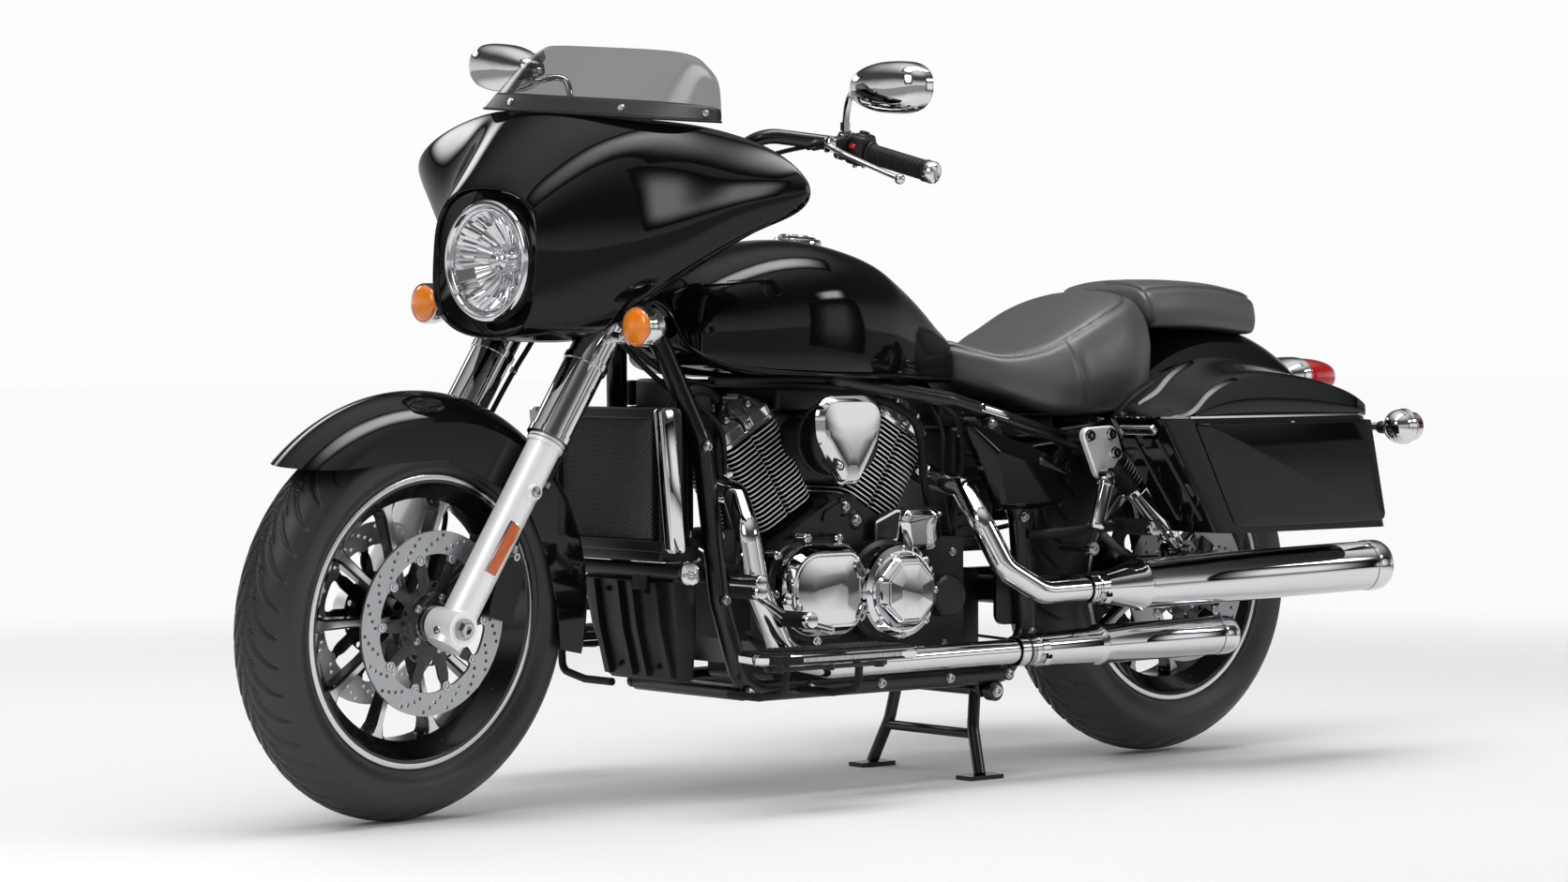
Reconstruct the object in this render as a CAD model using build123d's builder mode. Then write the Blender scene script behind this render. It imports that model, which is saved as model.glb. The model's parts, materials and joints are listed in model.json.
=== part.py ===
from build123d import *
import os
from math import asin, atan2, cos, degrees, radians, sin, sqrt, tan

# Touring cruiser motorcycle, millimetres. +X is forward, +Y the rider's left, +Z up.
# The origin lies on the floor, midway along the machine, in its middle plane.
os.makedirs("parts", exist_ok=True)

# ---------------------------------------------------------------- driving dimensions
wheelbase = 1706
rear_axle_x = -770
front_axle_x = rear_axle_x + wheelbase
rake = 32  # steering head angle from the vertical, degrees
axle_offset = 60  # front axle ahead of the steering axis
leg_offset = 54  # fork legs ahead of the steering axis
leg_y = 115  # fork leg centre lines either side of the middle
steer_at_rest = 9  # degrees to the left, as parked
body_gap = 0.3  # between faces that nearly touch
pin_gap = 0.05  # radial clearance round an axle or pin
stand_lift = 4  # rear tyre off the floor on the centre stand

# Tyres and rims: outer radius, half width, rim flange radius, rim half width
front_tyre_r, front_tyre_hw, front_rim_r, front_rim_hw = 337, 67, 243, 51
rear_tyre_r, rear_tyre_hw, rear_rim_r, rear_rim_hw = 326, 88, 225, 74
front_disc_r, front_disc_y, disc_t = 153, 70, 5
rear_disc_r, rear_disc_y = 150, 104
axle_r = 11
spoke_count = 10

# Engine: a 60 degree V on one crank, cylinders of square finned barrels
crank_x, crank_z = 84, 330
v_half_angle = 30
deck_d = 170  # distances from the crank, along a cylinder
head_d = deck_d + 106
cover_d = head_d + 69
top_d = cover_d + 47
fin_half = 74
case_hw = 118

tube_r = 18  # frame tube radius
rail_r = 14  # seat rail radius
rail_y = 150  # lower frame rails either side of the middle
pipe_r = 22  # exhaust pipe
bag_inner_y, bag_outer_y, bag_wall = 256, 448, 4
seam_z = 648  # saddlebag lid seam

front_lean = degrees(asin(sin(radians(rake)) * sin(radians(steer_at_rest))))
front_crown_r = front_tyre_hw
front_axle_z = (
    (front_tyre_r - front_crown_r) * cos(radians(front_lean))
    + front_crown_r
    + axle_offset * (1 - cos(radians(steer_at_rest))) * sin(radians(rake))
)
rear_axle_z = rear_tyre_r + stand_lift

# ---------------------------------------------------------------- shared frames
steer_up = Vector(-sin(radians(rake)), 0, cos(radians(rake)))
steer_ahead = Vector(cos(radians(rake)), 0, sin(radians(rake)))
front_axle = Vector(front_axle_x, 0, front_axle_z)
rear_axle = Vector(rear_axle_x, 0, rear_axle_z)
steer_foot = front_axle - steer_ahead * axle_offset
steering_axis = Axis(steer_foot, steer_up)


def fork_point(up, ahead=0, side=0):
    """A point of the straight-ahead fork, from the steering axis level with the axle."""
    return steer_foot + steer_up * up + steer_ahead * ahead + Vector(0, side, 0)


def fork_plane(up, ahead=0, side=0):
    """A plane square to the steering axis, its x axis ahead and its y axis to the left."""
    return Plane(origin=fork_point(up, ahead, side), x_dir=steer_ahead, z_dir=steer_up)


def side_plane(y=0):
    """A plane at one y whose x is forward and y up; it extrudes towards the right."""
    return Plane(origin=(0, y, 0), x_dir=(1, 0, 0), z_dir=(0, -1, 0))


def tube(points, radius, bend=None, mode=Mode.ADD):
    """Add a round bar along straight runs joined by tangent arcs to the open part."""
    with BuildLine() as route:
        if len(points) == 2:
            Line(*points)
        else:
            FilletPolyline(*points, radius=bend)
    with BuildSketch(Plane(origin=route.line @ 0, z_dir=route.line % 0)) as section:
        Circle(radius)
    sweep(sections=section.sketch, path=route.line, mode=mode)


def bar(start, end, radius, end_radius=None, mode=Mode.ADD):
    """Add a straight round bar, or a cone, between two points to the open part."""
    start, end = Vector(start), Vector(end)
    run = end - start
    plane = Plane(origin=start, z_dir=run)
    with BuildSketch(plane) as foot:
        Circle(radius)
    if end_radius is None:
        extrude(foot.sketch, amount=run.length, mode=mode)
    else:
        with BuildSketch(plane.offset(run.length)) as head:
            Circle(end_radius)
        loft([foot.sketch, head.sketch], mode=mode)


def pad_section(plane, half_width, top, bottom, crown=0.8):
    """A cushion's cross-section: flat foot, bulged sides and an arched top."""
    height = top - bottom
    shoulder = (crown * half_width, bottom + 0.78 * height)
    with BuildSketch(plane) as section:
        with BuildLine():
            Line((-0.9 * half_width, bottom), (0.9 * half_width, bottom))
            ThreePointArc((0.9 * half_width, bottom), (half_width, bottom + 0.36 * height), shoulder)
            ThreePointArc(shoulder, (0, top), (-shoulder[0], shoulder[1]))
            ThreePointArc((-shoulder[0], shoulder[1]), (-half_width, bottom + 0.36 * height),
                          (-0.9 * half_width, bottom))
        make_face()
    return section.sketch


def save(builder, label, turned=False):
    """Label a finished piece and write it; the front end is turned as it parks."""
    piece = builder.part.rotate(steering_axis, steer_at_rest) if turned else builder.part
    piece.label = label
    export_step(piece, f"parts/{label}.step")


# ---------------------------------------------------------------- wheels
def tyre_profile(axle, radius, half_width, rim_r, rim_hw, crown_r):
    """A tyre's section: round crown, bulged walls, beads on the rim seats."""
    shoulder = (0.80 * half_width, radius - crown_r + sqrt(crown_r**2 - (0.80 * half_width) ** 2))
    waist = (half_width, 0.42 * radius + 0.58 * rim_r)
    bead = (rim_hw - 4, rim_r - 12)
    heel = (rim_hw - 4, rim_r + 3)
    with BuildSketch(Plane(origin=axle, x_dir=(0, 1, 0), z_dir=(1, 0, 0))) as section:
        with BuildLine():
            ThreePointArc((-shoulder[0], shoulder[1]), (0, radius), shoulder)
            ThreePointArc(shoulder, waist, heel)
            Line(heel, bead)
            Line(bead, (-bead[0], bead[1]))
            Line((-bead[0], bead[1]), (-heel[0], heel[1]))
            ThreePointArc((-heel[0], heel[1]), (-waist[0], waist[1]), (-shoulder[0], shoulder[1]))
        make_face()
    return section.sketch


def build_tyre(axle, radius, half_width, rim_r, rim_hw, crown_r):
    """Turn the tyre's section about its axle, in the open part."""
    revolve(tyre_profile(axle, radius, half_width, rim_r, rim_hw, crown_r), axis=Axis(axle, (0, 1, 0)))


def build_rim(axle, rim_r, rim_hw, hub_hw, hub_r):
    """A cast wheel: flanged barrel, hub on its axle bore, straight spokes with flared feet."""
    seat_r = rim_r - 12 - body_gap
    well_r = rim_r - 34
    with BuildSketch(Plane(origin=axle, x_dir=(0, 1, 0), z_dir=(1, 0, 0))) as barrel:
        with BuildLine():
            Polyline(
                (rim_hw, rim_r), (rim_hw - 3, rim_r), (rim_hw - 3.5, seat_r), (rim_hw - 22, seat_r),
                (rim_hw - 28, well_r), (-rim_hw + 28, well_r), (-rim_hw + 22, seat_r),
                (-rim_hw + 3.5, seat_r), (-rim_hw + 3, rim_r), (-rim_hw, rim_r),
                (-rim_hw, rim_r - 20), (-rim_hw + 14, rim_r - 24), (-rim_hw + 30, well_r - 7),
                (rim_hw - 30, well_r - 7), (rim_hw - 14, rim_r - 24), (rim_hw, rim_r - 20),
                close=True,
            )
        make_face()
    revolve(barrel.sketch, axis=Axis(axle, (0, 1, 0)))
    foot_r = well_r - 5
    with BuildSketch(Plane(origin=axle, x_dir=(1, 0, 0), z_dir=(0, -1, 0))) as spokes:
        with PolarLocations(0, spoke_count):
            with BuildLine():
                Polyline((hub_r - 6, -13), (hub_r + 14, -11), (foot_r - 22, -9), (foot_r, -24),
                         (foot_r, 24), (foot_r - 22, 9), (hub_r + 14, 11), (hub_r - 6, 13), close=True)
            make_face()
    extrude(spokes.sketch, amount=17, both=True)
    with BuildSketch(Plane(origin=axle, x_dir=(1, 0, 0), z_dir=(0, -1, 0))) as hub:
        Circle(hub_r)
    extrude(hub.sketch, amount=hub_hw, both=True)
    with BuildSketch(Plane(origin=axle, x_dir=(1, 0, 0), z_dir=(0, -1, 0))) as bore:
        Circle(axle_r + pin_gap)
    extrude(bore.sketch, amount=hub_hw + 10, both=True, mode=Mode.SUBTRACT)


with BuildPart() as front_tyre:
    build_tyre(front_axle, front_tyre_r, front_tyre_hw, front_rim_r, front_rim_hw, front_crown_r)
save(front_tyre, "front_tyre", turned=True)

with BuildPart() as rear_tyre:
    build_tyre(rear_axle, rear_tyre_r, rear_tyre_hw, rear_rim_r, rear_rim_hw, 1.15 * rear_tyre_hw)
save(rear_tyre, "rear_tyre")

front_hub_hw, rear_hub_hw = 66, 78
with BuildPart() as front_rim:
    build_rim(front_axle, front_rim_r, front_rim_hw, front_hub_hw, 38)
save(front_rim, "front_rim", turned=True)

with BuildPart() as rear_rim:
    build_rim(rear_axle, rear_rim_r, rear_rim_hw, rear_hub_hw, 52)
save(rear_rim, "rear_rim")


def build_disc(axle, y, radius, hub_r, hub_y):
    """A brake disc: outer ring, inner carrier arms and a hat that reaches the hub."""
    ring_r = radius - 38
    outward = 1 if y > 0 else -1
    plane = Plane(origin=axle + Vector(0, y, 0), x_dir=(1, 0, 0), z_dir=(0, -1, 0))
    with BuildSketch(plane) as ring:
        Circle(radius)
        Circle(ring_r, mode=Mode.SUBTRACT)
    extrude(ring.sketch, amount=disc_t / 2, both=True)
    with BuildSketch(plane) as carrier:
        Circle(ring_r + 2)
        Circle(hub_r + 16, mode=Mode.SUBTRACT)
        with PolarLocations((ring_r + hub_r + 16) / 2 - 2, 5):
            Circle((ring_r - hub_r - 16) / 2 - 9, mode=Mode.SUBTRACT)
    extrude(carrier.sketch, amount=disc_t / 2, both=True)
    with BuildSketch(plane.offset(-outward * disc_t / 2)) as hat:
        Circle(hub_r + 18)
        Circle(hub_r - 8, mode=Mode.SUBTRACT)
    extrude(hat.sketch, amount=outward * (abs(y) + disc_t / 2 - hub_y))


with BuildPart() as front_discs:
    for side in (1, -1):
        build_disc(front_axle, side * front_disc_y, front_disc_r, 38, front_hub_hw)
save(front_discs, "front_discs", turned=True)

belt_y, belt_hw, belt_t = 112, 13, 5
pulley_r = 140
with BuildPart() as rear_disc_pulley:
    build_disc(rear_axle, rear_disc_y, rear_disc_r, 52, rear_hub_hw)
    pulley_plane = Plane(origin=rear_axle + Vector(0, -belt_y, 0), x_dir=(1, 0, 0), z_dir=(0, -1, 0))
    with BuildSketch(pulley_plane) as pulley:
        Circle(pulley_r)
        Circle(pulley_r - 16, mode=Mode.SUBTRACT)
    extrude(pulley.sketch, amount=belt_hw, both=True)
    with BuildSketch(pulley_plane) as web:
        Circle(pulley_r - 14)
        Circle(30, mode=Mode.SUBTRACT)
        with PolarLocations(90, 8):
            Circle(22, mode=Mode.SUBTRACT)
    extrude(web.sketch, amount=5, both=True)
    with BuildSketch(pulley_plane) as boss:
        Circle(60)
        Circle(30, mode=Mode.SUBTRACT)
    extrude(boss.sketch, amount=-(belt_y - rear_hub_hw))
save(rear_disc_pulley, "rear_disc_pulley")

# ---------------------------------------------------------------- fork and its yokes
slider_r, stanchion_r, cover_r = 29, 21, 36
clamp_reach = 31  # the axle clamp's half width
slider_top, cover_top = 345, 582
lower_yoke_up, upper_yoke_up, yoke_t = 590, 790, 30
stem_r = 14
head_bottom, head_top = 628, 780
fender_boss_up = 262
axle_end_y = leg_y + clamp_reach

with BuildPart() as yokes:
    for up, thick in ((lower_yoke_up, yoke_t), (upper_yoke_up, yoke_t - 6)):
        with BuildSketch(fork_plane(up)) as plate:
            with Locations((leg_offset, leg_y), (leg_offset, -leg_y)):
                Circle(34)
            with Locations((0, 0)):
                Circle(30)
            make_hull()
            with Locations((leg_offset, leg_y), (leg_offset, -leg_y)):
                Circle(stanchion_r + 0.01, mode=Mode.SUBTRACT)
        extrude(plate.sketch, amount=thick)
    bar(fork_point(lower_yoke_up + 5), fork_point(upper_yoke_up + 5), stem_r)
    bar(fork_point(upper_yoke_up + 20), fork_point(upper_yoke_up + 32), 17)
save(yokes, "yokes", turned=True)

with BuildPart() as fork_legs:
    for side in (1, -1):
        y = side * leg_y
        bar(fork_point(slider_top - 20, leg_offset, y),
            fork_point(upper_yoke_up + yoke_t, leg_offset, y), stanchion_r)
        bar(fork_point(-34, leg_offset, y), fork_point(slider_top, leg_offset, y), slider_r)
        bar(fork_point(slider_top, leg_offset, y), fork_point(slider_top + 14, leg_offset, y), slider_r + 3)
        clamp_inner, clamp_outer = side * (leg_y - clamp_reach), side * (leg_y + clamp_reach)
        bar(front_axle + Vector(0, clamp_inner, 0), front_axle + Vector(0, clamp_outer, 0), 30)
        bar(fork_point(fender_boss_up, leg_offset, side * leg_y),
            fork_point(fender_boss_up, leg_offset, side * (leg_y + slider_r + 5)), 13)
    bar(front_axle + Vector(0, -200, 0), front_axle + Vector(0, 200, 0), axle_r + 0.01, mode=Mode.SUBTRACT)
save(fork_legs, "fork_legs", turned=True)

with BuildPart() as fork_covers:
    for side in (1, -1):
        y = side * leg_y
        for start, end, radius in ((slider_top + 14.5, cover_top, cover_r), (500, 512, cover_r + 3),
                                   (slider_top + 14.5, slider_top + 26, cover_r + 2)):
            bar(fork_point(start, leg_offset, y), fork_point(end, leg_offset, y), radius)
        bar(fork_point(slider_top, leg_offset, y), fork_point(cover_top + 5, leg_offset, y),
            stanchion_r + 0.2, mode=Mode.SUBTRACT)
save(fork_covers, "fork_covers", turned=True)

with BuildPart() as front_axle_pin:
    bar(front_axle + Vector(0, -axle_end_y, 0), front_axle + Vector(0, axle_end_y, 0), axle_r)
    for side in (1, -1):
        bar(front_axle + Vector(0, side * axle_end_y, 0),
            front_axle + Vector(0, side * (axle_end_y + 6), 0), 18)
        bar(front_axle + Vector(0, side * (front_hub_hw + body_gap), 0),
            front_axle + Vector(0, side * (leg_y - clamp_reach), 0), 17)
save(front_axle_pin, "front_axle", turned=True)

# ---------------------------------------------------------------- front fender
fender_r, fender_hw, fender_t = 376, 84, 3
fender_from, fender_to = 40, 192  # degrees about the axle, from ahead and upwards


def fender_plane(axle, angle):
    """A plane through an axle at an angle; its x is left and its y away from the axle."""
    a = radians(angle)
    return Plane(origin=axle, x_dir=(0, 1, 0), z_dir=(sin(a), 0, -cos(a)))


def fender_section(plane, crown, half_width, shoulder, skirt, thick):
    """A fender's U-shaped section: an arched crown and straight skirts, one wall thick."""
    with BuildSketch(plane) as section:
        with BuildLine():
            ThreePointArc((-half_width, shoulder), (0, crown), (half_width, shoulder))
            Line((half_width, shoulder), (half_width, skirt))
            Line((half_width, skirt), (half_width - thick, skirt))
            Line((half_width - thick, skirt), (half_width - thick, shoulder))
            ThreePointArc((half_width - thick, shoulder), (0, crown - thick), (-half_width + thick, shoulder))
            Line((-half_width + thick, shoulder), (-half_width + thick, skirt))
            Line((-half_width + thick, skirt), (-half_width, skirt))
            Line((-half_width, skirt), (-half_width, shoulder))
        make_face()
    return section.sketch


with BuildPart() as front_fender:
    revolve(fender_section(fender_plane(front_axle, fender_from), fender_r, fender_hw, fender_r - 44, 252, fender_t),
            axis=Axis(front_axle, (0, -1, 0)), revolution_arc=fender_to - fender_from)
    # The skirt's lower edge: high at the pointed front, deepest by the fork, then along the back
    with BuildSketch(side_plane()) as below:
        with BuildLine():
            Polyline((1270, 593), (1150, 596), (1040, 604), (935, 606), (860, 580), (800, 545),
                     (748, 520), (700, 440), (668, 350), (655, 250), (655, 150), (1270, 150), close=True)
        make_face()
    extrude(below.sketch, amount=200, both=True, mode=Mode.SUBTRACT)
    boss_at = fork_point(fender_boss_up, leg_offset, 0)
    for side in (1, -1):
        bar(boss_at + Vector(0, side * (fender_hw - 2), 0),
            boss_at + Vector(0, side * (leg_y - slider_r - body_gap), 0), 16)
save(front_fender, "front_fender", turned=True)

# ---------------------------------------------------------------- brake calipers
caliper_len, caliper_h, caliper_w = 104, 56, 48
caliper_at = front_axle + Vector(-136, 0, 52)
caliper_axis = Vector(-0.3, 0, 1).normalized()
with BuildPart() as calipers:
    for side in (1, -1):
        with BuildSketch(Plane(origin=caliper_at + Vector(0, side * 100, 0), x_dir=caliper_axis,
                               z_dir=(0, -side, 0))) as block:
            RectangleRounded(caliper_len, caliper_h, 16)
        extrude(block.sketch, amount=caliper_w)
        with BuildSketch(Plane(origin=front_axle + Vector(0, side * front_disc_y, 0),
                               x_dir=(1, 0, 0), z_dir=(0, -1, 0))) as slot:
            Circle(front_disc_r + 6)
        extrude(slot.sketch, amount=disc_t / 2 + 3, both=True, mode=Mode.SUBTRACT)
save(calipers, "brake_calipers", turned=True)

# The hoses run from the calipers' heads up behind the fork legs to the lower yoke
hose_r = 4.5
hose_top = lower_yoke_up - body_gap
hose_foot = caliper_at + caliper_axis * (caliper_len / 2 + body_gap)
with BuildPart() as brake_hoses:
    for side in (1, -1):
        tube([hose_foot + Vector(0, side * 90, 0), hose_foot + caliper_axis * 50 + Vector(0, side * 90, 0),
              fork_point(300, 0, side * 102), fork_point(400, 4, side * 106), fork_point(500, 6, side * 100),
              fork_point(hose_top - 34, 10, side * 86), fork_point(hose_top, 10, side * 86)],
             hose_r, bend=[90, 140, 140, 110, 60])
save(brake_hoses, "brake_hoses", turned=True)

# ---------------------------------------------------------------- fairing and its fittings
fairing_t = 4
# y, top edge x and z, bottom edge x and z, foremost x and z
fairing_sections = (
    (0, 655, 1178, 600, 806, 762, 1000),
    (130, 628, 1178, 604, 822, 716, 1000),
    (260, 566, 1174, 590, 930, 632, 1050),
    (380, 534, 1148, 556, 990, 574, 1068),
    (472, 528, 1108, 536, 1036, 545, 1072),
)
nacelle_front_x, nacelle_hw, nacelle_top_z, nacelle_bottom_z = 792, 127, 1050, 806
nacelle_root_x = 640
lamp_r, lamp_z = 100, 926


def fairing_half(inset, back):
    """Section sketches of one fairing half, inset by the wall and drawn out behind."""
    sections = []
    for y, top_x, top_z, low_x, low_z, nose_x, nose_z in fairing_sections:
        with BuildSketch(side_plane(y - (inset if y == fairing_sections[-1][0] else 0))) as section:
            with BuildLine():
                ThreePointArc((top_x, top_z - inset), (nose_x - inset, nose_z), (low_x, low_z + inset))
                if back:
                    Polyline((low_x, low_z + inset), (low_x - back, low_z + inset),
                             (top_x - back, top_z - inset), (top_x, top_z - inset))
                else:
                    Line((low_x, low_z), (top_x, top_z))
            make_face()
        sections.append(section.sketch)
    return sections


with BuildPart() as fairing:
    loft(fairing_half(0, 0))
    mirror(about=Plane.XZ)
    with BuildSketch(Plane.YZ.offset(nacelle_root_x)) as nacelle_root:
        with Locations((0, (nacelle_top_z + nacelle_bottom_z) / 2 + 6)):
            RectangleRounded(2 * nacelle_hw + 30, nacelle_top_z - nacelle_bottom_z + 16, 60)
    with BuildSketch(Plane.YZ.offset(nacelle_front_x)) as nacelle_face:
        with Locations((0, (nacelle_top_z + nacelle_bottom_z) / 2)):
            RectangleRounded(2 * nacelle_hw, nacelle_top_z - nacelle_bottom_z, 92)
    loft([nacelle_root.sketch, nacelle_face.sketch])
    loft(fairing_half(fairing_t, 90), mode=Mode.SUBTRACT)
    mirrored = [section.mirror(Plane.XZ) for section in fairing_half(fairing_t, 90)]
    loft(mirrored, mode=Mode.SUBTRACT)
    with BuildSketch(Plane.YZ.offset(nacelle_root_x - 40)) as hollow_root:
        with Locations((0, (nacelle_top_z + nacelle_bottom_z) / 2 + 6)):
            RectangleRounded(2 * nacelle_hw + 30, nacelle_top_z - nacelle_bottom_z + 12, 58)
    with BuildSketch(Plane.YZ.offset(nacelle_front_x - fairing_t)) as hollow_face:
        with Locations((0, (nacelle_top_z + nacelle_bottom_z) / 2)):
            RectangleRounded(2 * (nacelle_hw - fairing_t), nacelle_top_z - nacelle_bottom_z - 2 * fairing_t, 88)
    loft([hollow_root.sketch, hollow_face.sketch], mode=Mode.SUBTRACT)
    # Behind the nacelle's root the shell ends just above the nacelle's floor
    with BuildSketch(Plane.XY.offset(nacelle_bottom_z + fairing_t)) as chin:
        with Locations((nacelle_root_x - 40, 0)):
            Rectangle(80, 2 * nacelle_hw)
    extrude(chin.sketch, amount=-40, mode=Mode.SUBTRACT)
    # Notches round the fork covers and the yokes
    for side in (1, -1):
        bar(fork_point(520, leg_offset, side * leg_y), fork_point(700, leg_offset, side * leg_y),
            cover_r + 6, mode=Mode.SUBTRACT)
    bar((nacelle_front_x - 70, 0, lamp_z), (nacelle_front_x + 5, 0, lamp_z), lamp_r - 4, mode=Mode.SUBTRACT)
save(fairing, "fairing", turned=True)

with BuildPart() as headlight:
    # The chrome ring and the reflector bowl: how far behind the nacelle's face, and the radius there
    ring_profile = (
        (-0.2, 92), (-0.2, 102), (-8, 100), (-15, 92), (-9, 88), (-3, 88), (4, 85), (38, 46), (50, 18),
        (52, 0), (56, 0), (54, 20), (42, 50), (8, 89),
    )
    with BuildSketch(side_plane()) as ring:
        with BuildLine():
            Polyline([(nacelle_front_x - behind, lamp_z + radius) for behind, radius in ring_profile], close=True)
        make_face()
    revolve(ring.sketch, axis=Axis((0, 0, lamp_z), (1, 0, 0)))
save(headlight, "headlight", turned=True)

lens_r, lens_t, lens_bulge = 87, 3, 22
with BuildPart() as headlight_lens:
    # The dome, then its hollow
    for radius, bulge, back, mode in ((lens_r, lens_bulge, 1, Mode.ADD),
                                      (lens_r - lens_t, lens_bulge - lens_t, 6, Mode.SUBTRACT)):
        foot_x = nacelle_front_x + 3.2
        with BuildSketch(side_plane()) as dome:
            with BuildLine():
                ThreePointArc((foot_x + bulge, lamp_z), (foot_x + 0.78 * bulge, lamp_z + 0.5 * radius),
                              (foot_x, lamp_z + radius))
                Polyline((foot_x, lamp_z + radius), (foot_x - back, lamp_z + radius), (foot_x - back, lamp_z),
                         (foot_x + bulge, lamp_z))
            make_face()
        revolve(dome.sketch, axis=Axis((0, 0, lamp_z), (1, 0, 0)), mode=mode)
save(headlight_lens, "headlight_lens", turned=True)

screen_t = 3
screen_base_z = 1181
screen_height = 110
screen_top_z = screen_base_z + screen_height
with BuildPart() as windshield:
    sections = []
    # z, middle x, edge x, half width
    for z, mid_x, edge_x, half in ((screen_base_z, 645, 528, 270), (screen_top_z, 560, 470, 262)):
        with BuildSketch(Plane.XY.offset(z)) as band:
            with BuildLine():
                ThreePointArc((edge_x, half), (mid_x, 0), (edge_x, -half))
                Line((edge_x, -half), (edge_x - screen_t, -half))
                ThreePointArc((edge_x - screen_t, -half), (mid_x - screen_t, 0), (edge_x - screen_t, half))
                Line((edge_x - screen_t, half), (edge_x, half))
            make_face()
        sections.append(band.sketch)
    loft(sections)
    with BuildSketch(Plane.YZ.offset(700)) as outline:
        with Locations((0, screen_top_z - 150)):
            RectangleRounded(536, 300, 60)
    extrude(outline.sketch, amount=-400, mode=Mode.INTERSECT)
save(windshield, "windshield", turned=True)

with BuildPart() as instrument_panel:
    sections = []
    # y, top x and z, bottom x and z
    for y, top_x, top_z, low_x, low_z in ((-330, 512, 1120, 530, 1042), (-150, 560, 1160, 560, 1052),
                                          (150, 560, 1160, 560, 1052), (330, 512, 1120, 530, 1042)):
        with BuildSketch(side_plane(y)) as slab:
            with BuildLine():
                Polyline((top_x, top_z), (top_x - 30, top_z), (low_x - 30, low_z), (low_x, low_z), close=True)
            make_face()
        sections.append(slab.sketch)
    loft(sections, ruled=True)
save(instrument_panel, "instrument_panel", turned=True)

signal_x, signal_y, signal_z = 690, 262, 836
with BuildPart() as front_signals:
    for side in (1, -1):
        y = side * signal_y
        with BuildSketch(side_plane(0)) as bullet:
            with BuildLine():
                Line((signal_x - 62, signal_z), (signal_x + 12, signal_z))
                ThreePointArc((signal_x + 12, signal_z), (signal_x + 8, signal_z + 20), (signal_x, signal_z + 34))
                ThreePointArc((signal_x, signal_z + 34), (signal_x - 44, signal_z + 24), (signal_x - 62, signal_z))
            make_face()
        bullet_at = bullet.sketch.moved(Location((0, y, 0)))
        revolve(bullet_at, axis=Axis((0, y, signal_z), (1, 0, 0)))
        stalk_root = fork_point(cover_top - 20, leg_offset, side * (leg_y + cover_r + body_gap))
        elbow = stalk_root + Vector(0, side * 22, 0)
        bar(stalk_root, elbow, 10)
        bar(elbow - Vector(0, side * 6, 0), (signal_x - 26, y - side * 14, signal_z), 8)
save(front_signals, "front_signals", turned=True)

# ---------------------------------------------------------------- handlebar and what it carries
bar_r = 12.7
grip_r = 17
grip_in = (283, 385, 1136)
grip_out = (262, 500, 1112)
# The bar's left half, from its middle to its end
grip_start = tuple(1.5 * i - 0.5 * o for i, o in zip(grip_in, grip_out))
bar_route = ((448, 0, 1050), (448, 90, 1050), (400, 245, 1158), grip_start, grip_out)
with BuildPart() as handlebar:
    left = [Vector(*p) for p in bar_route]
    right = [Vector(p.X, -p.Y, p.Z) for p in left]
    tube(right[::-1][:-1] + left[1:], bar_r, bend=[40, 60, 50, 50, 60, 40])
    for side in (1, -1):
        riser_foot = upper_yoke_up + yoke_t - 6
        bar(fork_point(riser_foot, -8, side * 45), fork_point(riser_foot + 14, -8, side * 45), 14)
        bar(fork_point(riser_foot + 12, -8, side * 45), (448, side * 45, 1050), 14)
save(handlebar, "handlebar", turned=True)


def along(start, end, share):
    """The point at a share of the way from one point to another."""
    start, end = Vector(*start), Vector(*end)
    return start + (end - start) * share


def flip(point, side):
    """The point mirrored to the right when side is -1."""
    point = Vector(*point)
    return Vector(point.X, side * point.Y, point.Z)


with BuildPart() as grips:
    for side in (1, -1):
        start, end = flip(grip_in, side), flip(grip_out, side)
        bar(start, end, grip_r)
        bar(end, end + (end - start).normalized() * 14, grip_r - 2)
        bar(start - (end - start), end, bar_r + 0.05, mode=Mode.SUBTRACT)
save(grips, "grips", turned=True)

with BuildPart() as hand_controls:
    for side in (1, -1):
        inner = flip(along(grip_in, grip_out, -0.30), side)
        outer = flip(along(grip_in, grip_out, -0.03), side)
        bar(inner, outer, 25)
        perch = flip(along(grip_in, grip_out, -0.18), side)
        knuckle = perch + Vector(62, 0, 4)
        bar(perch, knuckle, 12)
        tip = flip((grip_out[0] + 66, grip_out[1] - 6, grip_out[2] - 14), side)
        bar(knuckle, tip, 8, 5)
        with Locations(tip):
            Sphere(9)
        bar(inner - (outer - inner), outer + (outer - inner), bar_r + 0.05, mode=Mode.SUBTRACT)
save(hand_controls, "hand_controls", turned=True)

mirror_x, mirror_y, mirror_z = 345, 470, 1248
with BuildPart() as mirrors:
    for side in (1, -1):
        foot = flip(along(grip_in, grip_out, -0.25), side) + Vector(30, 0, 24)
        tube([foot, foot + Vector(0, 0, 50), flip((mirror_x + 18, mirror_y - 40, mirror_z - 12), side),
              flip((mirror_x + 16, mirror_y, mirror_z), side)], 6, bend=[20, 20])
        shells = []
        for back, scale in ((0, 1.0), (26, 0.82), (40, 0.4)):
            with BuildSketch(Plane(origin=flip((mirror_x + back, mirror_y, mirror_z), side),
                                   x_dir=(0, 1, 0), z_dir=(1, 0, 0))) as oval:
                Ellipse(82 * scale, 44 * scale)
            shells.append(oval.sketch)
        loft(shells)
save(mirrors, "mirrors", turned=True)

# ---------------------------------------------------------------- frame
neck = fork_point((head_bottom + head_top) / 2)
# The cradle's left tube, from the neck round below the engine and up behind it
cradle_route = ((526, 20, 868), (446, 62, 788), (402, 120, 620), (379, 140, 348), (336, rail_y, 188),
                (-262, rail_y, 188), (-318, rail_y, 260), (-300, rail_y, 470), (-222, rail_y, 655))
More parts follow.
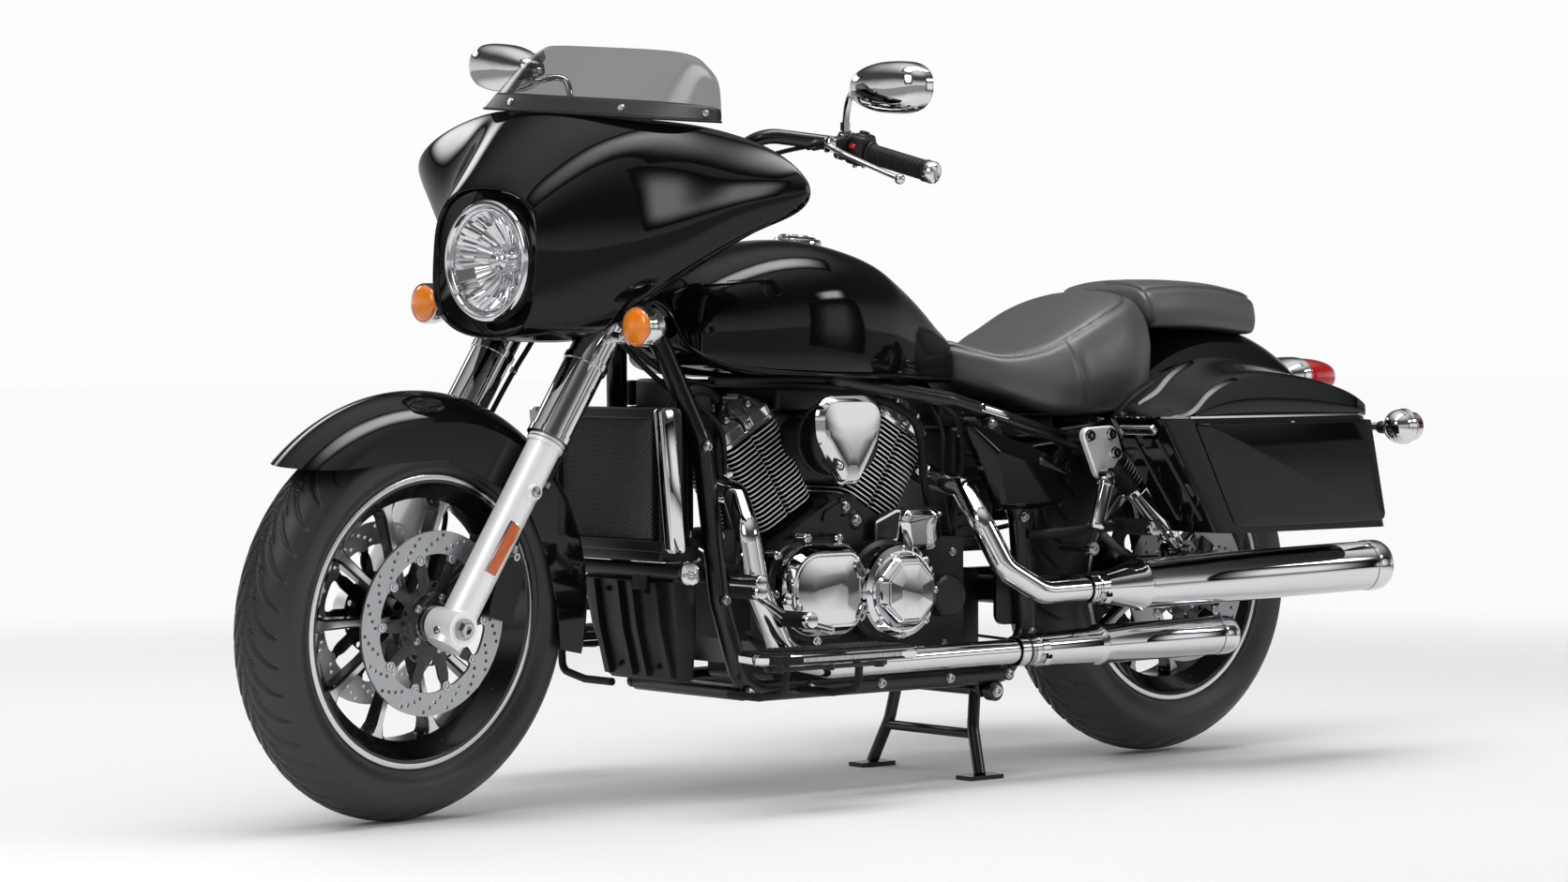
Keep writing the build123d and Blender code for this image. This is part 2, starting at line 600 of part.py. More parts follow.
# The left seat rail, from under the tank back to the saddlebag's rear carrier
seat_rail_route = ((330, 34, 768), (90, 105, 722), (-135, rail_y, 684), (-457, 146, 600),
                   (-560, 134, 596), (-1000, 126, 640))
backbone_route = ((534, 0, 852), (330, 0, 774), (-60, 0, 728), (-190, 0, 700), (-330, 0, 590))
backbone_r = 21
cradle_bends = [60, 70, 70, 60, 45, 60, 60]
seat_rail_bends = [80, 80, 80, 60]
pivot_x, pivot_z = -290, 335  # swingarm pivot
stand_x, stand_z = -232, 158  # centre stand pivot
shock_y = 190
shock_top, shock_low = (-483, 584), (-675, 400)

with BuildPart() as frame:
    bar(fork_point(head_bottom), fork_point(head_top), 32)
    for side in (1, -1):
        tube([flip(p, side) for p in cradle_route], tube_r, bend=cradle_bends)
        tube([flip(p, side) for p in seat_rail_route], rail_r, bend=seat_rail_bends)
        with BuildSketch(side_plane(side * (rail_y - 14))) as plate:
            with Locations((pivot_x - 10, pivot_z + 5)):
                RectangleRounded(96, 130, 20)
        extrude(plate.sketch, amount=side * -8)
        with BuildSketch(side_plane(side * 130)) as gusset:
            with BuildLine():
                Polyline((shock_top[0] + 40, 625), (shock_top[0] - 75, 622), (shock_top[0] - 80, 585),
                         (shock_top[0] - 10, 565), (shock_top[0] + 30, 580), close=True)
            make_face()
        extrude(gusset.sketch, amount=side * -32)
        bar((shock_top[0], side * 150, shock_top[1]), (shock_top[0], side * (shock_y - 12), shock_top[1]), 10)
        with BuildSketch(side_plane(side * (rail_y - 20))) as lug:
            with BuildLine():
                Polyline((stand_x - 24, 190), (stand_x + 24, 190), (stand_x + 14, stand_z - 12),
                         (stand_x - 14, stand_z - 12), close=True)
            make_face()
        extrude(lug.sketch, amount=side * -10)
    tube(backbone_route, backbone_r, bend=[90, 90, 60])
    for x, z, reach, radius in ((-330, 590, 146, 14), (-262, 188, rail_y, 15), (336, 188, rail_y, 15),
                                (-960, 636, 126, 11)):
        bar((x, -reach, z), (x, reach, z), radius)
    bar(fork_point(head_bottom - 20), fork_point(head_top + 20), stem_r + pin_gap, mode=Mode.SUBTRACT)
save(frame, "frame")

# ---------------------------------------------------------------- swingarm, shocks and rear axle
arm_y, arm_w, arm_h = 150, 22, 50
with BuildPart() as swingarm:
    bar((pivot_x, -124, pivot_z), (pivot_x, 124, pivot_z), 24)
    for side in (1, -1):
        with BuildSketch(Plane.XY.offset(pivot_z - arm_h / 2)) as arm:
            with BuildLine():
                inner, outer = side * (arm_y - arm_w / 2), side * (arm_y + arm_w / 2)
                Polyline((pivot_x, side * 102), (pivot_x, side * 124), (pivot_x - 62, side * 126),
                         (pivot_x - 104, outer), (rear_axle_x - 40, outer), (rear_axle_x - 40, inner),
                         (pivot_x - 112, inner), (pivot_x - 70, side * 104), close=True)
            make_face()
        extrude(arm.sketch, amount=arm_h)
        bar((shock_low[0], side * arm_y, pivot_z + 15), (shock_low[0], side * arm_y, shock_low[1]), 11)
        bar((shock_low[0], side * (arm_y - 8), shock_low[1]),
            (shock_low[0], side * (shock_y - 12), shock_low[1]), 10)
    bar((pivot_x - 100, -(arm_y - 8), pivot_z), (pivot_x - 100, arm_y - 8, pivot_z), 17)
    bar((rear_axle_x, -200, rear_axle_z), (rear_axle_x, 200, rear_axle_z), axle_r + 0.01, mode=Mode.SUBTRACT)
save(swingarm, "swingarm")

with BuildPart() as rear_shocks:
    top = Vector(shock_top[0], shock_y, shock_top[1])
    low = Vector(shock_low[0], shock_y, shock_low[1])
    run = (low - top).normalized()
    for side in (1, -1):
        a, b = flip(top, side), flip(low, side)
        d = (b - a).normalized()
        for start, end, radius in ((0, 0.5, 27), (0.5, 0.54, 25), (0.54, 0.98, 21)):
            bar(a + (b - a) * (0.06 + start * 0.9), a + (b - a) * (0.06 + end * 0.9), radius)
        for eye in (a, b):
            bar(eye - Vector(0, side * 11.7, 0), eye + Vector(0, side * 12, 0), 17)
save(rear_shocks, "rear_shocks")

# The rear caliper hangs on the left arm's inner side, ahead of the axle, over the disc
with BuildPart() as rear_caliper:
    caliper_out = arm_y - arm_w / 2 - body_gap
    with BuildSketch(side_plane(caliper_out)) as block:
        with Locations((rear_axle_x + rear_disc_r - 18, pivot_z + 6)):
            RectangleRounded(76, 92, 18)
    extrude(block.sketch, amount=caliper_out - rear_disc_y + 16)
    with BuildSketch(side_plane(rear_disc_y)) as slot:
        with Locations((rear_axle_x, rear_axle_z)):
            Circle(rear_disc_r + 5)
    extrude(slot.sketch, amount=disc_t / 2 + 3, both=True, mode=Mode.SUBTRACT)
save(rear_caliper, "rear_caliper")

with BuildPart() as rear_axle_pin:
    reach = arm_y + arm_w / 2 + 14
    bar((rear_axle_x, -reach, rear_axle_z), (rear_axle_x, reach, rear_axle_z), axle_r)
    for side in (1, -1):
        bar((rear_axle_x, side * (arm_y + arm_w / 2), rear_axle_z), (rear_axle_x, side * reach, rear_axle_z), 20)
    bar((rear_axle_x, 32 - reach, rear_axle_z), (rear_axle_x, -reach, rear_axle_z), 6, mode=Mode.SUBTRACT)
save(rear_axle_pin, "rear_axle")

gear_x, gear_z, gear_r = -176, 330, 56
with BuildPart() as drive_belt:
    belt_plane = side_plane(-belt_y)
    for grow, mode in ((belt_t, Mode.ADD), (0, Mode.SUBTRACT)):
        with BuildSketch(belt_plane) as loop:
            with Locations((rear_axle_x, rear_axle_z)):
                Circle(pulley_r + 1 + grow)
            with Locations((gear_x, gear_z)):
                Circle(gear_r + 1 + grow)
            make_hull()
        extrude(loop.sketch, amount=belt_hw - 1, both=True, mode=mode)
save(drive_belt, "drive_belt")

# ---------------------------------------------------------------- engine
def cylinder_plane(sign, distance=0):
    """A plane square to one cylinder's axis; sign is 1 for the front cylinder, -1 for the rear."""
    lean = radians(v_half_angle)
    up = Vector(sign * sin(lean), 0, cos(lean))
    return Plane(origin=Vector(crank_x, 0, crank_z) + up * distance, x_dir=(cos(lean), 0, -sign * sin(lean)),
                 z_dir=up)


with BuildPart() as crankcase:
    lean = radians(v_half_angle)
    deck = Vector(crank_x + deck_d * sin(lean), 0, crank_z + deck_d * cos(lean))
    half = 66
    dx, dz = half * cos(lean), half * sin(lean)
    with BuildSketch(side_plane()) as profile:
        with BuildLine():
            Polyline((-196, 222), (236, 222), (298, 272), (302, 396), (deck.X + dx, deck.Z - dz),
                     (deck.X - dx, deck.Z + dz), (2 * crank_x - deck.X + dx, deck.Z + dz),
                     (2 * crank_x - deck.X - dx, deck.Z - dz), (-196, 436), close=True)
        make_face()
    extrude(profile.sketch, amount=case_hw, both=True)
    with BuildSketch(side_plane()) as sump:
        with Locations((60, 215)):
            RectangleRounded(330, 40, 12)
    extrude(sump.sketch, amount=92, both=True)
    # The belt's front sprocket stands in a pocket at the right rear
    belt_inner = belt_y - belt_hw - 4
    with BuildSketch(side_plane(-belt_inner)) as pocket:
        with Locations((gear_x, gear_z)):
            Circle(gear_r + 16)
            with Locations((-60, 0)):
                Rectangle(120, 2 * gear_r + 32)
    extrude(pocket.sketch, amount=100, mode=Mode.SUBTRACT)
    bar((gear_x, -belt_inner + 1, gear_z), (gear_x, -belt_y - belt_hw, gear_z), gear_r)
save(crankcase, "crankcase")

fin_pitch, fin_t = 13, 4
with BuildPart() as cylinders:
    for sign in (1, -1):
        with BuildSketch(cylinder_plane(sign, deck_d)) as barrel:
            RectangleRounded(118, 124, 40)
        extrude(barrel.sketch, amount=head_d - deck_d)
        fins = int((cover_d - deck_d - 6) / fin_pitch)
        for i in range(fins):
            with BuildSketch(cylinder_plane(sign, deck_d + 7 + i * fin_pitch)) as fin:
                RectangleRounded(2 * fin_half - 14, 2 * fin_half + 6, 26)
            extrude(fin.sketch, amount=fin_t)
        with BuildSketch(cylinder_plane(sign, head_d)) as head:
            RectangleRounded(126, 136, 26)
        extrude(head.sketch, amount=cover_d - head_d)
save(cylinders, "cylinders")

with BuildPart() as rocker_covers:
    for sign in (1, -1):
        with BuildSketch(cylinder_plane(sign, cover_d)) as foot:
            RectangleRounded(136, 150, 26)
        extrude(foot.sketch, amount=20)
        with BuildSketch(cylinder_plane(sign, cover_d + 20)) as low:
            RectangleRounded(122, 136, 26)
        with BuildSketch(cylinder_plane(sign, top_d)) as high:
            RectangleRounded(88, 108, 24)
        loft([low.sketch, high.sketch])
save(rocker_covers, "rocker_covers")

cleaner_x, cleaner_z = 158, 619
with BuildPart() as air_cleaner:
    with BuildSketch(side_plane(214)) as element:
        with Locations((cleaner_x, cleaner_z)):
            Ellipse(74, 66)
    extrude(element.sketch, amount=120)
    shield_plane = Plane(origin=(cleaner_x, 236, cleaner_z), x_dir=(1, 0, 0), z_dir=(0, -1, 0))
    with BuildSketch(shield_plane) as shield:
        with BuildLine():
            ThreePointArc((-72, 50), (0, 76), (72, 50))
            ThreePointArc((72, 50), (64, -30), (0, -78))
            ThreePointArc((0, -78), (-64, -30), (-72, 50))
        make_face()
    extrude(shield.sketch, amount=22)
save(air_cleaner, "air_cleaner")

with BuildPart() as engine_covers:
    # x, z, width, height, corner, outer y
    for x, z, w, h, corner, y in ((186, 358, 168, 160, 62, 196), (-78, 452, 96, 74, 16, 150)):
        with BuildSketch(side_plane(y)) as cover:
            with Locations((x, z)):
                RectangleRounded(w, h, corner)
        extrude(cover.sketch, amount=y - case_hw)
    with BuildSketch(side_plane(222)) as clutch:
        with Locations((14, 350)):
            Circle(84)
    extrude(clutch.sketch, amount=222 - case_hw)
    with BuildSketch(side_plane(-case_hw)) as right_case:
        with Locations((130, 345)):
            RectangleRounded(230, 170, 80)
    extrude(right_case.sketch, amount=52)
save(engine_covers, "engine_covers")

core_x, core_z, core_t = 478, 556, 42  # the radiator core's rear face, middle height and depth
core_hw, core_hh, core_rim = 165, 121, 27
cowl_x, cowl_z, cowl_t = 404, 302, 44
with BuildPart() as radiator:
    with BuildSketch(Plane.YZ.offset(core_x)) as core:
        with Locations((0, core_z)):
            RectangleRounded(2 * core_hw, 2 * core_hh, 14)
    extrude(core.sketch, amount=core_t)
    with BuildSketch(Plane.YZ.offset(core_x + core_t - 12)) as face:
        with Locations((0, core_z)):
            Rectangle(2 * (core_hw - core_rim), 2 * (core_hh - 18))
    extrude(face.sketch, amount=20, mode=Mode.SUBTRACT)
    with BuildSketch(Plane.YZ.offset(cowl_x)) as cowl:
        with Locations((0, cowl_z)):
            RectangleRounded(216, 190, 16)
    extrude(cowl.sketch, amount=cowl_t)
    with BuildSketch(Plane.YZ.offset(cowl_x + cowl_t - 8)) as channels:
        with Locations((-52, cowl_z), (52, cowl_z)):
            RectangleRounded(48, 130, 12)
    extrude(channels.sketch, amount=8, mode=Mode.SUBTRACT)
    for side in (1, -1):
        bar((455, side * 112, 372), (494, side * 112, 445), 8)
        bar((440, side * 112, 372), (472, side * 112, 372), 8)
    for side in (1, -1):
        bar((500, side * 40, 668), (470, side * 40, 745), 7)
save(radiator, "radiator")

# Bright side bars stand either side of the core, each on a boss that meets its edge
side_bar_y, side_bar_w = core_hw + 3, 24
with BuildPart() as radiator_bars:
    with BuildSketch(side_plane(side_bar_y + side_bar_w)) as side_bar:
        with BuildLine():
            Polyline((546, 676), (512, 680), (484, 434), (518, 430), close=True)
        make_face()
    extrude(side_bar.sketch, amount=side_bar_w)
    fillet(radiator_bars.edges().filter_by(Axis.Y), radius=9)
    bar((494, core_hw + body_gap, core_z), (494, side_bar_y + 4, core_z), 8)
    mirror(about=Plane.XZ)
save(radiator_bars, "radiator_bars")

# ---------------------------------------------------------------- exhaust
front_pipe = ((298.5, 50, 564.5), (333.1, 50, 544.5), (352, 150, 528), (376, 212, 468), (366, 224, 372),
              (318, 238, 256), (220, 240, 233), (-216, 240, 236))
rear_pipe = ((-130.5, 50, 564.5), (-165.1, 50, 544.5), (-168, 150, 524), (-158, 206, 470), (-190, 236, 384),
             (-262, 256.2, 339.2), (-372, 262, 342))
with BuildPart() as exhaust_pipes:
    tube([Vector(*p) for p in front_pipe], pipe_r, bend=[28, 40, 45, 60, 60, 60])
    tube([Vector(*p) for p in rear_pipe], pipe_r, bend=[28, 36, 40, 40, 60])
save(exhaust_pipes, "exhaust_pipes")

with BuildPart() as mufflers:
    # start, end, radius, taper length
    for start, end, radius, taper in (((-372.5, 262, 342), (-1092, 300, 360), 47, 110),
                                      ((-216.5, 240, 236), (-748, 240, 240), 36, 90)):
        start, end = Vector(*start), Vector(*end)
        way = (end - start).normalized()
        shoulder = start + way * taper
        bar(start, shoulder, pipe_r + 3, radius)
        bar(shoulder, end, radius)
        bar(end - way * 70, end, radius - 14, mode=Mode.SUBTRACT)
save(mufflers, "mufflers")

# ---------------------------------------------------------------- tank
cap_x = 92
with BuildPart() as fuel_tank:
    tank_sections = (
        (398, 84, 868, 772), (310, 160, 938, 732), (160, 186, 968, 724),
        (0, 160, 936, 722), (-120, 112, 868, 716), (-220, 64, 800, 712),
    )
    loft([pad_section(Plane.YZ.offset(x), hw, top, low, crown=0.7) for x, hw, top, low in tank_sections])
    with BuildSketch(Plane.YZ.offset(420)) as tunnel:
        with Locations((0, 740)):
            RectangleRounded(100, 190, 30)
    extrude(tunnel.sketch, amount=-660, mode=Mode.SUBTRACT)
    for side in (1, -1):
        tube([flip(p, side) for p in seat_rail_route], rail_r + 2, bend=seat_rail_bends, mode=Mode.SUBTRACT)
    bar((cap_x, 0, 948), (cap_x, 0, 1000), 35, mode=Mode.SUBTRACT)
save(fuel_tank, "fuel_tank")

with BuildPart() as filler_cap:
    bar((cap_x, 0, 948), (cap_x, 0, 972), 34.5)
    bar((cap_x, 0, 972), (cap_x, 0, 977), 34.5, 28)
save(filler_cap, "filler_cap")

# ---------------------------------------------------------------- rear fender and seats
fender_centre = Vector(-860, 0, 440)
rear_fender_r, rear_fender_hw = 385, 106
with BuildPart() as rear_fender:
    revolve(fender_section(fender_plane(fender_centre, 35), rear_fender_r, rear_fender_hw, rear_fender_r - 40,
                           290, fender_t),
            axis=Axis(fender_centre, (0, -1, 0)), revolution_arc=141)
save(rear_fender, "rear_fender")


def clear_fender():
    """Cut the open part back to just above the rear fender."""
    with BuildSketch(side_plane()) as envelope:
        with Locations((fender_centre.X, fender_centre.Z)):
            Circle(rear_fender_r + 1)
    extrude(envelope.sketch, amount=rear_fender_hw + 4, both=True, mode=Mode.SUBTRACT)


with BuildPart() as rider_saddle:
    saddle_sections = (
        (-221, 62, 792, 718), (-285, 128, 772, 690), (-400, 172, 806, 656),
        (-530, 186, 870, 652), (-644, 140, 868, 700),
    )
    loft([pad_section(Plane.YZ.offset(x), hw, top, low) for x, hw, top, low in saddle_sections])
    clear_fender()
save(rider_saddle, "rider_saddle")

with BuildPart() as pillion_pad:
    pillion_sections = ((-650, 132, 900, 812), (-800, 130, 906, 812), (-975, 96, 880, 800))
    loft([pad_section(Plane.YZ.offset(x), hw, top, low) for x, hw, top, low in pillion_sections])
    clear_fender()
save(pillion_pad, "pillion_pad")

with BuildPart() as side_covers:
    with BuildSketch(side_plane(188)) as cover:
        with BuildLine():
            Polyline((-146, 640), (-396, 562), (-372, 486), (-226, 484), close=True)
        make_face()
    extrude(cover.sketch, amount=188 - rail_y - tube_r - body_gap)
    mirror(about=Plane.XZ)
save(side_covers, "side_covers")

# ---------------------------------------------------------------- tail
tail_x, tail_z = -1188, 716
with BuildPart() as tail_light:
    sections = []
    # x, half width, half height
    for x, hw, hh in ((-1120, 52, 26), (-1180, 62, 36), (-1246, 56, 30)):
        with BuildSketch(Plane.YZ.offset(x)) as oval:
            with Locations((0, tail_z)):
                Ellipse(hw, hh)
        sections.append(oval.sketch)
    loft(sections)
    clear_fender()
save(tail_light, "tail_light")

with BuildPart() as rear_signals:
    for side in (1, -1):
        with Locations((-1158, side * 296, 622)):
            Sphere(33)
        bar((-1158, side * 296, 622), (-1194, side * 296, 622), 27)
        bar((-1128, side * (rear_fender_hw + body_gap), 618), (-1128, side * (rear_fender_hw + 14), 618), 9)
        bar((-1128, side * (rear_fender_hw + 8), 618), (-1152, side * 280, 622), 8)
save(rear_signals, "rear_signals")

# ---------------------------------------------------------------- saddlebags
# Outline corners at the seam and at the foot: front x, rear x, inner y, outer y
seam_front, seam_rear = -404, -918
foot_front, foot_rear, foot_z = -560, -992, 440


def bag_outline(z, front, rear, inner, outer, corner, shrink=0):
    """A rounded plan outline of the left bag at one height, shrunk by a wall."""
    with BuildSketch(Plane.XY.offset(z)) as outline:
        with Locations(((front + rear) / 2, (inner + outer) / 2)):
            RectangleRounded(front - rear - 2 * shrink, outer - inner - 2 * shrink, corner - shrink)
    return outline.sketch


with BuildPart() as left_saddlebag:
    loft([bag_outline(foot_z, foot_front, foot_rear, bag_inner_y, bag_outer_y - 22, 36),
          bag_outline(seam_z, seam_front, seam_rear, bag_inner_y, bag_outer_y, 46)])
    loft([bag_outline(foot_z + bag_wall, foot_front, foot_rear, bag_inner_y, bag_outer_y - 22, 36, bag_wall),
          bag_outline(seam_z + 1, seam_front, seam_rear, bag_inner_y, bag_outer_y, 46, bag_wall)],
         mode=Mode.SUBTRACT)
    for x in (-600, -860):
        bar((x, 150, 618), (x, bag_inner_y + 1, 618), 9)
with BuildPart() as saddlebags:
    add(left_saddlebag.part)
    mirror(about=Plane.XZ)
save(saddlebags, "saddlebags")

lid_z = seam_z + 1
lid_top_z = 756
hinge_r = 5
hinge_y, hinge_z = bag_inner_y - hinge_r - body_gap, lid_z + hinge_r  # the lid's hinge line
for name, side in (("left_lid", 1), ("right_lid", -1)):
    with BuildPart() as lid:
        for shrink, drop, mode in ((0, 0, Mode.ADD), (bag_wall, 1, Mode.SUBTRACT)):
            loft([bag_outline(lid_z - drop, seam_front, seam_rear, bag_inner_y, bag_outer_y, 46, shrink),
                  bag_outline(lid_z + 45, seam_front - 16, seam_rear + 2, bag_inner_y + 4, bag_outer_y - 6, 46, shrink),
                  bag_outline(lid_top_z - shrink, seam_front - 120, seam_rear + 70, bag_inner_y + 40,
                              bag_outer_y - 52, 40, shrink)], mode=mode)
        for x in (-540, -780):
            with BuildSketch(Plane.YZ.offset(x)) as knuckle:
                with Locations((hinge_y, hinge_z)):
                    Circle(hinge_r)
                with Locations((hinge_y + hinge_r, hinge_z + 2)):
                    Rectangle(2 * hinge_r, 6)
            extrude(knuckle.sketch, amount=30, both=True)
        if side < 0:
            mirror(about=Plane.XZ, mode=Mode.REPLACE)
    save(lid, name)

# ---------------------------------------------------------------- rests, levers and stand
with BuildPart() as floorboards:
    board_x, board_y, board_z = 300, 338, 268
    with BuildSketch(Plane.XY.offset(board_z)) as board:
        with Locations((board_x, board_y)):
            RectangleRounded(300, 120, 40)
    extrude(board.sketch, amount=-14)
    for x in (220, 380):
        tube([Vector(x, rail_y + tube_r + body_gap, 188), Vector(x, 250, 188), Vector(x, 318, 200), Vector(x, 322, 258)],
             7, bend=[20, 20])
    mirror(about=Plane.XZ)
save(floorboards, "floorboards")

with BuildPart() as foot_levers:
    for side, lift in ((1, 388), (-1, 372)):
        tube([Vector(236, side * 262, 296), Vector(330, side * 262, 320), Vector(438, side * 266, lift)],
             7, bend=[40])
        bar((438, side * 258, lift), (438, side * 330, lift), 13)
        bar((236, side * 266, 296), (236, side * 197, 296), 8)
save(foot_levers, "foot_levers")

with BuildPart() as passenger_pegs:
    tube([Vector(-312, 150 + tube_r - 1, 440), Vector(-340, 196, 440), Vector(-486, 222, 450)], 9, bend=[25])
    bar((-486, 214, 450), (-486, 318, 450), 14)
    mirror(about=Plane.XZ)
save(passenger_pegs, "passenger_pegs")

with BuildPart() as centre_stand:
    foot_x, foot_y = stand_x + 26, 150
    bar((stand_x, -(rail_y - 20 - body_gap), stand_z), (stand_x, rail_y - 20 - body_gap, stand_z), 11)
    for side in (1, -1):
        tube([Vector(stand_x, side * 108, stand_z), Vector(stand_x + 12, side * 116, 90),
              Vector(foot_x, side * foot_y, 8)], 11, bend=[60])
        with Locations((foot_x, side * foot_y, 4)):
            Box(80, 40, 8)
    bar((stand_x + 14, -118, 78), (stand_x + 14, 118, 78), 9)
save(centre_stand, "centre_stand")
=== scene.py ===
"""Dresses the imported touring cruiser: studio, camera, finishes and the pieces that the solids leave plain."""

import json
import logging
import math
from dataclasses import dataclass, field
from enum import Enum
from typing import Iterable, Sequence

import bmesh
import bpy
import numpy as np
from mathutils import Matrix, Vector

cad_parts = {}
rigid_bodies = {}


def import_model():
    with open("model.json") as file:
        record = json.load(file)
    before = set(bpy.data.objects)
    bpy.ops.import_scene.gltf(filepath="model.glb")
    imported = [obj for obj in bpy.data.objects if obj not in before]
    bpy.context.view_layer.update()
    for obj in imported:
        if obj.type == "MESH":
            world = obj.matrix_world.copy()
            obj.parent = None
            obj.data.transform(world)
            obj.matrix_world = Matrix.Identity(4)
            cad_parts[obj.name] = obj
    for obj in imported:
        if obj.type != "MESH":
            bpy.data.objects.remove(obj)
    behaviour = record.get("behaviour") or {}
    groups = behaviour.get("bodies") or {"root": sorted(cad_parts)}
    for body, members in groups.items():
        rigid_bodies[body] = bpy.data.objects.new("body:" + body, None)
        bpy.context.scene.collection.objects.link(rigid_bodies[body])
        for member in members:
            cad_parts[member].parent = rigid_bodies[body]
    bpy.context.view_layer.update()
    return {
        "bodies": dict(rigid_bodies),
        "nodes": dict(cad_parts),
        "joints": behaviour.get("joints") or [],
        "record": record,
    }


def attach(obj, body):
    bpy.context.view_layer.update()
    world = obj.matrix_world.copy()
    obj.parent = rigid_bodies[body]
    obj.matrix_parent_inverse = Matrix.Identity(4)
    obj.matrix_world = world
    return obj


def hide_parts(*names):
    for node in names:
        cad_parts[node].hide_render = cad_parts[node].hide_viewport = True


log = logging.getLogger("cruiser")
MM = 0.001
Point = tuple[float, float, float]
Outline = Sequence[tuple[float, float]]


# ---------------------------------------------------------------- colours and nodes
def linear(hex_colour: str) -> tuple[float, float, float, float]:
    """Turns an sRGB hex colour to linear values.

    Args:
        hex_colour: Six hex digits, such as "0A0A0B".

    Returns:
        Red, green, blue and an alpha of 1.
    """
    parts = [int(hex_colour[i : i + 2], 16) / 255 for i in (0, 2, 4)]
    red, green, blue = (c / 12.92 if c <= 0.04045 else ((c + 0.055) / 1.055) ** 2.4 for c in parts)
    return (red, green, blue, 1.0)


def new_material(name: str) -> tuple[bpy.types.Material, bpy.types.NodeTree]:
    """A fresh material and its nodes.

    Args:
        name: The material's name.

    Returns:
        Both of them.
    """
    made = bpy.data.materials.new(name)
    made.use_nodes = True
    return made, made.node_tree


def add_node(tree: bpy.types.NodeTree, kind: str, settings: dict | None = None,
        links: dict | None = None) -> bpy.types.Node:
    """Adds one node with its settings and its links.

    Args:
        tree: The tree that gets the node.
        kind: The node's type name without its "ShaderNode".
        settings: Attributes by name, and input values by socket name or number.
        links: Output sockets to join to this node's inputs, by socket name or number.

    Returns:
        The new node.
    """
    made = tree.nodes.new(f"ShaderNode{kind}")
    for name, value in (settings or {}).items():
        if isinstance(name, str) and hasattr(made, name):
            setattr(made, name, value)
        else:
            made.inputs[name].default_value = value
    for name, socket in (links or {}).items():
        tree.links.new(socket, made.inputs[name])
    return made


class Slot(Enum):
    """The record's material slots."""

    GLOSS_BLACK = "gloss_black"
    FRAME_BLACK = "frame_black"
    CHROME = "chrome"
    SATIN_ALUMINIUM = "satin_aluminium"
    ENGINE_BLACK = "engine_black"
    BLACK_PLASTIC = "black_plastic"
    TYRE = "tyre_rubber"
    RUBBER = "rubber"
    LEATHER = "leather"
    DISC = "disc_steel"
    SCREEN = "smoked_screen"
    LENS = "clear_lens"
    RED_LENS = "red_lens"


class Body(Enum):
    """The bodies that move."""

    CHASSIS = "chassis"
    STEERING = "steering"
    FRONT_WHEEL = "front_wheel"
    REAR_WHEEL = "rear_wheel"
    LEFT_LID = "left_lid"
    RIGHT_LID = "right_lid"


# ---------------------------------------------------------------- finishes
@dataclass(frozen=True)
class Finish:
    """A surface: its colour, how it shines, and the grain its making leaves."""

    name: str
    colour: str
    slot: Slot
    metallic: float = 0.0
    roughness: float = 0.5
    specular: float = 0.5
    coat: float = 0.0
    coat_roughness: float = 0.03
    grain_mm: float = 2.0
    grain_depth: float = 0.0
    wear: float = 0.06

    def material(self) -> bpy.types.Material:
        """The finish as a Blender material, made once.

        Returns:
            The material.
        """
        made = bpy.data.materials.get(self.name)
        if made:
            return made
        made, tree = new_material(self.name)
        shader = tree.nodes["Principled BSDF"]
        shader.inputs["Base Color"].default_value = linear(self.colour)
        shader.inputs["Metallic"].default_value = self.metallic
        shader.inputs["Roughness"].default_value = self.roughness
        shader.inputs["Specular IOR Level"].default_value = self.specular
        shader.inputs["Coat Weight"].default_value = self.coat
        shader.inputs["Coat Roughness"].default_value = self.coat_roughness
        place = add_node(tree, "TexCoord")
        self.pattern(tree, shader, place.outputs["Object"])
        return made

    def pattern(self, tree: bpy.types.NodeTree, shader: bpy.types.Node, place: bpy.types.NodeSocket) -> None:
        """Adds the grain and the slight unevenness of gloss.

        Args:
            tree: The material's nodes.
            shader: Its principled shader.
            place: Object coordinates, in metres.
        """
        cloud = add_node(tree, "TexNoise", {"Scale": 9.0, "Detail": 4.0}, {"Vector": place})
        self.gloss(tree, shader, cloud.outputs["Fac"])
        if self.grain_depth:
            grain = add_node(tree, "TexNoise", {"Scale": 1000 / self.grain_mm, "Detail": 3.0},
                {"Vector": place})
            self.relief(tree, shader, grain.outputs["Fac"], 0.6)

    def gloss(self, tree: bpy.types.NodeTree, shader: bpy.types.Node, drive: bpy.types.NodeSocket) -> None:
        """Lets the roughness follow a texture, by the wear each way.

        Args:
            tree: The material's nodes.
            shader: Its principled shader.
            drive: The texture's value.
        """
        spread = add_node(tree, "MapRange", {"To Min": max(0.0, self.roughness - self.wear),
            "To Max": self.roughness + self.wear}, {"Value": drive})
        tree.links.new(spread.outputs["Result"], shader.inputs["Roughness"])

    def relief(self, tree: bpy.types.NodeTree, shader: bpy.types.Node, height: bpy.types.NodeSocket,
            strength: float) -> None:
        """Raises the surface by a texture, as deep as the grain.

        Args:
            tree: The material's nodes.
            shader: Its principled shader.
            height: The texture's value.
            strength: How much of the depth shows, from 0 to 1.
        """
        bump = add_node(tree, "Bump", {"Strength": strength, "Distance": self.grain_depth / 1000},
            {"Height": height})
        tree.links.new(bump.outputs["Normal"], shader.inputs["Normal"])


@dataclass(frozen=True)
class Glass(Finish):
    """Clear or tinted plastic: thin, glossy, seen through."""

    alpha: float = 0.4

    def pattern(self, tree: bpy.types.NodeTree, shader: bpy.types.Node, place: bpy.types.NodeSocket) -> None:
        """Lets light through by alpha, as the thin sheet does."""
        shader.inputs["Alpha"].default_value = self.alpha
        shader.inputs["IOR"].default_value = 1.49


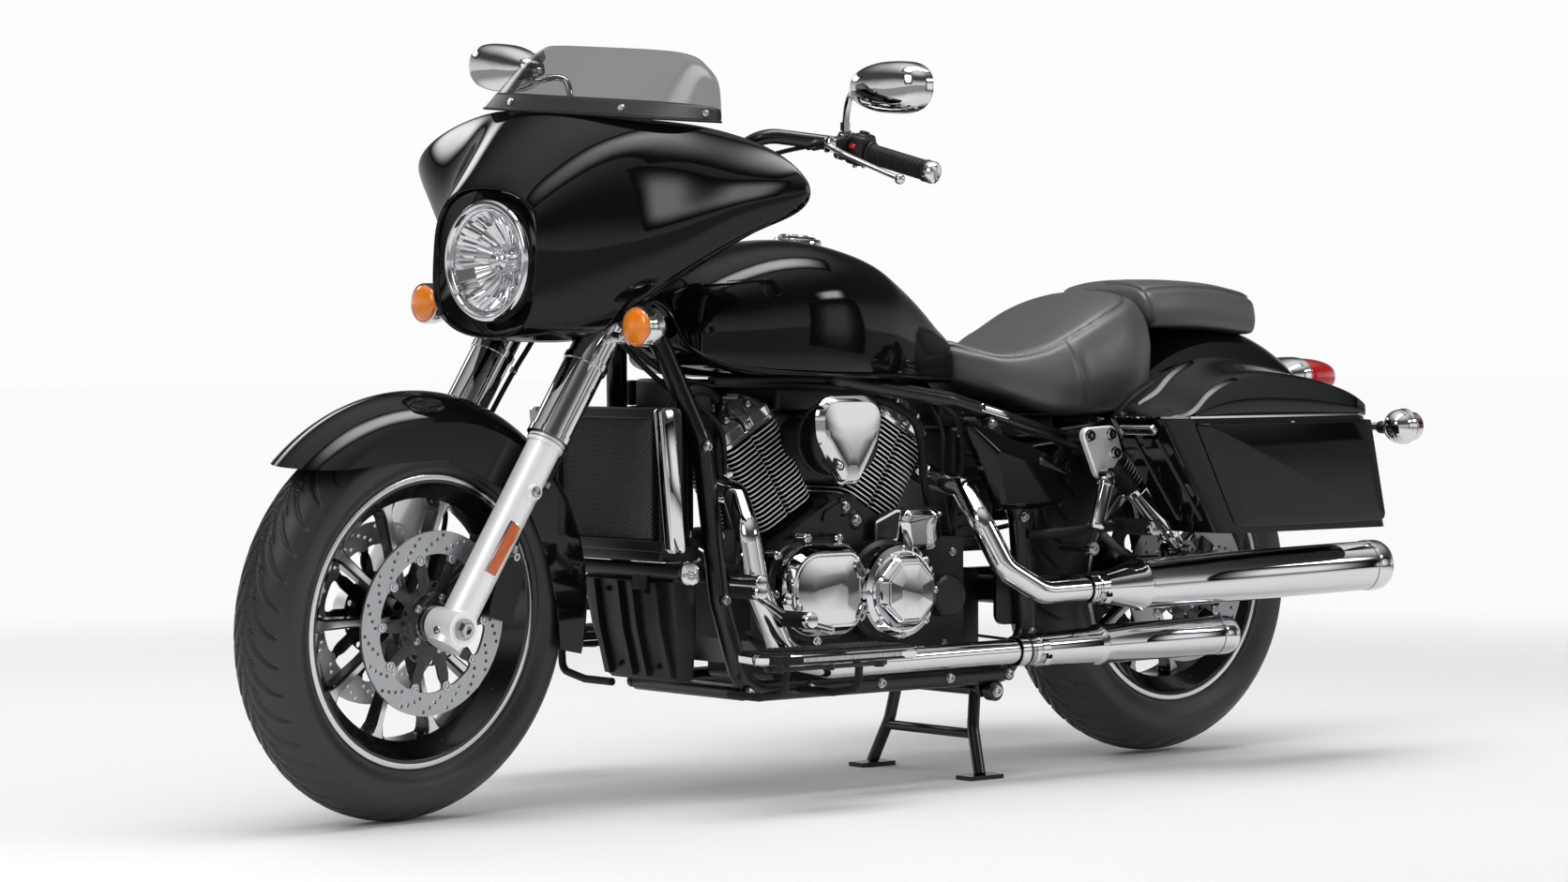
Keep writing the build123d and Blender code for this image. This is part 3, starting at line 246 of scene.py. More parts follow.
@dataclass(frozen=True)
class Hide(Finish):
    """Leather: fine cells of grain over soft creases."""

    def pattern(self, tree: bpy.types.NodeTree, shader: bpy.types.Node, place: bpy.types.NodeSocket) -> None:
        """Pebbled grain from small cells, and a slow drift of gloss.

        Args:
            tree: The material's nodes.
            shader: Its principled shader.
            place: Object coordinates, in metres.
        """
        cells = add_node(tree, "TexVoronoi", {"Scale": 1000 / self.grain_mm}, {"Vector": place})
        creases = add_node(tree, "TexNoise", {"Scale": 22.0, "Detail": 6.0}, {"Vector": place})
        both = add_node(tree, "Math", {"operation": "MULTIPLY_ADD", 1: 0.5},
            {0: cells.outputs["Distance"], 2: creases.outputs["Fac"]})
        self.relief(tree, shader, both.outputs["Value"], 0.45)
        self.gloss(tree, shader, creases.outputs["Fac"])


@dataclass(frozen=True)
class Brushed(Finish):
    """Metal with the fine lines of a lathe or a belt, drawn along one axis."""

    across: tuple[float, float, float] = (1.0, 12.0, 12.0)

    def pattern(self, tree: bpy.types.NodeTree, shader: bpy.types.Node, place: bpy.types.NodeSocket) -> None:
        """Stretched noise gives lines; the roughness follows them.

        Args:
            tree: The material's nodes.
            shader: Its principled shader.
            place: Object coordinates, in metres.
        """
        stretch = add_node(tree, "Mapping", {"Scale": self.across}, {"Vector": place})
        lines = add_node(tree, "TexNoise", {"Scale": 1000 / self.grain_mm / 12, "Detail": 3.0},
            {"Vector": stretch.outputs["Vector"]})
        self.gloss(tree, shader, lines.outputs["Fac"])
        self.relief(tree, shader, lines.outputs["Fac"], 0.3)


@dataclass(frozen=True)
class Mesh(Finish):
    """A radiator core: rows of fine folded fins between flat tubes, with painted shade in the gaps between
    them.
    """

    grain_depth: float = 1.5
    row_mm: float = 9.0
    fin_mm: float = 3.2
    tube_colour: str = "232325"

    def pattern(self, tree: bpy.types.NodeTree, shader: bpy.types.Node, place: bpy.types.NodeSocket) -> None:
        """Bands across and fins along, in the core's own plane; the gaps between them take the darker colour as
        painted shade of the core's depth, the tubes and fins the lighter one.

        Args:
            tree: The material's nodes.
            shader: Its principled shader.
            place: Object coordinates, in metres.
        """
        split = add_node(tree, "SeparateXYZ", links={"Vector": place})
        waves = []
        for socket, pitch in (("Y", self.row_mm), ("Z", self.fin_mm)):
            turn = add_node(tree, "Math", {"operation": "MULTIPLY", 1: 2000 * math.pi / pitch},
                {0: split.outputs[socket]})
            waves.append(add_node(tree, "Math", {"operation": "SINE"}, {0: turn.outputs["Value"]}))
        both = add_node(tree, "Math", {"operation": "MAXIMUM"},
            {0: waves[0].outputs["Value"], 1: waves[1].outputs["Value"]})
        # Painted shade: where neither tube band nor fin lies, the darker colour stands for the shade deep
        # between the fins
        shade = add_node(tree, "Mix", {"data_type": "RGBA", 6: linear(self.colour),
            7: linear(self.tube_colour)}, {0: both.outputs["Value"]})
        tree.links.new(shade.outputs[2], shader.inputs["Base Color"])
        self.relief(tree, shader, both.outputs["Value"], 0.9)


# Enamel under clear lacquer: near black, mirror-like from the lacquer alone
GLOSS_PAINT = Finish("lacquered_black_enamel", "0A0A0B", Slot.GLOSS_BLACK, roughness=0.3, specular=0.0,
    coat=0.62, coat_roughness=0.05, wear=0.02)
# Frame enamel: one coat, a little softer than the bodywork
FRAME_PAINT = Finish("frame_enamel", "070708", Slot.FRAME_BLACK, roughness=0.3, specular=0.35, coat=0.3,
    coat_roughness=0.12, wear=0.05)
# Decorative chrome plate
CHROME = Finish("chrome_plate", "D9DADC", Slot.CHROME, metallic=1.0, roughness=0.045, wear=0.015)
# Clear-anodised, fine-brushed fork sliders
SATIN = Brushed("satin_anodised_aluminium", "F2F2F3", Slot.SATIN_ALUMINIUM, metallic=0.4, roughness=0.34,
    grain_mm=0.7, grain_depth=0.02)
# Diamond-cut aluminium: spoke faces and rim lips
CUT = Brushed("diamond_cut_aluminium", "D6D8DA", Slot.SATIN_ALUMINIUM, metallic=1.0, roughness=0.24,
    grain_mm=0.5, grain_depth=0.01)
# Powder-coated castings: eggshell black with a fine orange peel
POWDER = Finish("black_powder_coat", "0B0B0C", Slot.ENGINE_BLACK, roughness=0.36, specular=0.4, grain_mm=1.2,
    grain_depth=0.05)
# Cast wheel enamel, glossier than the engine's coat
WHEEL_PAINT = Finish("black_wheel_enamel", "070708", Slot.ENGINE_BLACK, roughness=0.2, specular=0.4, coat=0.4,
    coat_roughness=0.05, wear=0.04)
# Moulded ABS and nylon
ABS = Finish("moulded_black_abs", "0D0D0E", Slot.BLACK_PLASTIC, roughness=0.46, specular=0.4, grain_mm=0.9,
    grain_depth=0.04)
RUBBER = Finish("moulded_rubber", "0C0C0D", Slot.RUBBER, roughness=0.6, specular=0.35, grain_mm=1.5,
    grain_depth=0.06)
TYRE = Finish("tyre_compound", "1B1B1C", Slot.TYRE, roughness=0.46, specular=0.62, grain_mm=1.6,
    grain_depth=0.04)
LEATHER = Hide("saddle_leather", "3C3C3F", Slot.LEATHER, roughness=0.44, specular=0.9, grain_mm=1.6,
    grain_depth=0.3, wear=0.07)
# Machined fin edges and cast chrome, a little softer than plate
FIN_EDGE = Finish("machined_fin_edge", "F4F5F6", Slot.SATIN_ALUMINIUM, metallic=0.25, roughness=0.38,
    wear=0.02)
CAST_CHROME = Finish("cast_chrome", "E4E5E7", Slot.CHROME, metallic=0.9, roughness=0.1, wear=0.02)
GUARD = Finish("zinc_grey_wire", "6A6B6E", Slot.BLACK_PLASTIC, metallic=0.2, roughness=0.5)
THREAD = Finish("bonded_black_thread", "1E1E20", Slot.LEATHER, roughness=0.6, grain_mm=0.4, grain_depth=0.05)
STEEL = Brushed("stainless_disc_steel", "AEB0B2", Slot.DISC, metallic=1.0, roughness=0.3, grain_mm=0.8,
    grain_depth=0.02)
BOLT = Finish("zinc_plated_steel", "B9BBBE", Slot.DISC, metallic=1.0, roughness=0.2, wear=0.05)
DARK_STEEL = Finish("blackened_steel", "1C1C1E", Slot.DISC, metallic=1.0, roughness=0.35, wear=0.05)
SMOKE = Glass("smoked_acrylic", "222226", Slot.SCREEN, roughness=0.03, specular=0.3, alpha=0.52)
CLEAR = Glass("clear_polycarbonate", "F6F8FA", Slot.LENS, roughness=0.01, alpha=0.07)
RED = Finish("red_lens_acrylic", "A30F12", Slot.RED_LENS, roughness=0.12, coat=1.0, wear=0.02)
AMBER = Finish("amber_lens_acrylic", "E07A08", Slot.LENS, roughness=0.12, coat=1.0, wear=0.02, grain_mm=5.0,
    grain_depth=1.2)
ORANGE = Finish("orange_reflector", "B4541A", Slot.RED_LENS, roughness=0.25, coat=0.8, grain_mm=2.4,
    grain_depth=0.5)
# Radiator core: tubes and fins in 232325, the gaps between them 050505 as painted shade of the core's depth
CORE = Mesh("radiator_core", "050505", Slot.BLACK_PLASTIC, roughness=0.5)

NODE_FINISHES: dict[Slot, Finish] = {Slot.GLOSS_BLACK: GLOSS_PAINT, Slot.FRAME_BLACK: FRAME_PAINT,
    Slot.CHROME: CHROME, Slot.SATIN_ALUMINIUM: SATIN, Slot.ENGINE_BLACK: POWDER, Slot.BLACK_PLASTIC: ABS,
    Slot.TYRE: TYRE, Slot.RUBBER: RUBBER, Slot.LEATHER: LEATHER, Slot.DISC: STEEL, Slot.SCREEN: SMOKE,
    Slot.LENS: CLEAR, Slot.RED_LENS: RED}


# ---------------------------------------------------------------- shaping
def basis(at: Sequence[float], out: Sequence[float], ahead: Sequence[float] = (1, 0, 0)) -> Matrix:
    """A frame whose z leaves a surface.

    Args:
        at: Its origin, in millimetres.
        out: Its z axis.
        ahead: Roughly its x axis.

    Returns:
        The frame as a matrix, in metres.
    """
    z = Vector(out).normalized()
    y = z.cross(Vector(ahead)).normalized()
    x = y.cross(z)
    made = Matrix((x, y, z)).transposed().to_4x4()
    made.translation = Vector(at) * MM
    return made


def moved(x: float, y: float, z: float) -> Matrix:
    """A move by millimetres."""
    return Matrix.Translation(Vector((x, y, z)) * MM)


def side_view(y: float = 0.0, side: int = 1) -> Matrix:
    """The frame of a side, at y millimetres: x forward, y up, z out to the left or the right."""
    return Matrix(((1, 0, 0, 0), (0, 0, side, y * side * MM), (0, 1, 0, 0), (0, 0, 0, 1)))


def polar(radius: float, angle: float, at: Sequence[float] = (0, 0)) -> tuple[float, float]:
    """A point at a radius and an angle from a middle."""
    return (at[0] + radius * math.cos(angle), at[1] + radius * math.sin(angle))


def dome(radius: float, foot: float, rise: float, steps: int) -> list[tuple[float, float]]:
    """A lens's profile, a quarter round from its rim up to its crown."""
    angles = (math.pi / 2 * i / steps for i in range(steps, 0, -1))
    return [(radius * math.sin(a), foot + rise * math.cos(a)) for a in angles] + [(0, foot + rise)]


class Shape:
    """A mesh in the making, in metres; sizes given to its methods are millimetres."""

    home = Body.CHASSIS

    def __init__(self, turn: Matrix | None = None) -> None:
        """Starts an empty mesh whose parts are placed in a frame.

        Args:
            turn: The frame, the world's own when left out.
        """
        self.bm = bmesh.new()
        self.turn = turn or Matrix()

    def place(self, verts: Iterable[bmesh.types.BMVert], matrix: Matrix) -> None:
        """Moves vertices by a matrix, in the mesh's own frame."""
        bmesh.ops.transform(self.bm, matrix=self.turn @ matrix, verts=list(verts))

    def rod(self, start: Sequence[float], end: Sequence[float], radius: float,
            end_radius: float | None = None, sides: int = 28) -> None:
        """A round bar or cone between two points.

        Args:
            start: One end, in millimetres.
            end: The other.
            radius: Its radius at the start.
            end_radius: Its radius at the end, the same when left out.
            sides: How many faces go round.
        """
        a, b = Vector(start) * MM, Vector(end) * MM
        run = b - a
        made = bmesh.ops.create_cone(self.bm, cap_ends=True, segments=sides, radius1=radius * MM,
            radius2=(radius if end_radius is None else end_radius) * MM, depth=run.length)
        ahead = Vector((1, 0, 0)) if abs(run.normalized().x) < 0.9 else Vector((0, 0, 1))
        frame = basis((0, 0, 0), run, ahead)
        frame.translation = (a + b) / 2
        self.place(made["verts"], frame)

    def ball(self, at: Sequence[float], radius: float) -> None:
        """A ball about a point."""
        made = bmesh.ops.create_uvsphere(self.bm, u_segments=28, v_segments=16, radius=radius * MM)
        self.place(made["verts"], moved(*at))

    def block(self, at: Matrix, size: Point, bevel: float = 1.5, segments: int = 2) -> None:
        """A box with rounded edges, centred on a frame.

        Args:
            at: The frame, in metres.
            size: Its lengths in millimetres.
            bevel: The edges' radius.
            segments: Faces across each rounded edge.
        """
        made = bmesh.ops.create_cube(self.bm, size=1.0)
        self.place(made["verts"], at @ Matrix.Diagonal((*(s * MM for s in size), 1)))
        edges = list({e for v in made["verts"] for e in v.link_edges})
        bmesh.ops.bevel(self.bm, geom=edges, offset=bevel * MM, segments=segments, profile=0.5,
            affect="EDGES", material=-1, offset_type="OFFSET")

    def lathe(self, profile: Outline, at: Matrix, steps: int = 72) -> None:
        """Turns a profile about a frame's z axis.

        Args:
            profile: Radius and height pairs, in millimetres.
            at: The frame.
            steps: How many faces go round.
        """
        parts = max(1, steps // 60)
        sector = bmesh.new()
        verts = [sector.verts.new(Vector((r, 0, h)) * MM) for r, h in profile]
        edges = [sector.edges.new(pair) for pair in zip(verts, verts[1:])]
        bmesh.ops.spin(sector, geom=verts + edges, cent=(0, 0, 0), axis=(0, 0, 1), angle=math.tau / parts,
            steps=steps // parts, use_merge=parts == 1)
        mesh = bpy.data.meshes.new("sector")
        sector.to_mesh(mesh)
        sector.free()
        mesh.transform(self.turn @ at)
        step = self.turn @ at @ Matrix.Rotation(math.tau / parts, 4, "Z") @ (self.turn @ at).inverted()
        for _ in range(parts):
            self.bm.from_mesh(mesh)
            mesh.transform(step)
        bpy.data.meshes.remove(mesh)

    def plate(self, outline: Outline, at: Matrix, depth: float, holes: Sequence[Outline] = (),
            bevel: float = 0.0) -> None:
        """A flat plate with holes, its front at the frame's plane and its depth behind.

        Args:
            outline: Its edge, in millimetres.
            at: The frame.
            depth: Its thickness.
            holes: Outlines cut through it.
            bevel: The outer edges' radius at the front.
        """
        start = len(self.bm.verts)
        edges = []
        for loop in (outline, *holes):
            verts = [self.bm.verts.new(Vector((x, y, 0)) * MM) for x, y in loop]
            edges += [self.bm.edges.new((a, b)) for a, b in zip(verts, verts[1:] + verts[:1])]
        filled = bmesh.ops.triangle_fill(self.bm, use_beauty=True, use_dissolve=False, edges=edges,
            normal=(0, 0, 1))
        faces = [f for f in filled["geom"] if isinstance(f, bmesh.types.BMFace)]
        pushed = bmesh.ops.extrude_face_region(self.bm, geom=faces)
        back = [v for v in pushed["geom"] if isinstance(v, bmesh.types.BMVert)]
        bmesh.ops.translate(self.bm, verts=back, vec=(0, 0, -depth * MM))
        self.bm.verts.ensure_lookup_table()
        whole = self.bm.verts[start:]
        if bevel:
            front = [e for e in {e for v in whole for e in v.link_edges}
                if all(abs(v.co.z) < 1e-7 for v in e.verts) and len(e.link_faces) == 2
                and any(abs(f.normal.z) < 0.5 for f in e.link_faces)]
            for face in {f for v in whole for f in v.link_faces}:
                face.normal_update()
            front = [e for e in front if abs(e.link_faces[0].normal.dot(e.link_faces[1].normal)) < 0.5]
            bmesh.ops.bevel(self.bm, geom=front, offset=bevel * MM, segments=3, profile=0.5, affect="EDGES",
                material=-1, offset_type="OFFSET")
            self.bm.verts.ensure_lookup_table()
            whole = self.bm.verts[start:]
        self.place(whole, at)

    def loft(self, rings: Sequence[Sequence[Sequence[float]]], closed: bool = True,
            caps: bool = True) -> None:
        """Skins rings of points, in millimetres.

        Args:
            rings: Equal rings, in order.
            closed: Whether each ring joins up.
            caps: Whether the ends are filled.
        """
        rows = [[self.bm.verts.new(self.turn @ (Vector(p) * MM)) for p in ring] for ring in rings]
        for a, b in zip(rows, rows[1:]):
            last = len(a) if closed else len(a) - 1
            for i in range(last):
                j = (i + 1) % len(a)
                self.bm.faces.new((a[i], a[j], b[j], b[i]))
        if caps and closed:
            self.bm.faces.new(rows[0][::-1])
            self.bm.faces.new(rows[-1])

    def hose(self, points: Sequence[Sequence[float]], radius: float, sides: int = 6) -> None:
        """A round hose or rod on a smooth curve through its points.

        Args:
            points: Where it goes, in millimetres.
            radius: Its radius.
            sides: The curve's bevel resolution.
        """
        data = bpy.data.curves.new("route", "CURVE")
        data.dimensions = "3D"
        line = data.splines.new("NURBS")
        line.points.add(len(points) - 1)
        for knot, p in zip(line.points, points):
            knot.co = (*(self.turn @ (Vector(p) * MM)), 1)
        line.order_u = 3
        line.use_endpoint_u = True
        line.resolution_u = 8
        data.bevel_depth = radius * MM
        data.bevel_resolution = sides
        data.use_fill_caps = True
        holder = bpy.data.objects.new("route", data)
        mesh = bpy.data.meshes.new_from_object(holder)
        self.bm.from_mesh(mesh)
        bpy.data.objects.remove(holder)
        bpy.data.curves.remove(data)
        bpy.data.meshes.remove(mesh)

    def screw(self, at: Matrix, radius: float = 5.0, height: float = 4.0, domed: bool = True) -> None:
        """A socket screw's head: washer, round head and hex recess.

        Args:
            at: A frame on the surface, its z outwards.
            radius: The head's radius.
            height: How far it stands out.
            domed: Whether its top is rounded.
        """
        crown = height * (0.75 if domed else 1.0)
        self.lathe(((radius * 1.25, -0.5), (radius * 1.25, 0.7), (radius, 0.8), (radius, crown),
            (radius * 0.82, height), (radius * 0.5, height), (radius * 0.42, height * 0.45),
            (0, height * 0.4)), at, steps=14)

    def mirrored(self) -> "Shape":
        """Adds the same geometry mirrored to the other side, and returns the shape.

        Returns:
            The shape itself.
        """
        bmesh.ops.mirror(self.bm, geom=self.bm.verts[:] + self.bm.edges[:] + self.bm.faces[:], axis="Y",
            merge_dist=-1.0, matrix=self.turn.inverted())
        return self

    def finish(self, name: str, finish: Finish, body: Body | None = None, sharp: float = 38.0,
            outward: bool = True, replaces: Sequence[str] = (), bevel: float = 0.0, smooth: int = 0,
            wall: float = 0.0) -> bpy.types.Object:
        """Ends the mesh as a piece of the machine.

        Args:
            name: The piece's name.
            finish: Its surface.
            body: The body that it rides on, the mesh's own when left out.
            sharp: The angle from which an edge stays sharp, in degrees.
            outward: Whether normals are worked out afresh.
            replaces: The nodes that it stands for.
            bevel: A rounded edge put on all sharp edges, in millimetres.
            smooth: Levels of subdivision.
            wall: A thickness given to an open sheet, in millimetres.

        Returns:
            The object.
        """
        bmesh.ops.remove_doubles(self.bm, verts=self.bm.verts[:], dist=1e-6)
        if outward:
            bmesh.ops.recalc_face_normals(self.bm, faces=self.bm.faces[:])
        limit = math.radians(sharp)
        rider = body or self.home
        for face in self.bm.faces:
            face.smooth = True
        for edge in self.bm.edges:
            edge.smooth = len(edge.link_faces) != 2 or edge.calc_face_angle(0.0) < limit
        mesh = bpy.data.meshes.new(name)
        self.bm.to_mesh(mesh)
        self.bm.free()
        made = bpy.data.objects.new(name, mesh)
        bpy.context.scene.collection.objects.link(made)
        mesh.materials.append(finish.material())
        if smooth:
            levels = made.modifiers.new("smooth", "SUBSURF")
            levels.levels = levels.render_levels = smooth
        if wall:
            thick = made.modifiers.new("wall", "SOLIDIFY")
            thick.thickness = wall * MM
            thick.offset = -1
        if bevel:
            edge = made.modifiers.new("edge", "BEVEL")
            edge.width = bevel * MM
            edge.segments = 2
            edge.limit_method = "ANGLE"
            edge.angle_limit = limit
        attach(made, rider.value)
        if replaces:
            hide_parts(*replaces)
        log.info("%s on %s: %d faces", name, rider.value, len(mesh.polygons))
        return made


def circle(radius: float, steps: int = 48, at: tuple[float, float] = (0, 0)) -> Outline:
    """A round outline in millimetres."""
    return [polar(radius, math.tau * i / steps, at) for i in range(steps)]


def rounded(width: float, height: float, corner: float, at: tuple[float, float] = (0, 0),
        steps: int = 8) -> Outline:
    """A rounded rectangle's outline.

    Args:
        width: Its width in millimetres.
        height: Its height.
        corner: Its corners' radius.
        at: Its middle.
        steps: Points to a corner.

    Returns:
        The outline, anticlockwise.
    """
    points = []
    for quarter, (sx, sy) in enumerate(((1, 1), (-1, 1), (-1, -1), (1, -1))):
        cx, cy = at[0] + sx * (width / 2 - corner), at[1] + sy * (height / 2 - corner)
        for i in range(steps + 1):
            a = math.pi / 2 * (quarter + i / steps)
            points.append(polar(corner, a, (cx, cy)))
    return points


# ---------------------------------------------------------------- the shared frames
@dataclass(frozen=True)
class Layout:
    """The solids' driving values that the pieces share, in millimetres."""

    front_axle: Point = (936.0, 0.0, 336.5)
    rear_axle: Point = (-770.0, 0.0, 330.0)
    rake: float = math.radians(32)
    steer: float = math.radians(9)
    axle_offset: float = 60.0
    leg_offset: float = 54.0
    leg_y: float = 115.0

    @property
    def up(self) -> Vector:
        """The steering axis."""
        return Vector((-math.sin(self.rake), 0, math.cos(self.rake)))

    @property
    def ahead(self) -> Vector:
        """Square to the steering axis, forward."""
        return Vector((math.cos(self.rake), 0, math.sin(self.rake)))

    @property
    def foot(self) -> Vector:
        """The steering axis' point level with the front axle, in millimetres."""
        return Vector(self.front_axle) - self.ahead * self.axle_offset

    @property
    def turned(self) -> Matrix:
        """How the parked front end stands to its straight-ahead place.

        Returns:
            The turn, in metres.
        """
        foot = self.foot * MM
        return (Matrix.Translation(foot) @ Matrix.Rotation(self.steer, 4, self.up)
            @ Matrix.Translation(-foot))

    def fork(self, up: float, ahead: float, side: float = 0.0) -> Vector:
        """A point of the straight-ahead fork, in millimetres.

        Args:
            up: Along the steering axis from the axle's level.
            ahead: In front of the axis.
            side: To the left.

        Returns:
            The point.
        """
        return self.foot + self.up * up + self.ahead * ahead + Vector((0, side, 0))


PLAN = Layout()


class Steered(Shape):
    """A mesh on the front end: made for the straight-ahead fork, and turned with it."""

    home = Body.STEERING

    def __init__(self) -> None:
        """Starts an empty mesh in the parked fork's frame."""
        super().__init__(PLAN.turned)


# ---------------------------------------------------------------- wheels
@dataclass
class Tyre:
    """A tubeless tyre: round crown, swept grooves cut into it, ribbed walls."""

    name: str
    node: str
    body: Body
    at: Matrix
    radius: float
    half_width: float
    rim_radius: float
    rim_half: float
    crown: float
    grooves: int = 42
    groove_depth: float = 5.2
    groove_width: float = 5.4
    steps: int = 1180

    def section(self) -> Outline:
        """The outer profile from bead to bead: radius and distance across, in millimetres.

        Returns:
            The profile.
        """
        shoulder_y = 0.80 * self.half_width
        shoulder_r = self.radius - self.crown + math.sqrt(self.crown**2 - shoulder_y**2)
        waist_y, waist_r = self.half_width - 0.4, 0.42 * self.radius + 0.58 * self.rim_radius
        half = []
        reach = math.asin(shoulder_y / self.crown)
        for i in range(23):
            a = reach * i / 22
            half.append((self.radius - self.crown + self.crown * math.cos(a) - 0.4, self.crown * math.sin(a)))
        knots = ((shoulder_r - 0.4, shoulder_y), (waist_r + 14, waist_y - 1.6), (waist_r, waist_y),
            (waist_r - 14, waist_y - 1.8), (self.rim_radius + 12, self.rim_half + 4),
            (self.rim_radius + 8, self.rim_half + 2.4), (self.rim_radius + 5, self.rim_half + 2.6),
            (self.rim_radius + 1.5, self.rim_half - 1.5), (self.rim_radius - 6, self.rim_half - 5))
        for (r0, y0), (r1, y1) in zip(knots, knots[1:]):
            half.append(((r0 + r1) / 2, (y0 + y1) / 2 + (0.9 if r0 > waist_r - 5 else 0.0)))
            half.append((r1, y1))
        return [(r, -y) for r, y in half[:0:-1]] + half

    def build(self) -> bpy.types.Object:
        """Turns the section and presses the grooves into it.

        Returns:
            The tyre.
        """
        shape = Shape()
        shape.lathe(self.section(), self.at, steps=self.steps // 60 * 60)
        bmesh.ops.remove_doubles(shape.bm, verts=shape.bm.verts[:], dist=1e-6)
        self.cut(shape)
        return shape.finish(self.name, TYRE, self.body, sharp=80, replaces=(self.node,))

    def cut(self, shape: Shape) -> None:
        """Moves the tread's vertices in along the swept grooves.

        Args:
            shape: The turned tyre.
        """
        inward = self.at.inverted()
        verts = list(shape.bm.verts)
        local = np.array([(inward @ v.co)[:] for v in verts]) / MM
        radius = np.hypot(local[:, 0], local[:, 1])
        angle = np.arctan2(local[:, 1], local[:, 0])
        across = local[:, 2] / (0.80 * self.half_width)
        pitch = math.tau / self.grooves
        depth = np.zeros(len(verts))
        for start, end, sweep, offset, width in ((0.16, 0.98, 1.75, 0.0, 1.0), (0.02, 0.42, 1.1, 0.5, 0.62)):
            share = np.clip((np.abs(across) - start) / (end - start), 0, 1)
            lie = pitch * (sweep * np.sqrt(share) + offset + 0.5 * (across > 0))
            away = (angle - lie + pitch / 2) % pitch - pitch / 2
            slope = sweep * pitch * 0.5 / np.sqrt(np.maximum(share, 0.03)) / (
                (end - start) * 0.8 * self.half_width)
            gap = np.abs(away) * radius / np.sqrt(1 + (slope * radius) ** 2)
            inside = (np.abs(across) > start) & (np.abs(across) < end)
            taper = np.clip(4.5 * np.minimum(share, 1 - share), 0.25, 1)
            cut = np.clip((width * self.groove_width * taper / 2 + 0.8 - gap) / 1.3, 0, 1) * inside
            depth = np.maximum(depth, cut * self.groove_depth * width)
        seam = np.clip((1.9 - np.abs(local[:, 2])) / 1.0, 0, 1)
        depth = np.maximum(depth, seam * 2.0) * (radius > self.rim_radius + 30)
        for vert, deep in zip(verts, depth):
            if deep > 0.01:
                centre = self.at @ Vector((0, 0, (inward @ vert.co).z))
                vert.co += (centre - vert.co).normalized() * (deep * MM)


@dataclass
class CastWheel:
    """A cast wheel: black barrel and spokes, diamond-cut faces and lip."""

    name: str
    node: str
    body: Body
    at: Matrix
    rim_radius: float
    rim_half: float
    hub_radius: float
    hub_half: float
    bore: float = 11.4
    spokes: int = 10
    spoke_depth: float = 17.0
    # Along the spoke from hub to rim, 0 to 1: half width in millimetres
    spoke_form: Outline = ((0.0, 13.0), (0.1, 9.0), (0.5, 8.0), (0.86, 9.5), (0.95, 15.0), (1.0, 26.0))

    def build(self) -> None:
        """The casting and its machined faces."""
        self.casting()
        self.machined()

    def casting(self) -> None:
        """The black barrel, spokes and hub."""
        r, w = self.rim_radius, self.rim_half
        well = r - 36
        shape = Shape()
        shape.lathe(((r - 1, w - 1), (r - 13, w - 4), (r - 14, w - 22), (well, w - 30), (well, 30 - w),
            (r - 14, 22 - w), (r - 13, 4 - w), (r - 1, 1 - w), (r - 14, -w + 2), (r - 22, 12 - w),
            (well - 6, 30 - w), (well - 8, 0), (well - 6, w - 30), (r - 22, w - 12), (r - 14, w - 2),
            (r - 1, w - 1)), self.at, steps=160)
        reach = well - 4 - self.hub_radius
        for i in range(self.spokes):
            turn = self.at @ Matrix.Rotation(math.tau * i / self.spokes, 4, "Z")
            rings = []
            for share, half in self.spoke_form:
                out = self.hub_radius - 4 + share * (reach + 4)
                deep = self.spoke_depth * (1.0 - 0.22 * math.sin(math.pi * share))
                edge = ((half, deep - 4), (half - 4, deep), (4 - half, deep), (-half, deep - 4),
                    (-half, 4 - deep), (4 - half, -deep), (half - 4, -deep), (half, 4 - deep))
                rings.append([(turn @ (Vector((out, a, b)) * MM)) / MM for a, b in edge])
            shape.loft(rings)
        h, b = self.hub_radius, self.bore
        shape.lathe(((b, self.hub_half - 1), (h - 12, self.hub_half - 1), (h - 10, self.hub_half - 4),
            (h - 6, self.spoke_depth + 8), (h, self.spoke_depth), (h + 5, 0), (h, -self.spoke_depth),
            (h - 6, -self.spoke_depth - 8), (h - 10, 4 - self.hub_half), (h - 12, 1 - self.hub_half),
            (b, 1 - self.hub_half), (b, self.hub_half - 1)), self.at, steps=64)
        shape.finish(self.name, WHEEL_PAINT, self.body, replaces=(self.node,), bevel=0.6)

    def machined(self) -> None:
        """The bright lip on both edges, and the bright faces of the spokes on both sides."""
        r, w = self.rim_radius, self.rim_half
        lip = Shape()
        for sign in (1, -1):
            lip.lathe([(a, sign * b) for a, b in ((r - 0.4, w - 4), (r + 0.2, w - 0.8), (r - 1.4, w),
                (r - 8.2, w - 0.6), (r - 8.6, w - 1.8), (r - 13, w - 2.2), (r - 14.5, w - 4.5),
                (r - 15, w - 8))], self.at, steps=160)
        lip.finish(self.name + "_lip", CUT, self.body)
        faces = Shape()
        well = self.rim_radius - 36
        reach = well - 4 - self.hub_radius
        for i in range(self.spokes):
            for sign in (1, -1):
                turn = self.at @ Matrix.Rotation(math.tau * i / self.spokes, 4, "Z")
                rings = []
                for share, half in self.spoke_form[:-1] + ((0.985, 21.0),):
                    out = self.hub_radius + 8 + max(share, 0.03) * (reach - 8)
                    deep = self.spoke_depth * (1.0 - 0.22 * math.sin(math.pi * share))
                    cut = max(3.2, half * 0.62)
                    rings.append([(turn @ (Vector((out, a, sign * b)) * MM)) / MM
                        for a, b in ((cut, deep - 0.6), (cut - 0.6, deep + 0.5), (0.6 - cut, deep + 0.5),
                        (-cut, deep - 0.6))])
                faces.loft(rings)
                pad = turn @ moved(well + 4, 0, sign * (self.rim_half - 27))
                faces.block(pad @ Matrix.Rotation(-sign * math.radians(62), 4, "Y"), (20, 17, 3), bevel=1.0)
        faces.finish(self.name + "_spoke_faces", CUT, self.body)


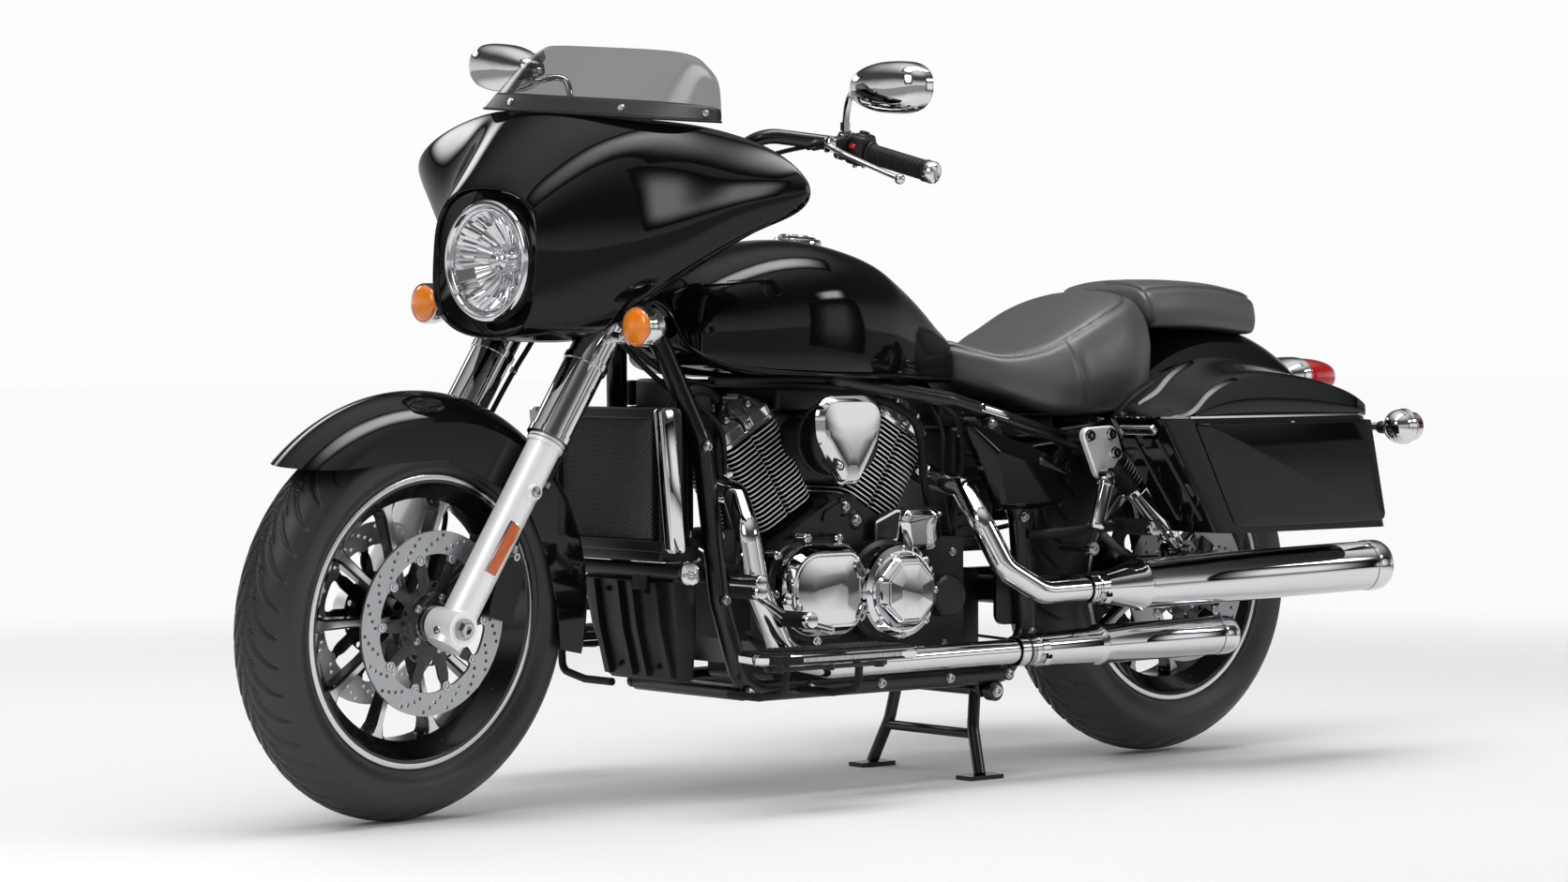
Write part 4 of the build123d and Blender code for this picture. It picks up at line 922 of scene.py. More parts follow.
@dataclass
class FloatingDisc:
    """A drilled brake ring on a black carrier, held by bright bobbins."""

    name: str
    body: Body
    at: Matrix
    radius: float
    inner: float
    node: str
    thick: float = 5.0
    arms: int = 10
    holes: int = 72
    hub_radius: float = 56.0
    hat: float = 2.0

    def build(self) -> None:
        """The ring, then the carrier, the bobbins and the bolts, outer face at the frame's plane."""
        ring = Shape()
        drilled = []
        width = self.radius - self.inner - 16
        for i in range(self.holes):
            reach = self.inner + 9 + width * (0.0, 0.34, 0.67, 1.0)[(i * 3) % 4]
            drilled.append(circle(3.3, 10, polar(reach, math.tau * i / self.holes)))
        inside = []
        for i in range(self.arms * 12):
            a = math.tau * i / (self.arms * 12)
            inside.append(polar(self.inner - 7 * max(0.0, math.cos(a * self.arms)) ** 3, a))
        ring.plate(circle(self.radius, 160), self.at, self.thick, holes=[inside] + drilled)
        ring.finish(self.name + "_ring", STEEL, self.body, replaces=(self.node,))
        carrier = Shape()
        seat = self.at @ moved(0, 0, -0.4)
        star = []
        for i in range(self.arms * 16):
            a = math.tau * i / (self.arms * 16)
            arm = max(0.0, math.cos(a * self.arms)) ** 0.6
            star.append(polar(self.hub_radius + 14 + (self.inner - 4 - self.hub_radius - 14) * arm, a))
        windows = [circle(5.0, 14, polar(self.hub_radius + 7, math.tau * (i + 0.5) / self.arms))
            for i in range(self.arms)]
        carrier.plate(star, seat, self.thick - 0.8, holes=[circle(self.hub_radius - 14, 60)] + windows,
            bevel=0.8)
        carrier.lathe(((self.hub_radius - 18, -14), (self.hub_radius - 18, self.hat),
            (self.hub_radius - 6, self.hat), (self.hub_radius - 2, -1), (self.hub_radius + 2, -3),
            (self.hub_radius + 2, -14)), self.at, steps=80)
        carrier.finish(self.name + "_carrier", WHEEL_PAINT, self.body, bevel=0.4)
        bobbins = Shape()
        for i in range(self.arms):
            a = math.tau * i / self.arms
            spot = self.at @ Matrix.Rotation(a, 4, "Z") @ moved(self.inner - 5, 0, 0)
            bobbins.lathe(((0, 2.6), (3.4, 2.6), (3.8, 1.2), (5.0, 1.2), (5.4, 2.4), (8.0, 2.2), (8.6, 1.2),
                (8.6, -self.thick)), spot, steps=18)
        for i in range(5):
            spot = self.at @ Matrix.Rotation(math.tau * (i + 0.5) / 5, 4, "Z")
            bobbins.screw(spot @ moved(self.hub_radius - 11, 0, self.hat), 5.2, 4.2)
        bobbins.finish(self.name + "_bobbins", BOLT, self.body)


@dataclass
class Wheels:
    """Both wheels with their tyres and discs."""

    # How far the outer faces of discs and pulley are from the middle, in millimetres
    front_disc: float = 72.4
    rear_disc: float = 106.5
    pulley_face: float = 125.0

    def frame(self, axle: Point, turned: bool) -> Matrix:
        """A wheel's frame: z along the axle to the left."""
        at = moved(*axle) @ Matrix(((1, 0, 0, 0), (0, 0, 1, 0), (0, -1, 0, 0), (0, 0, 0, 1)))
        return PLAN.turned @ at if turned else at

    def build(self) -> None:
        """Front, then rear."""
        front = self.frame(PLAN.front_axle, True)
        rear = self.frame(PLAN.rear_axle, False)
        Tyre("front_tyre_tread", "front_tyre", Body.FRONT_WHEEL, front, 337, 67, 243, 51, 67).build()
        Tyre("rear_tyre_tread", "rear_tyre", Body.REAR_WHEEL, rear, 326, 88, 225, 74, 101.2,
            grooves=40).build()
        CastWheel("front_cast_wheel", "front_rim", Body.FRONT_WHEEL, front, 243, 51, 34, 66).build()
        CastWheel("rear_cast_wheel", "rear_rim", Body.REAR_WHEEL, rear, 225, 74, 50, 78).build()
        for word, side in (("left", 1), ("right", -1)):
            flip = Matrix.Rotation(0 if side > 0 else math.pi, 4, "X")
            at = front @ moved(0, 0, side * self.front_disc) @ flip
            FloatingDisc(f"front_{word}_disc", Body.FRONT_WHEEL, at, 153, 115, "front_discs").build()
        disc = rear @ moved(0, 0, self.rear_disc)
        FloatingDisc("rear_disc", Body.REAR_WHEEL, disc, 150, 100, "rear_disc_pulley", holes=60).build()
        self.hub(front)
        self.pulley(rear)

    def pulley(self, rear: Matrix) -> None:
        """The toothed belt pulley with its pierced web, and the disc's spacer.

        Args:
            rear: The rear wheel's frame.
        """
        black, bolts = Shape(), Shape()
        face = rear @ moved(0, 0, -self.pulley_face) @ Matrix.Rotation(math.pi, 4, "X")
        teeth = []
        for i in range(66):
            for share, reach in ((0.0, 137.2), (0.18, 139.8), (0.5, 139.8), (0.68, 137.2)):
                teeth.append(polar(reach, math.tau * (i + share) / 66))
        black.plate(teeth, face, 26, holes=[circle(125, 90)])
        windows = [circle(21, 32, polar(91, math.tau * i / 8)) for i in range(8)]
        black.plate(circle(126, 90), face @ moved(0, 0, -8), 10, holes=[circle(31, 48)] + windows, bevel=1.2)
        black.lathe(((31, -47), (60, -46), (60, -8), (56, -2), (50, -1), (46, 3), (34, 3), (31, 0)), face,
            steps=72)
        black.lathe(((36, 77), (52, 78), (52, 103), (44, 105), (36, 105)), rear, steps=60)
        for i in range(6):
            spot = face @ Matrix.Rotation(math.tau * i / 6, 4, "Z") @ moved(48, 0, 1)
            bolts.screw(spot, 6, 6)
        black.finish("belt_pulley", POWDER, Body.REAR_WHEEL, sharp=30)
        bolts.finish("belt_pulley_bolts", BOLT, Body.REAR_WHEEL)

    def hub(self, front: Matrix) -> None:
        """The front hub's seals and spacer rings between bearing and fork foot.

        Args:
            front: The front wheel's frame.
        """
        seals = Shape()
        for side in (1, -1):
            seals.lathe([(r, side * h) for r, h in ((30, 60), (30, 74), (27, 75), (26, 72), (22, 72),
                (21, 76), (17.5, 77), (17.2, 83), (12, 83))], front, steps=48)
        seals.finish("front_hub_seals", BOLT, Body.FRONT_WHEEL)


# ---------------------------------------------------------------- fairing
@dataclass
class Fairing:
    """The fork-mounted fairing: one skin that flows from the lamp's rounded-square rim out to the wings."""

    # Each row runs from the lamp's rim out to the skin's edge, from the top of the nose round to its foot
    rows: Sequence[Sequence[Point]] = (((790, 0, 1051), (778, 0, 1068), (752, 0, 1096), (716, 0, 1130),
        (684, 0, 1156), (656, 0, 1178)), ((791, 52, 1049), (779, 54, 1067), (750, 60, 1095), (708, 72, 1132),
        (672, 82, 1157), (642, 92, 1178)), ((793, 96, 1032), (778, 104, 1046), (742, 122, 1078),
        (692, 146, 1120), (650, 166, 1150), (602, 182, 1177)),
        ((794, 120, 1002), (774, 134, 1014), (728, 162, 1042), (668, 200, 1082), (616, 238, 1128),
        (563, 266, 1172)), ((795, 128, 968), (770, 147, 974), (716, 184, 998), (650, 246, 1044),
        (596, 318, 1112), (536, 372, 1150)), ((795, 129, 936), (768, 151, 936), (708, 196, 954),
        (646, 270, 1006), (598, 372, 1080), (531, 448, 1118)),
        ((795, 129, 905), (764, 153, 900), (700, 200, 912), (642, 276, 966), (594, 396, 1046),
        (534, 488, 1080)), ((795, 128, 875), (762, 151, 866), (696, 192, 872), (646, 254, 914),
        (604, 350, 992), (542, 466, 1042)), ((794, 122, 845), (758, 142, 836), (692, 172, 838),
        (652, 214, 868), (616, 282, 926), (560, 372, 990)),
        ((793, 102, 818), (752, 118, 812), (690, 140, 812), (656, 164, 826), (632, 208, 862),
        (586, 288, 936)), ((792, 66, 801), (748, 76, 797), (690, 92, 796), (656, 108, 800), (634, 136, 816),
        (600, 180, 866)), ((791, 30, 796), (744, 34, 793), (690, 44, 792), (654, 54, 794), (630, 74, 798),
        (604, 104, 818)), ((791, 0, 795), (742, 0, 792), (690, 0, 791), (654, 0, 792), (630, 0, 795),
        (606, 0, 805)))
    lamp: Point = (792.0, 0.0, 926.0)

    def build(self) -> None:
        """The skin, the recess round the lamp, and its dark lining."""
        self.skin()
        self.recess()

    def rings(self) -> list[list[Point]]:
        """The rows of both halves as closed rings, from the rim outwards.

        Returns:
            The rings.
        """
        half = [list(row) for row in self.rows]
        other = [[(x, -y, z) for x, y, z in row] for row in self.rows[-2:0:-1]]
        return [[row[i] for row in half + other] for i in range(len(self.rows[0]))]

    def skin(self) -> None:
        """The painted shell, with a rolled rim at the lamp and a turned-in outer edge."""
        shape = Steered()
        rings = self.rings()
        edge = rings[-1]
        folded = [(x - 9, y * 0.985, z + (-4 if z > 1000 else 5)) for x, y, z in edge]
        tucked = [(x - 26, y * 0.97, z + (-9 if z > 1000 else 10)) for x, y, z in edge]
        lip = self.scaled(rings[0], 0.965, 3.0)
        shape.loft([self.scaled(rings[0], 0.90, -22), self.scaled(rings[0], 0.945, -4), lip] + rings
            + [folded, tucked], caps=False)
        shape.finish("fairing_skin", GLOSS_PAINT, sharp=180, replaces=("fairing",), smooth=3)

    def scaled(self, ring: Sequence[Point], share: float, ahead: float) -> list[Point]:
        """A ring drawn in towards the lamp's middle and moved forward."""
        z0 = self.lamp[2]
        return [(x + ahead, y * share, z0 + (z - z0) * share) for x, y, z in ring]

    def recess(self) -> None:
        """The black bowl between the painted rim and the chrome ring."""
        shape = Steered()
        rim = self.scaled(self.rings()[0], 0.93, -8)
        steps = len(rim)
        circles = []
        for radius, back in ((112, 18), (104, 24), (92, 26)):
            circles.append([(self.lamp[0] - back, radius * math.sin(math.tau * i / steps),
                self.lamp[2] + radius * math.cos(math.tau * i / steps)) for i in range(steps)])
        shape.loft([rim] + circles, caps=False)
        shape.finish("lamp_recess", GLOSS_PAINT, sharp=180, smooth=2)


@dataclass
class Headlamp:
    """A round lamp: chrome bezel, faceted reflector in a black shell, bulb shield and a clear lens."""

    at: Matrix = field(default_factory=lambda: basis((792, 0, 926), (1, 0, 0), (0, 1, 0)))
    facets: int = 26

    def build(self) -> None:
        """The bezel, the reflector and its shell, the bulb shield and the lens."""
        bezel = Steered()
        bezel.lathe(((103, -24), (104, -8), (101.5, 1), (97, 4.5), (92.5, 4.5), (89.5, 2), (88.5, -2),
            (87, -3), (86, -1), (84, -2), (83, -8)), self.at, steps=120)
        bezel.finish("headlamp_bezel", CHROME, replaces=("headlight",))
        bowl = Steered()
        rings = []
        for radius, back, wave in ((84, -6, 0.0), (78, -12, 1.6), (62, -30, 2.6), (44, -42, 2.4),
                (28, -50, 0.6), (18, -52, 0.0)):
            ring = []
            for i in range(self.facets * 4):
                a = math.tau * i / (self.facets * 4)
                ripple = wave * (1 if (i // 2) % 2 else -1) * (0.6 + 0.4 * math.sin(3 * a))
                spot = self.at @ (Vector((*polar(radius, a), back + ripple)) * MM)
                ring.append(tuple(spot / MM))
            rings.append(ring)
        bowl.loft(rings, caps=False)
        bowl.finish("headlamp_reflector", CHROME, sharp=14, outward=False)
        shell = Steered()
        shell.lathe(((0, -66), (24, -64), (50, -54), (68, -40), (84, -20), (90, -10), (88, -8), (80, -18),
            (64, -36), (46, -48), (30, -56), (0, -58)), self.at, steps=64)
        shell.finish("headlamp_shell", ABS)
        shield = Steered()
        shield.lathe(((0, -14), (9, -14.5), (12, -17), (12.5, -24), (17, -27), (20, -31), (20, -52),
            (14, -56)), self.at, steps=40)
        for i in range(3):
            turn = self.at @ Matrix.Rotation(math.tau * i / 3 + 0.5, 4, "Z")
            shield.block(turn @ moved(28, 0, -38), (26, 2.2, 6), bevel=0.5)
        shield.finish("headlamp_bulb_shield", CHROME)
        glass = Steered()
        glass.lathe(dome(86.5, -3, 17, 14), self.at, steps=96)
        glass.finish("headlamp_glass", CLEAR, replaces=("headlight_lens",))


@dataclass
class Screen:
    """The smoked screen: a swept blade with a darker foot and its four screws."""

    # height, middle x, edge x, half width
    foot: tuple[float, float, float, float] = (1176, 655, 528, 272)
    head: tuple[float, float, float, float] = (1291, 545, 492, 196)
    columns: int = 24
    rows: int = 10

    def spot(self, across: float, up: float, out: float = 0.0) -> Vector:
        """A point of the screen.

        Args:
            across: From -1 on the right to 1 on the left.
            up: From 0 at the foot to 1 at the top.
            out: How far in front of the blade, in millimetres.

        Returns:
            The point in millimetres.
        """
        bow = 1 - (1 - up) ** 1.35
        low, high = self.foot, self.head
        half = low[3] + (high[3] - low[3]) * (0.62 * up + 0.38 * up**7)
        mid, edge = low[1] + (high[1] - low[1]) * up, low[2] + (high[2] - low[2]) * up
        drop = 24 * abs(across) ** 4.5 * bow
        x = mid + (edge - mid) * abs(across) ** 2.0 + out
        return Vector((x, half * math.sin(across * math.pi / 2) if abs(across) < 1 else half * across,
            low[0] + (high[0] - low[0]) * up - drop))

    def build(self) -> None:
        """The blade, the foot strip, its gasket and the screws."""
        blade = Steered()
        blade.loft([[tuple(self.spot(-1 + 2 * i / self.columns, j / self.rows))
            for i in range(self.columns + 1)] for j in range(self.rows + 1)], closed=False)
        blade.finish("smoked_blade", SMOKE, sharp=180, wall=3.0, replaces=("windshield",), smooth=1)
        strip = Steered()
        strip.loft([[tuple(self.spot(-1 + 2 * i / self.columns, j * 0.085, 0.8))
            for i in range(self.columns + 1)] for j in range(4)], closed=False)
        strip.finish("screen_foot_strip", ABS, sharp=180, wall=1.0, smooth=1)
        gasket = Steered()
        gasket.hose([tuple(self.spot(-1 + 2 * i / 16, 0.0, 1.0)) for i in range(17)], 2.2, 3)
        gasket.finish("screen_gasket", RUBBER)
        screws = Steered()
        for across in (-0.86, -0.34, 0.34, 0.86):
            spot = self.spot(across, 0.13, 1.6)
            out = Vector((0.75, 0.65 * across, 0.42))
            screws.screw(basis(spot, out, (0, 1, 0)), 5.2, 3.2)
        screws.finish("screen_screws", CHROME)


@dataclass
class FrontEnd:
    """Fork legs' fittings: reflectors, axle nuts, pinch bolts, hoses, and the signals' amber lenses."""

    signal: Point = (690.0, 262.0, 836.0)

    def build(self) -> None:
        """Each group of pieces in turn, on both sides."""
        self.reflectors()
        self.bolts()
        self.hoses()
        self.lenses()

    def reflectors(self) -> None:
        """The amber strips on the sliders with their bright frames."""
        for shape, finish, grow, lift, name in ((Steered(), CHROME, 5, 0.0, "reflector_frames"),
                (Steered(), ORANGE, 0, 1.4, "reflectors")):
            for side in (1, -1):
                spot = PLAN.fork(150, 60, side * (PLAN.leg_y + 29.5 + lift))
                at = basis(spot, (0.28, side, 0.1), PLAN.up)
                shape.block(at, (92 + grow, 19 + grow, 3.2), bevel=1.2)
            shape.finish(name, finish)

    def bolts(self) -> None:
        """Axle nuts, pinch bolts, fender bolts and the rings round the covers' feet."""
        shape = Steered()
        for side in (1, -1):
            at = basis(Vector(PLAN.front_axle) + Vector((0, side * 152, 0)), (0, side, 0))
            shape.lathe(((17.5, -5), (17.5, -1), (16, 0.5), (13.5, 0.5), (13.2, 5.4), (12.2, 6), (7.6, 6),
                (7.2, 1), (0, 0.6)), at, steps=6)
            shape.screw(basis(PLAN.fork(-18, PLAN.leg_offset + 29, side * 116), PLAN.ahead, (0, 1, 0)), 6, 5)
            shape.screw(basis(PLAN.fork(262, PLAN.leg_offset, side * 149), (0, side, 0), PLAN.up), 8, 6)
            for up in (352, 358):
                shape.lathe(((32.4, -1.2), (33.2, -0.6), (33.2, 0.6), (32.4, 1.2)),
                    basis(PLAN.fork(up, PLAN.leg_offset, side * PLAN.leg_y), PLAN.up, PLAN.ahead), steps=60)
        shape.finish("fork_bolts", BOLT, sharp=30)

    def hoses(self) -> None:
        """The brake hoses from the calipers up behind the fork, with their fittings and clips."""
        hose, fittings = Steered(), Steered()
        foot = Vector((784.4, 90, 438.3))
        lean = Vector((-0.3, 0, 1)).normalized()
        hose.hose([foot, foot + lean * 50, PLAN.fork(230, 18, 96), PLAN.fork(300, 0, 102),
            PLAN.fork(400, 4, 106), PLAN.fork(500, 6, 100), PLAN.fork(556, 10, 86), PLAN.fork(589, 10, 86)],
            4.6)
        fittings.rod(foot - lean * 2, foot + lean * 22, 6.2)
        fittings.screw(basis(foot + Vector((0, 5, 4)), (0, 1, 0)), 7, 7, domed=False)
        for up, ahead, y in ((300, 0, 102), (500, 6, 100)):
            fittings.rod(PLAN.fork(up - 5, ahead, y), PLAN.fork(up + 5, ahead, y), 6.4)
        hose.mirrored().finish("brake_lines", RUBBER, replaces=("brake_hoses",))
        fittings.mirrored().finish("hose_fittings", BOLT)

    def lenses(self) -> None:
        """The amber lenses and the rims that hold them."""
        x, y, z = self.signal
        lens, rim = Steered(), Steered()
        for side in (1, -1):
            at = basis((x, side * y, z), (1, 0, 0), (0, 1, 0))
            lens.lathe(dome(31.5, 1, 13, 10), at, steps=48)
            rim.lathe(((34.2, -6), (35, -1), (34.6, 2.4), (32.5, 3.2), (31.2, 1.4)), at, steps=48)
        lens.finish("signal_lenses", AMBER)
        rim.finish("signal_rims", CHROME)


# ---------------------------------------------------------------- outlines and stacked shells
def cornered(corners: Sequence[tuple[float, float, float]], steps: int = 7) -> Outline:
    """A polygon with each corner rounded.

    Args:
        corners: x, y and the corner's radius, anticlockwise, in millimetres.
        steps: Points round each corner.

    Returns:
        The outline.
    """
    points: list[tuple[float, float]] = []
    count = len(corners)
    for i, (x, y, radius) in enumerate(corners):
        here = Vector((x, y))
        back = (Vector(corners[i - 1][:2]) - here).normalized()
        ahead = (Vector(corners[(i + 1) % count][:2]) - here).normalized()
        half = math.acos(max(-1.0, min(1.0, back.dot(ahead)))) / 2
        reach = radius / math.tan(half)
        middle = here + (back + ahead).normalized() * (radius / math.sin(half))
        first = here + back * reach - middle
        sweep = math.pi - 2 * half
        for k in range(steps):
            a = sweep * k / (steps - 1)
            points.append((middle.x + first.x * math.cos(a) - first.y * math.sin(a),
                middle.y + first.x * math.sin(a) + first.y * math.cos(a)))
    return points


def inset(outline: Outline, by: float) -> Outline:
    """An anticlockwise outline drawn in on all sides, or out when negative.

    Args:
        outline: The outline, in millimetres.
        by: How far.

    Returns:
        The new outline, point for point.
    """
    made = []
    for i, (x, y) in enumerate(outline):
        px, py = outline[i - 1]
        nx, ny = outline[(i + 1) % len(outline)]
        a, b = Vector((y - py, px - x)), Vector((ny - y, x - nx))
        if a.length < 1e-9 or b.length < 1e-9:
            a = b = a if a.length > b.length else b
        a, b = a.normalized(), b.normalized()
        push = (a + b) / (1 + a.dot(b)) * by
        made.append((x - push.x, y - push.y))
    return made


def shrunk(outline: Outline, share: float) -> Outline:
    """An outline scaled about its middle, for the crown of a flat face."""
    cx, cy = (sum(c) / len(outline) for c in zip(*outline))
    return [(cx + (x - cx) * share, cy + (y - cy) * share) for x, y in outline]


def stack(shape: Shape, levels: Sequence[tuple[Outline, float]], at: Matrix, caps: bool = True) -> None:
    """Skins outlines at rising heights over a frame.

    Args:
        shape: The mesh that gets it.
        levels: Equal outlines and their heights, in millimetres.
        at: The frame.
        caps: Whether both ends are closed.
    """
    shape.loft([[at @ (Vector((x, y, h)) * MM) / MM for x, y in outline] for outline, h in levels], caps=caps)


def terrace(shape: Shape, outline: Outline, levels: Sequence[tuple[float, float]], at: Matrix) -> None:
    """Skins one outline at rising heights, drawn in by so much at each.

    Args:
        shape: The mesh that gets it.
        outline: The outline, in millimetres.
        levels: How far it is drawn in, and the height.
        at: The frame.
    """
    stack(shape, [(inset(outline, by) if by else outline, height) for by, height in levels], at)


# ---------------------------------------------------------------- engine
@dataclass(frozen=True)
class Cylinder:
    """One air-cooled barrel and head: thin fins with machined edges under a faceted cover."""

    sign: int
    name: str
    crank: Point = (84.0, 0.0, 330.0)
    lean: float = math.radians(30)
    deck: float = 170.0
    cover: float = 345.0
    fins: int = 19
    fin_t: float = 3.5

    def frame(self, distance: float, side: float = 0.0, ahead: float = 0.0) -> Matrix:
        """The frame across the cylinder at a distance from the crank, z along its axis.

        Args:
            distance: From the crank, in millimetres.
            side: To the left.
            ahead: Across the axis, forward.

        Returns:
            The frame.
        """
        up = Vector((self.sign * math.sin(self.lean), 0, math.cos(self.lean)))
        across = Vector((math.cos(self.lean), 0, -self.sign * math.sin(self.lean)))
        at = Vector(self.crank) + up * distance + across * ahead + Vector((0, side, 0))
        return basis(at, up, across)

    def build(self) -> None:
        """The barrel, its fins and their edges, the head's cover and its clamp."""
        self.barrel()
        self.rocker_cover()

    def fin_outline(self, share: float) -> Outline:
        """A fin's edge, notched at the middle of each side where the casting is relieved.

        Args:
            share: From 0 at the lowest fin to 1 at the highest.

        Returns:
            The outline.
        """
        grow = 1.5 * math.sin(math.pi * share)
        w, h, c, n = 67 + grow, 77 + grow, 24, 3.5
        return cornered(((w, -h, c), (w, h, c), (n + 2, h, 1.5), (n, h - 7, 1.5), (-n, h - 7, 1.5),
            (-n - 2, h, 1.5), (-w, h, c), (-w, -h, c)), steps=5)

    def barrel(self) -> None:
        """Liner, base flange and fins in powder coat, and the bright machined fin edges."""
        black, edges = Shape(), Shape()
        terrace(black, rounded(118, 124, 40), ((0, 0), (0, self.cover - self.deck - 6)),
            self.frame(self.deck + 2))
        foot = rounded(140, 150, 34)
        terrace(black, foot, ((10, -6), (0, -6), (0, 3), (8, 6), (14, 10)), self.frame(self.deck - 2))
        span = self.cover - self.deck - 16
        for i in range(self.fins):
            share = i / (self.fins - 1)
            at = self.frame(self.deck + 11 + share * (span - self.fin_t))
            outline = self.fin_outline(share)
            terrace(black, outline, ((0, 0.2), (0, self.fin_t - 0.2)), at)
            thin, wide = inset(outline, 1.0), inset(outline, -0.2)
            stack(edges, [(thin, 0.5), (wide, 0.7), (wide, self.fin_t - 0.5), (thin, self.fin_t - 0.35)], at)
        for x, y in ((46, 56), (-46, 56), (46, -56), (-46, -56)):
            black.screw(self.frame(self.deck + 4, y, x), 6, 6)
        black.finish(f"{self.name}_barrel", POWDER)
        edges.finish(f"{self.name}_fin_edges", FIN_EDGE)

    def rocker_cover(self) -> None:
        """A base flange and two faceted halves held by a strap across the middle."""
        chrome, black = Shape(), Shape()
        foot = rounded(136, 150, 22)
        terrace(chrome, foot, ((0, 0), (0, 7), (2, 9)), self.frame(self.cover + 0.4))
        for half, low, high in ((1, 8, 66), (-1, 10, 66)):
            corners = ((low, -73, 5), (high, -73, 16), (high, 73, 16), (low, 73, 5))
            if half < 0:
                corners = tuple((-x, y, r) for x, y, r in corners[::-1])
            outline = cornered(corners, steps=4)
            mid = sum(x for x, _ in outline) / len(outline)
            levels = []
            for h, shrink_x, shrink_y in ((9, 0, 0), (26, 1, 1), (29, 4, 4), (56, 24, 22), (59, 29, 28)):
                fx, fy = 1 - shrink_x / 36, 1 - shrink_y / 73
                levels.append(([(mid + (x - mid) * max(0.12, fx) + half * -shrink_x * 0.18, y * fy)
                    for x, y in outline], h))
            stack(chrome, levels, self.frame(self.cover))
        strap = [(74, 6), (75.5, 26), (72, 31), (49, 59), (43, 61)]
        line = strap + [(-y, z) for y, z in strap[::-1]]
        self.strap(chrome, line)
        for side in (1, -1):
            for ahead in (28, -28):
                at = self.frame(self.cover + 43, side * 61, ahead)
                tilt = at @ Matrix.Rotation(-side * math.radians(50), 4, "X")
                black.lathe(((9, -4), (9, 1), (7.5, 1.6)), tilt, steps=20)
                chrome.screw(tilt @ moved(0, 0, 1), 5.4, 5)
            chrome.screw(self.frame(self.cover + 16, side * 75.5)
                @ Matrix.Rotation(-side * math.pi / 2, 4, "X"), 5.5, 5)
        chrome.finish(f"{self.name}_rocker_cover", CAST_CHROME, sharp=18,
            replaces=() if self.sign < 0 else ("rocker_covers", "cylinders"), bevel=0.8)
        black.finish(f"{self.name}_cover_seats", POWDER)

    def strap(self, shape: Shape, line: Outline) -> None:
        """A flat bright strap bent over the cover along a line across the cylinder.

        Args:
            shape: The mesh that gets it.
            line: Where it runs: across and up, in millimetres.
        """
        rings = []
        for y, z in line:
            ring = []
            for x, lift in ((-7, 0), (-7, 2.6), (7, 2.6), (7, 0)):
                out = Vector((0, y, max(z - 20, 4))).normalized() * lift
                at = self.frame(self.cover + z + out.z, y + out.y, x)
                ring.append(at.translation / MM)
            rings.append(ring)
        shape.loft(rings)


@dataclass(frozen=True)
class AirCleaner:
    """The pleated filter between the cylinders and its bright shield."""

    x: float = 158.0
    z: float = 619.0

    def build(self) -> None:
        """Drum, pleats, shield and its bolt."""
        at = side_view() @ moved(self.x, self.z, 0)
        drum, pleats, shield = Shape(), Shape(), Shape()
        oval = [(74 * math.cos(a), 66 * math.sin(a)) for a in (math.tau * i / 96 for i in range(96))]
        terrace(drum, circle(36, 40), ((0, 70), (0, 168)), at)
        for low, high in ((164, 174), (204, 215)):
            terrace(drum, oval, ((3, low), (0, low + 2), (0, high - 2), (3, high)), at)
        folds = 84
        zigzag = []
        for i in range(folds * 2):
            a = math.pi * i / folds
            reach = 66.5 if i % 2 else 71.5
            zigzag.append((reach * math.cos(a), (reach - 8) * math.sin(a)))
        terrace(pleats, zigzag, ((0, 172), (0, 206)), at)
        outline = cornered(((76, 76, 40), (-76, 76, 40), (-71, 4, 60), (-19, -79, 17), (21, -79, 17),
            (71, 4, 60)), steps=10)
        stack(shield, [(inset(outline, 5), 213), (outline, 213), (outline, 219), (inset(outline, 2), 222),
            (inset(outline, 9), 231), (inset(outline, 11), 232.2), (shrunk(inset(outline, 11), 0.8), 233.6),
            (shrunk(inset(outline, 11), 0.4), 234.6)], at)
        spot = at @ moved(33, -42, 230.5) @ Matrix.Rotation(math.radians(28), 4, "Z")
        slot = cornered(((13, -8, 7.9), (13, 8, 7.9), (-13, 8, 7.9), (-13, -8, 7.9)), steps=6)
        terrace(drum, slot, ((2, -2), (0, 1.8), (0, 3.4), (1.6, 3.6), (3, 1.2)), spot)
        shield.screw(spot @ moved(-3, 0, 1), 4.6, 4)
        for t in map(math.radians, (80, 200, 320)):
            drum.screw(at @ moved(66 * math.cos(t), 58 * math.sin(t), 215), 4, 2)
        drum.finish("filter_ends", ABS)
        pleats.finish("filter_pleats", RUBBER, sharp=20)
        shield.finish("air_cleaner_shield", CHROME, sharp=24, replaces=("air_cleaner",))


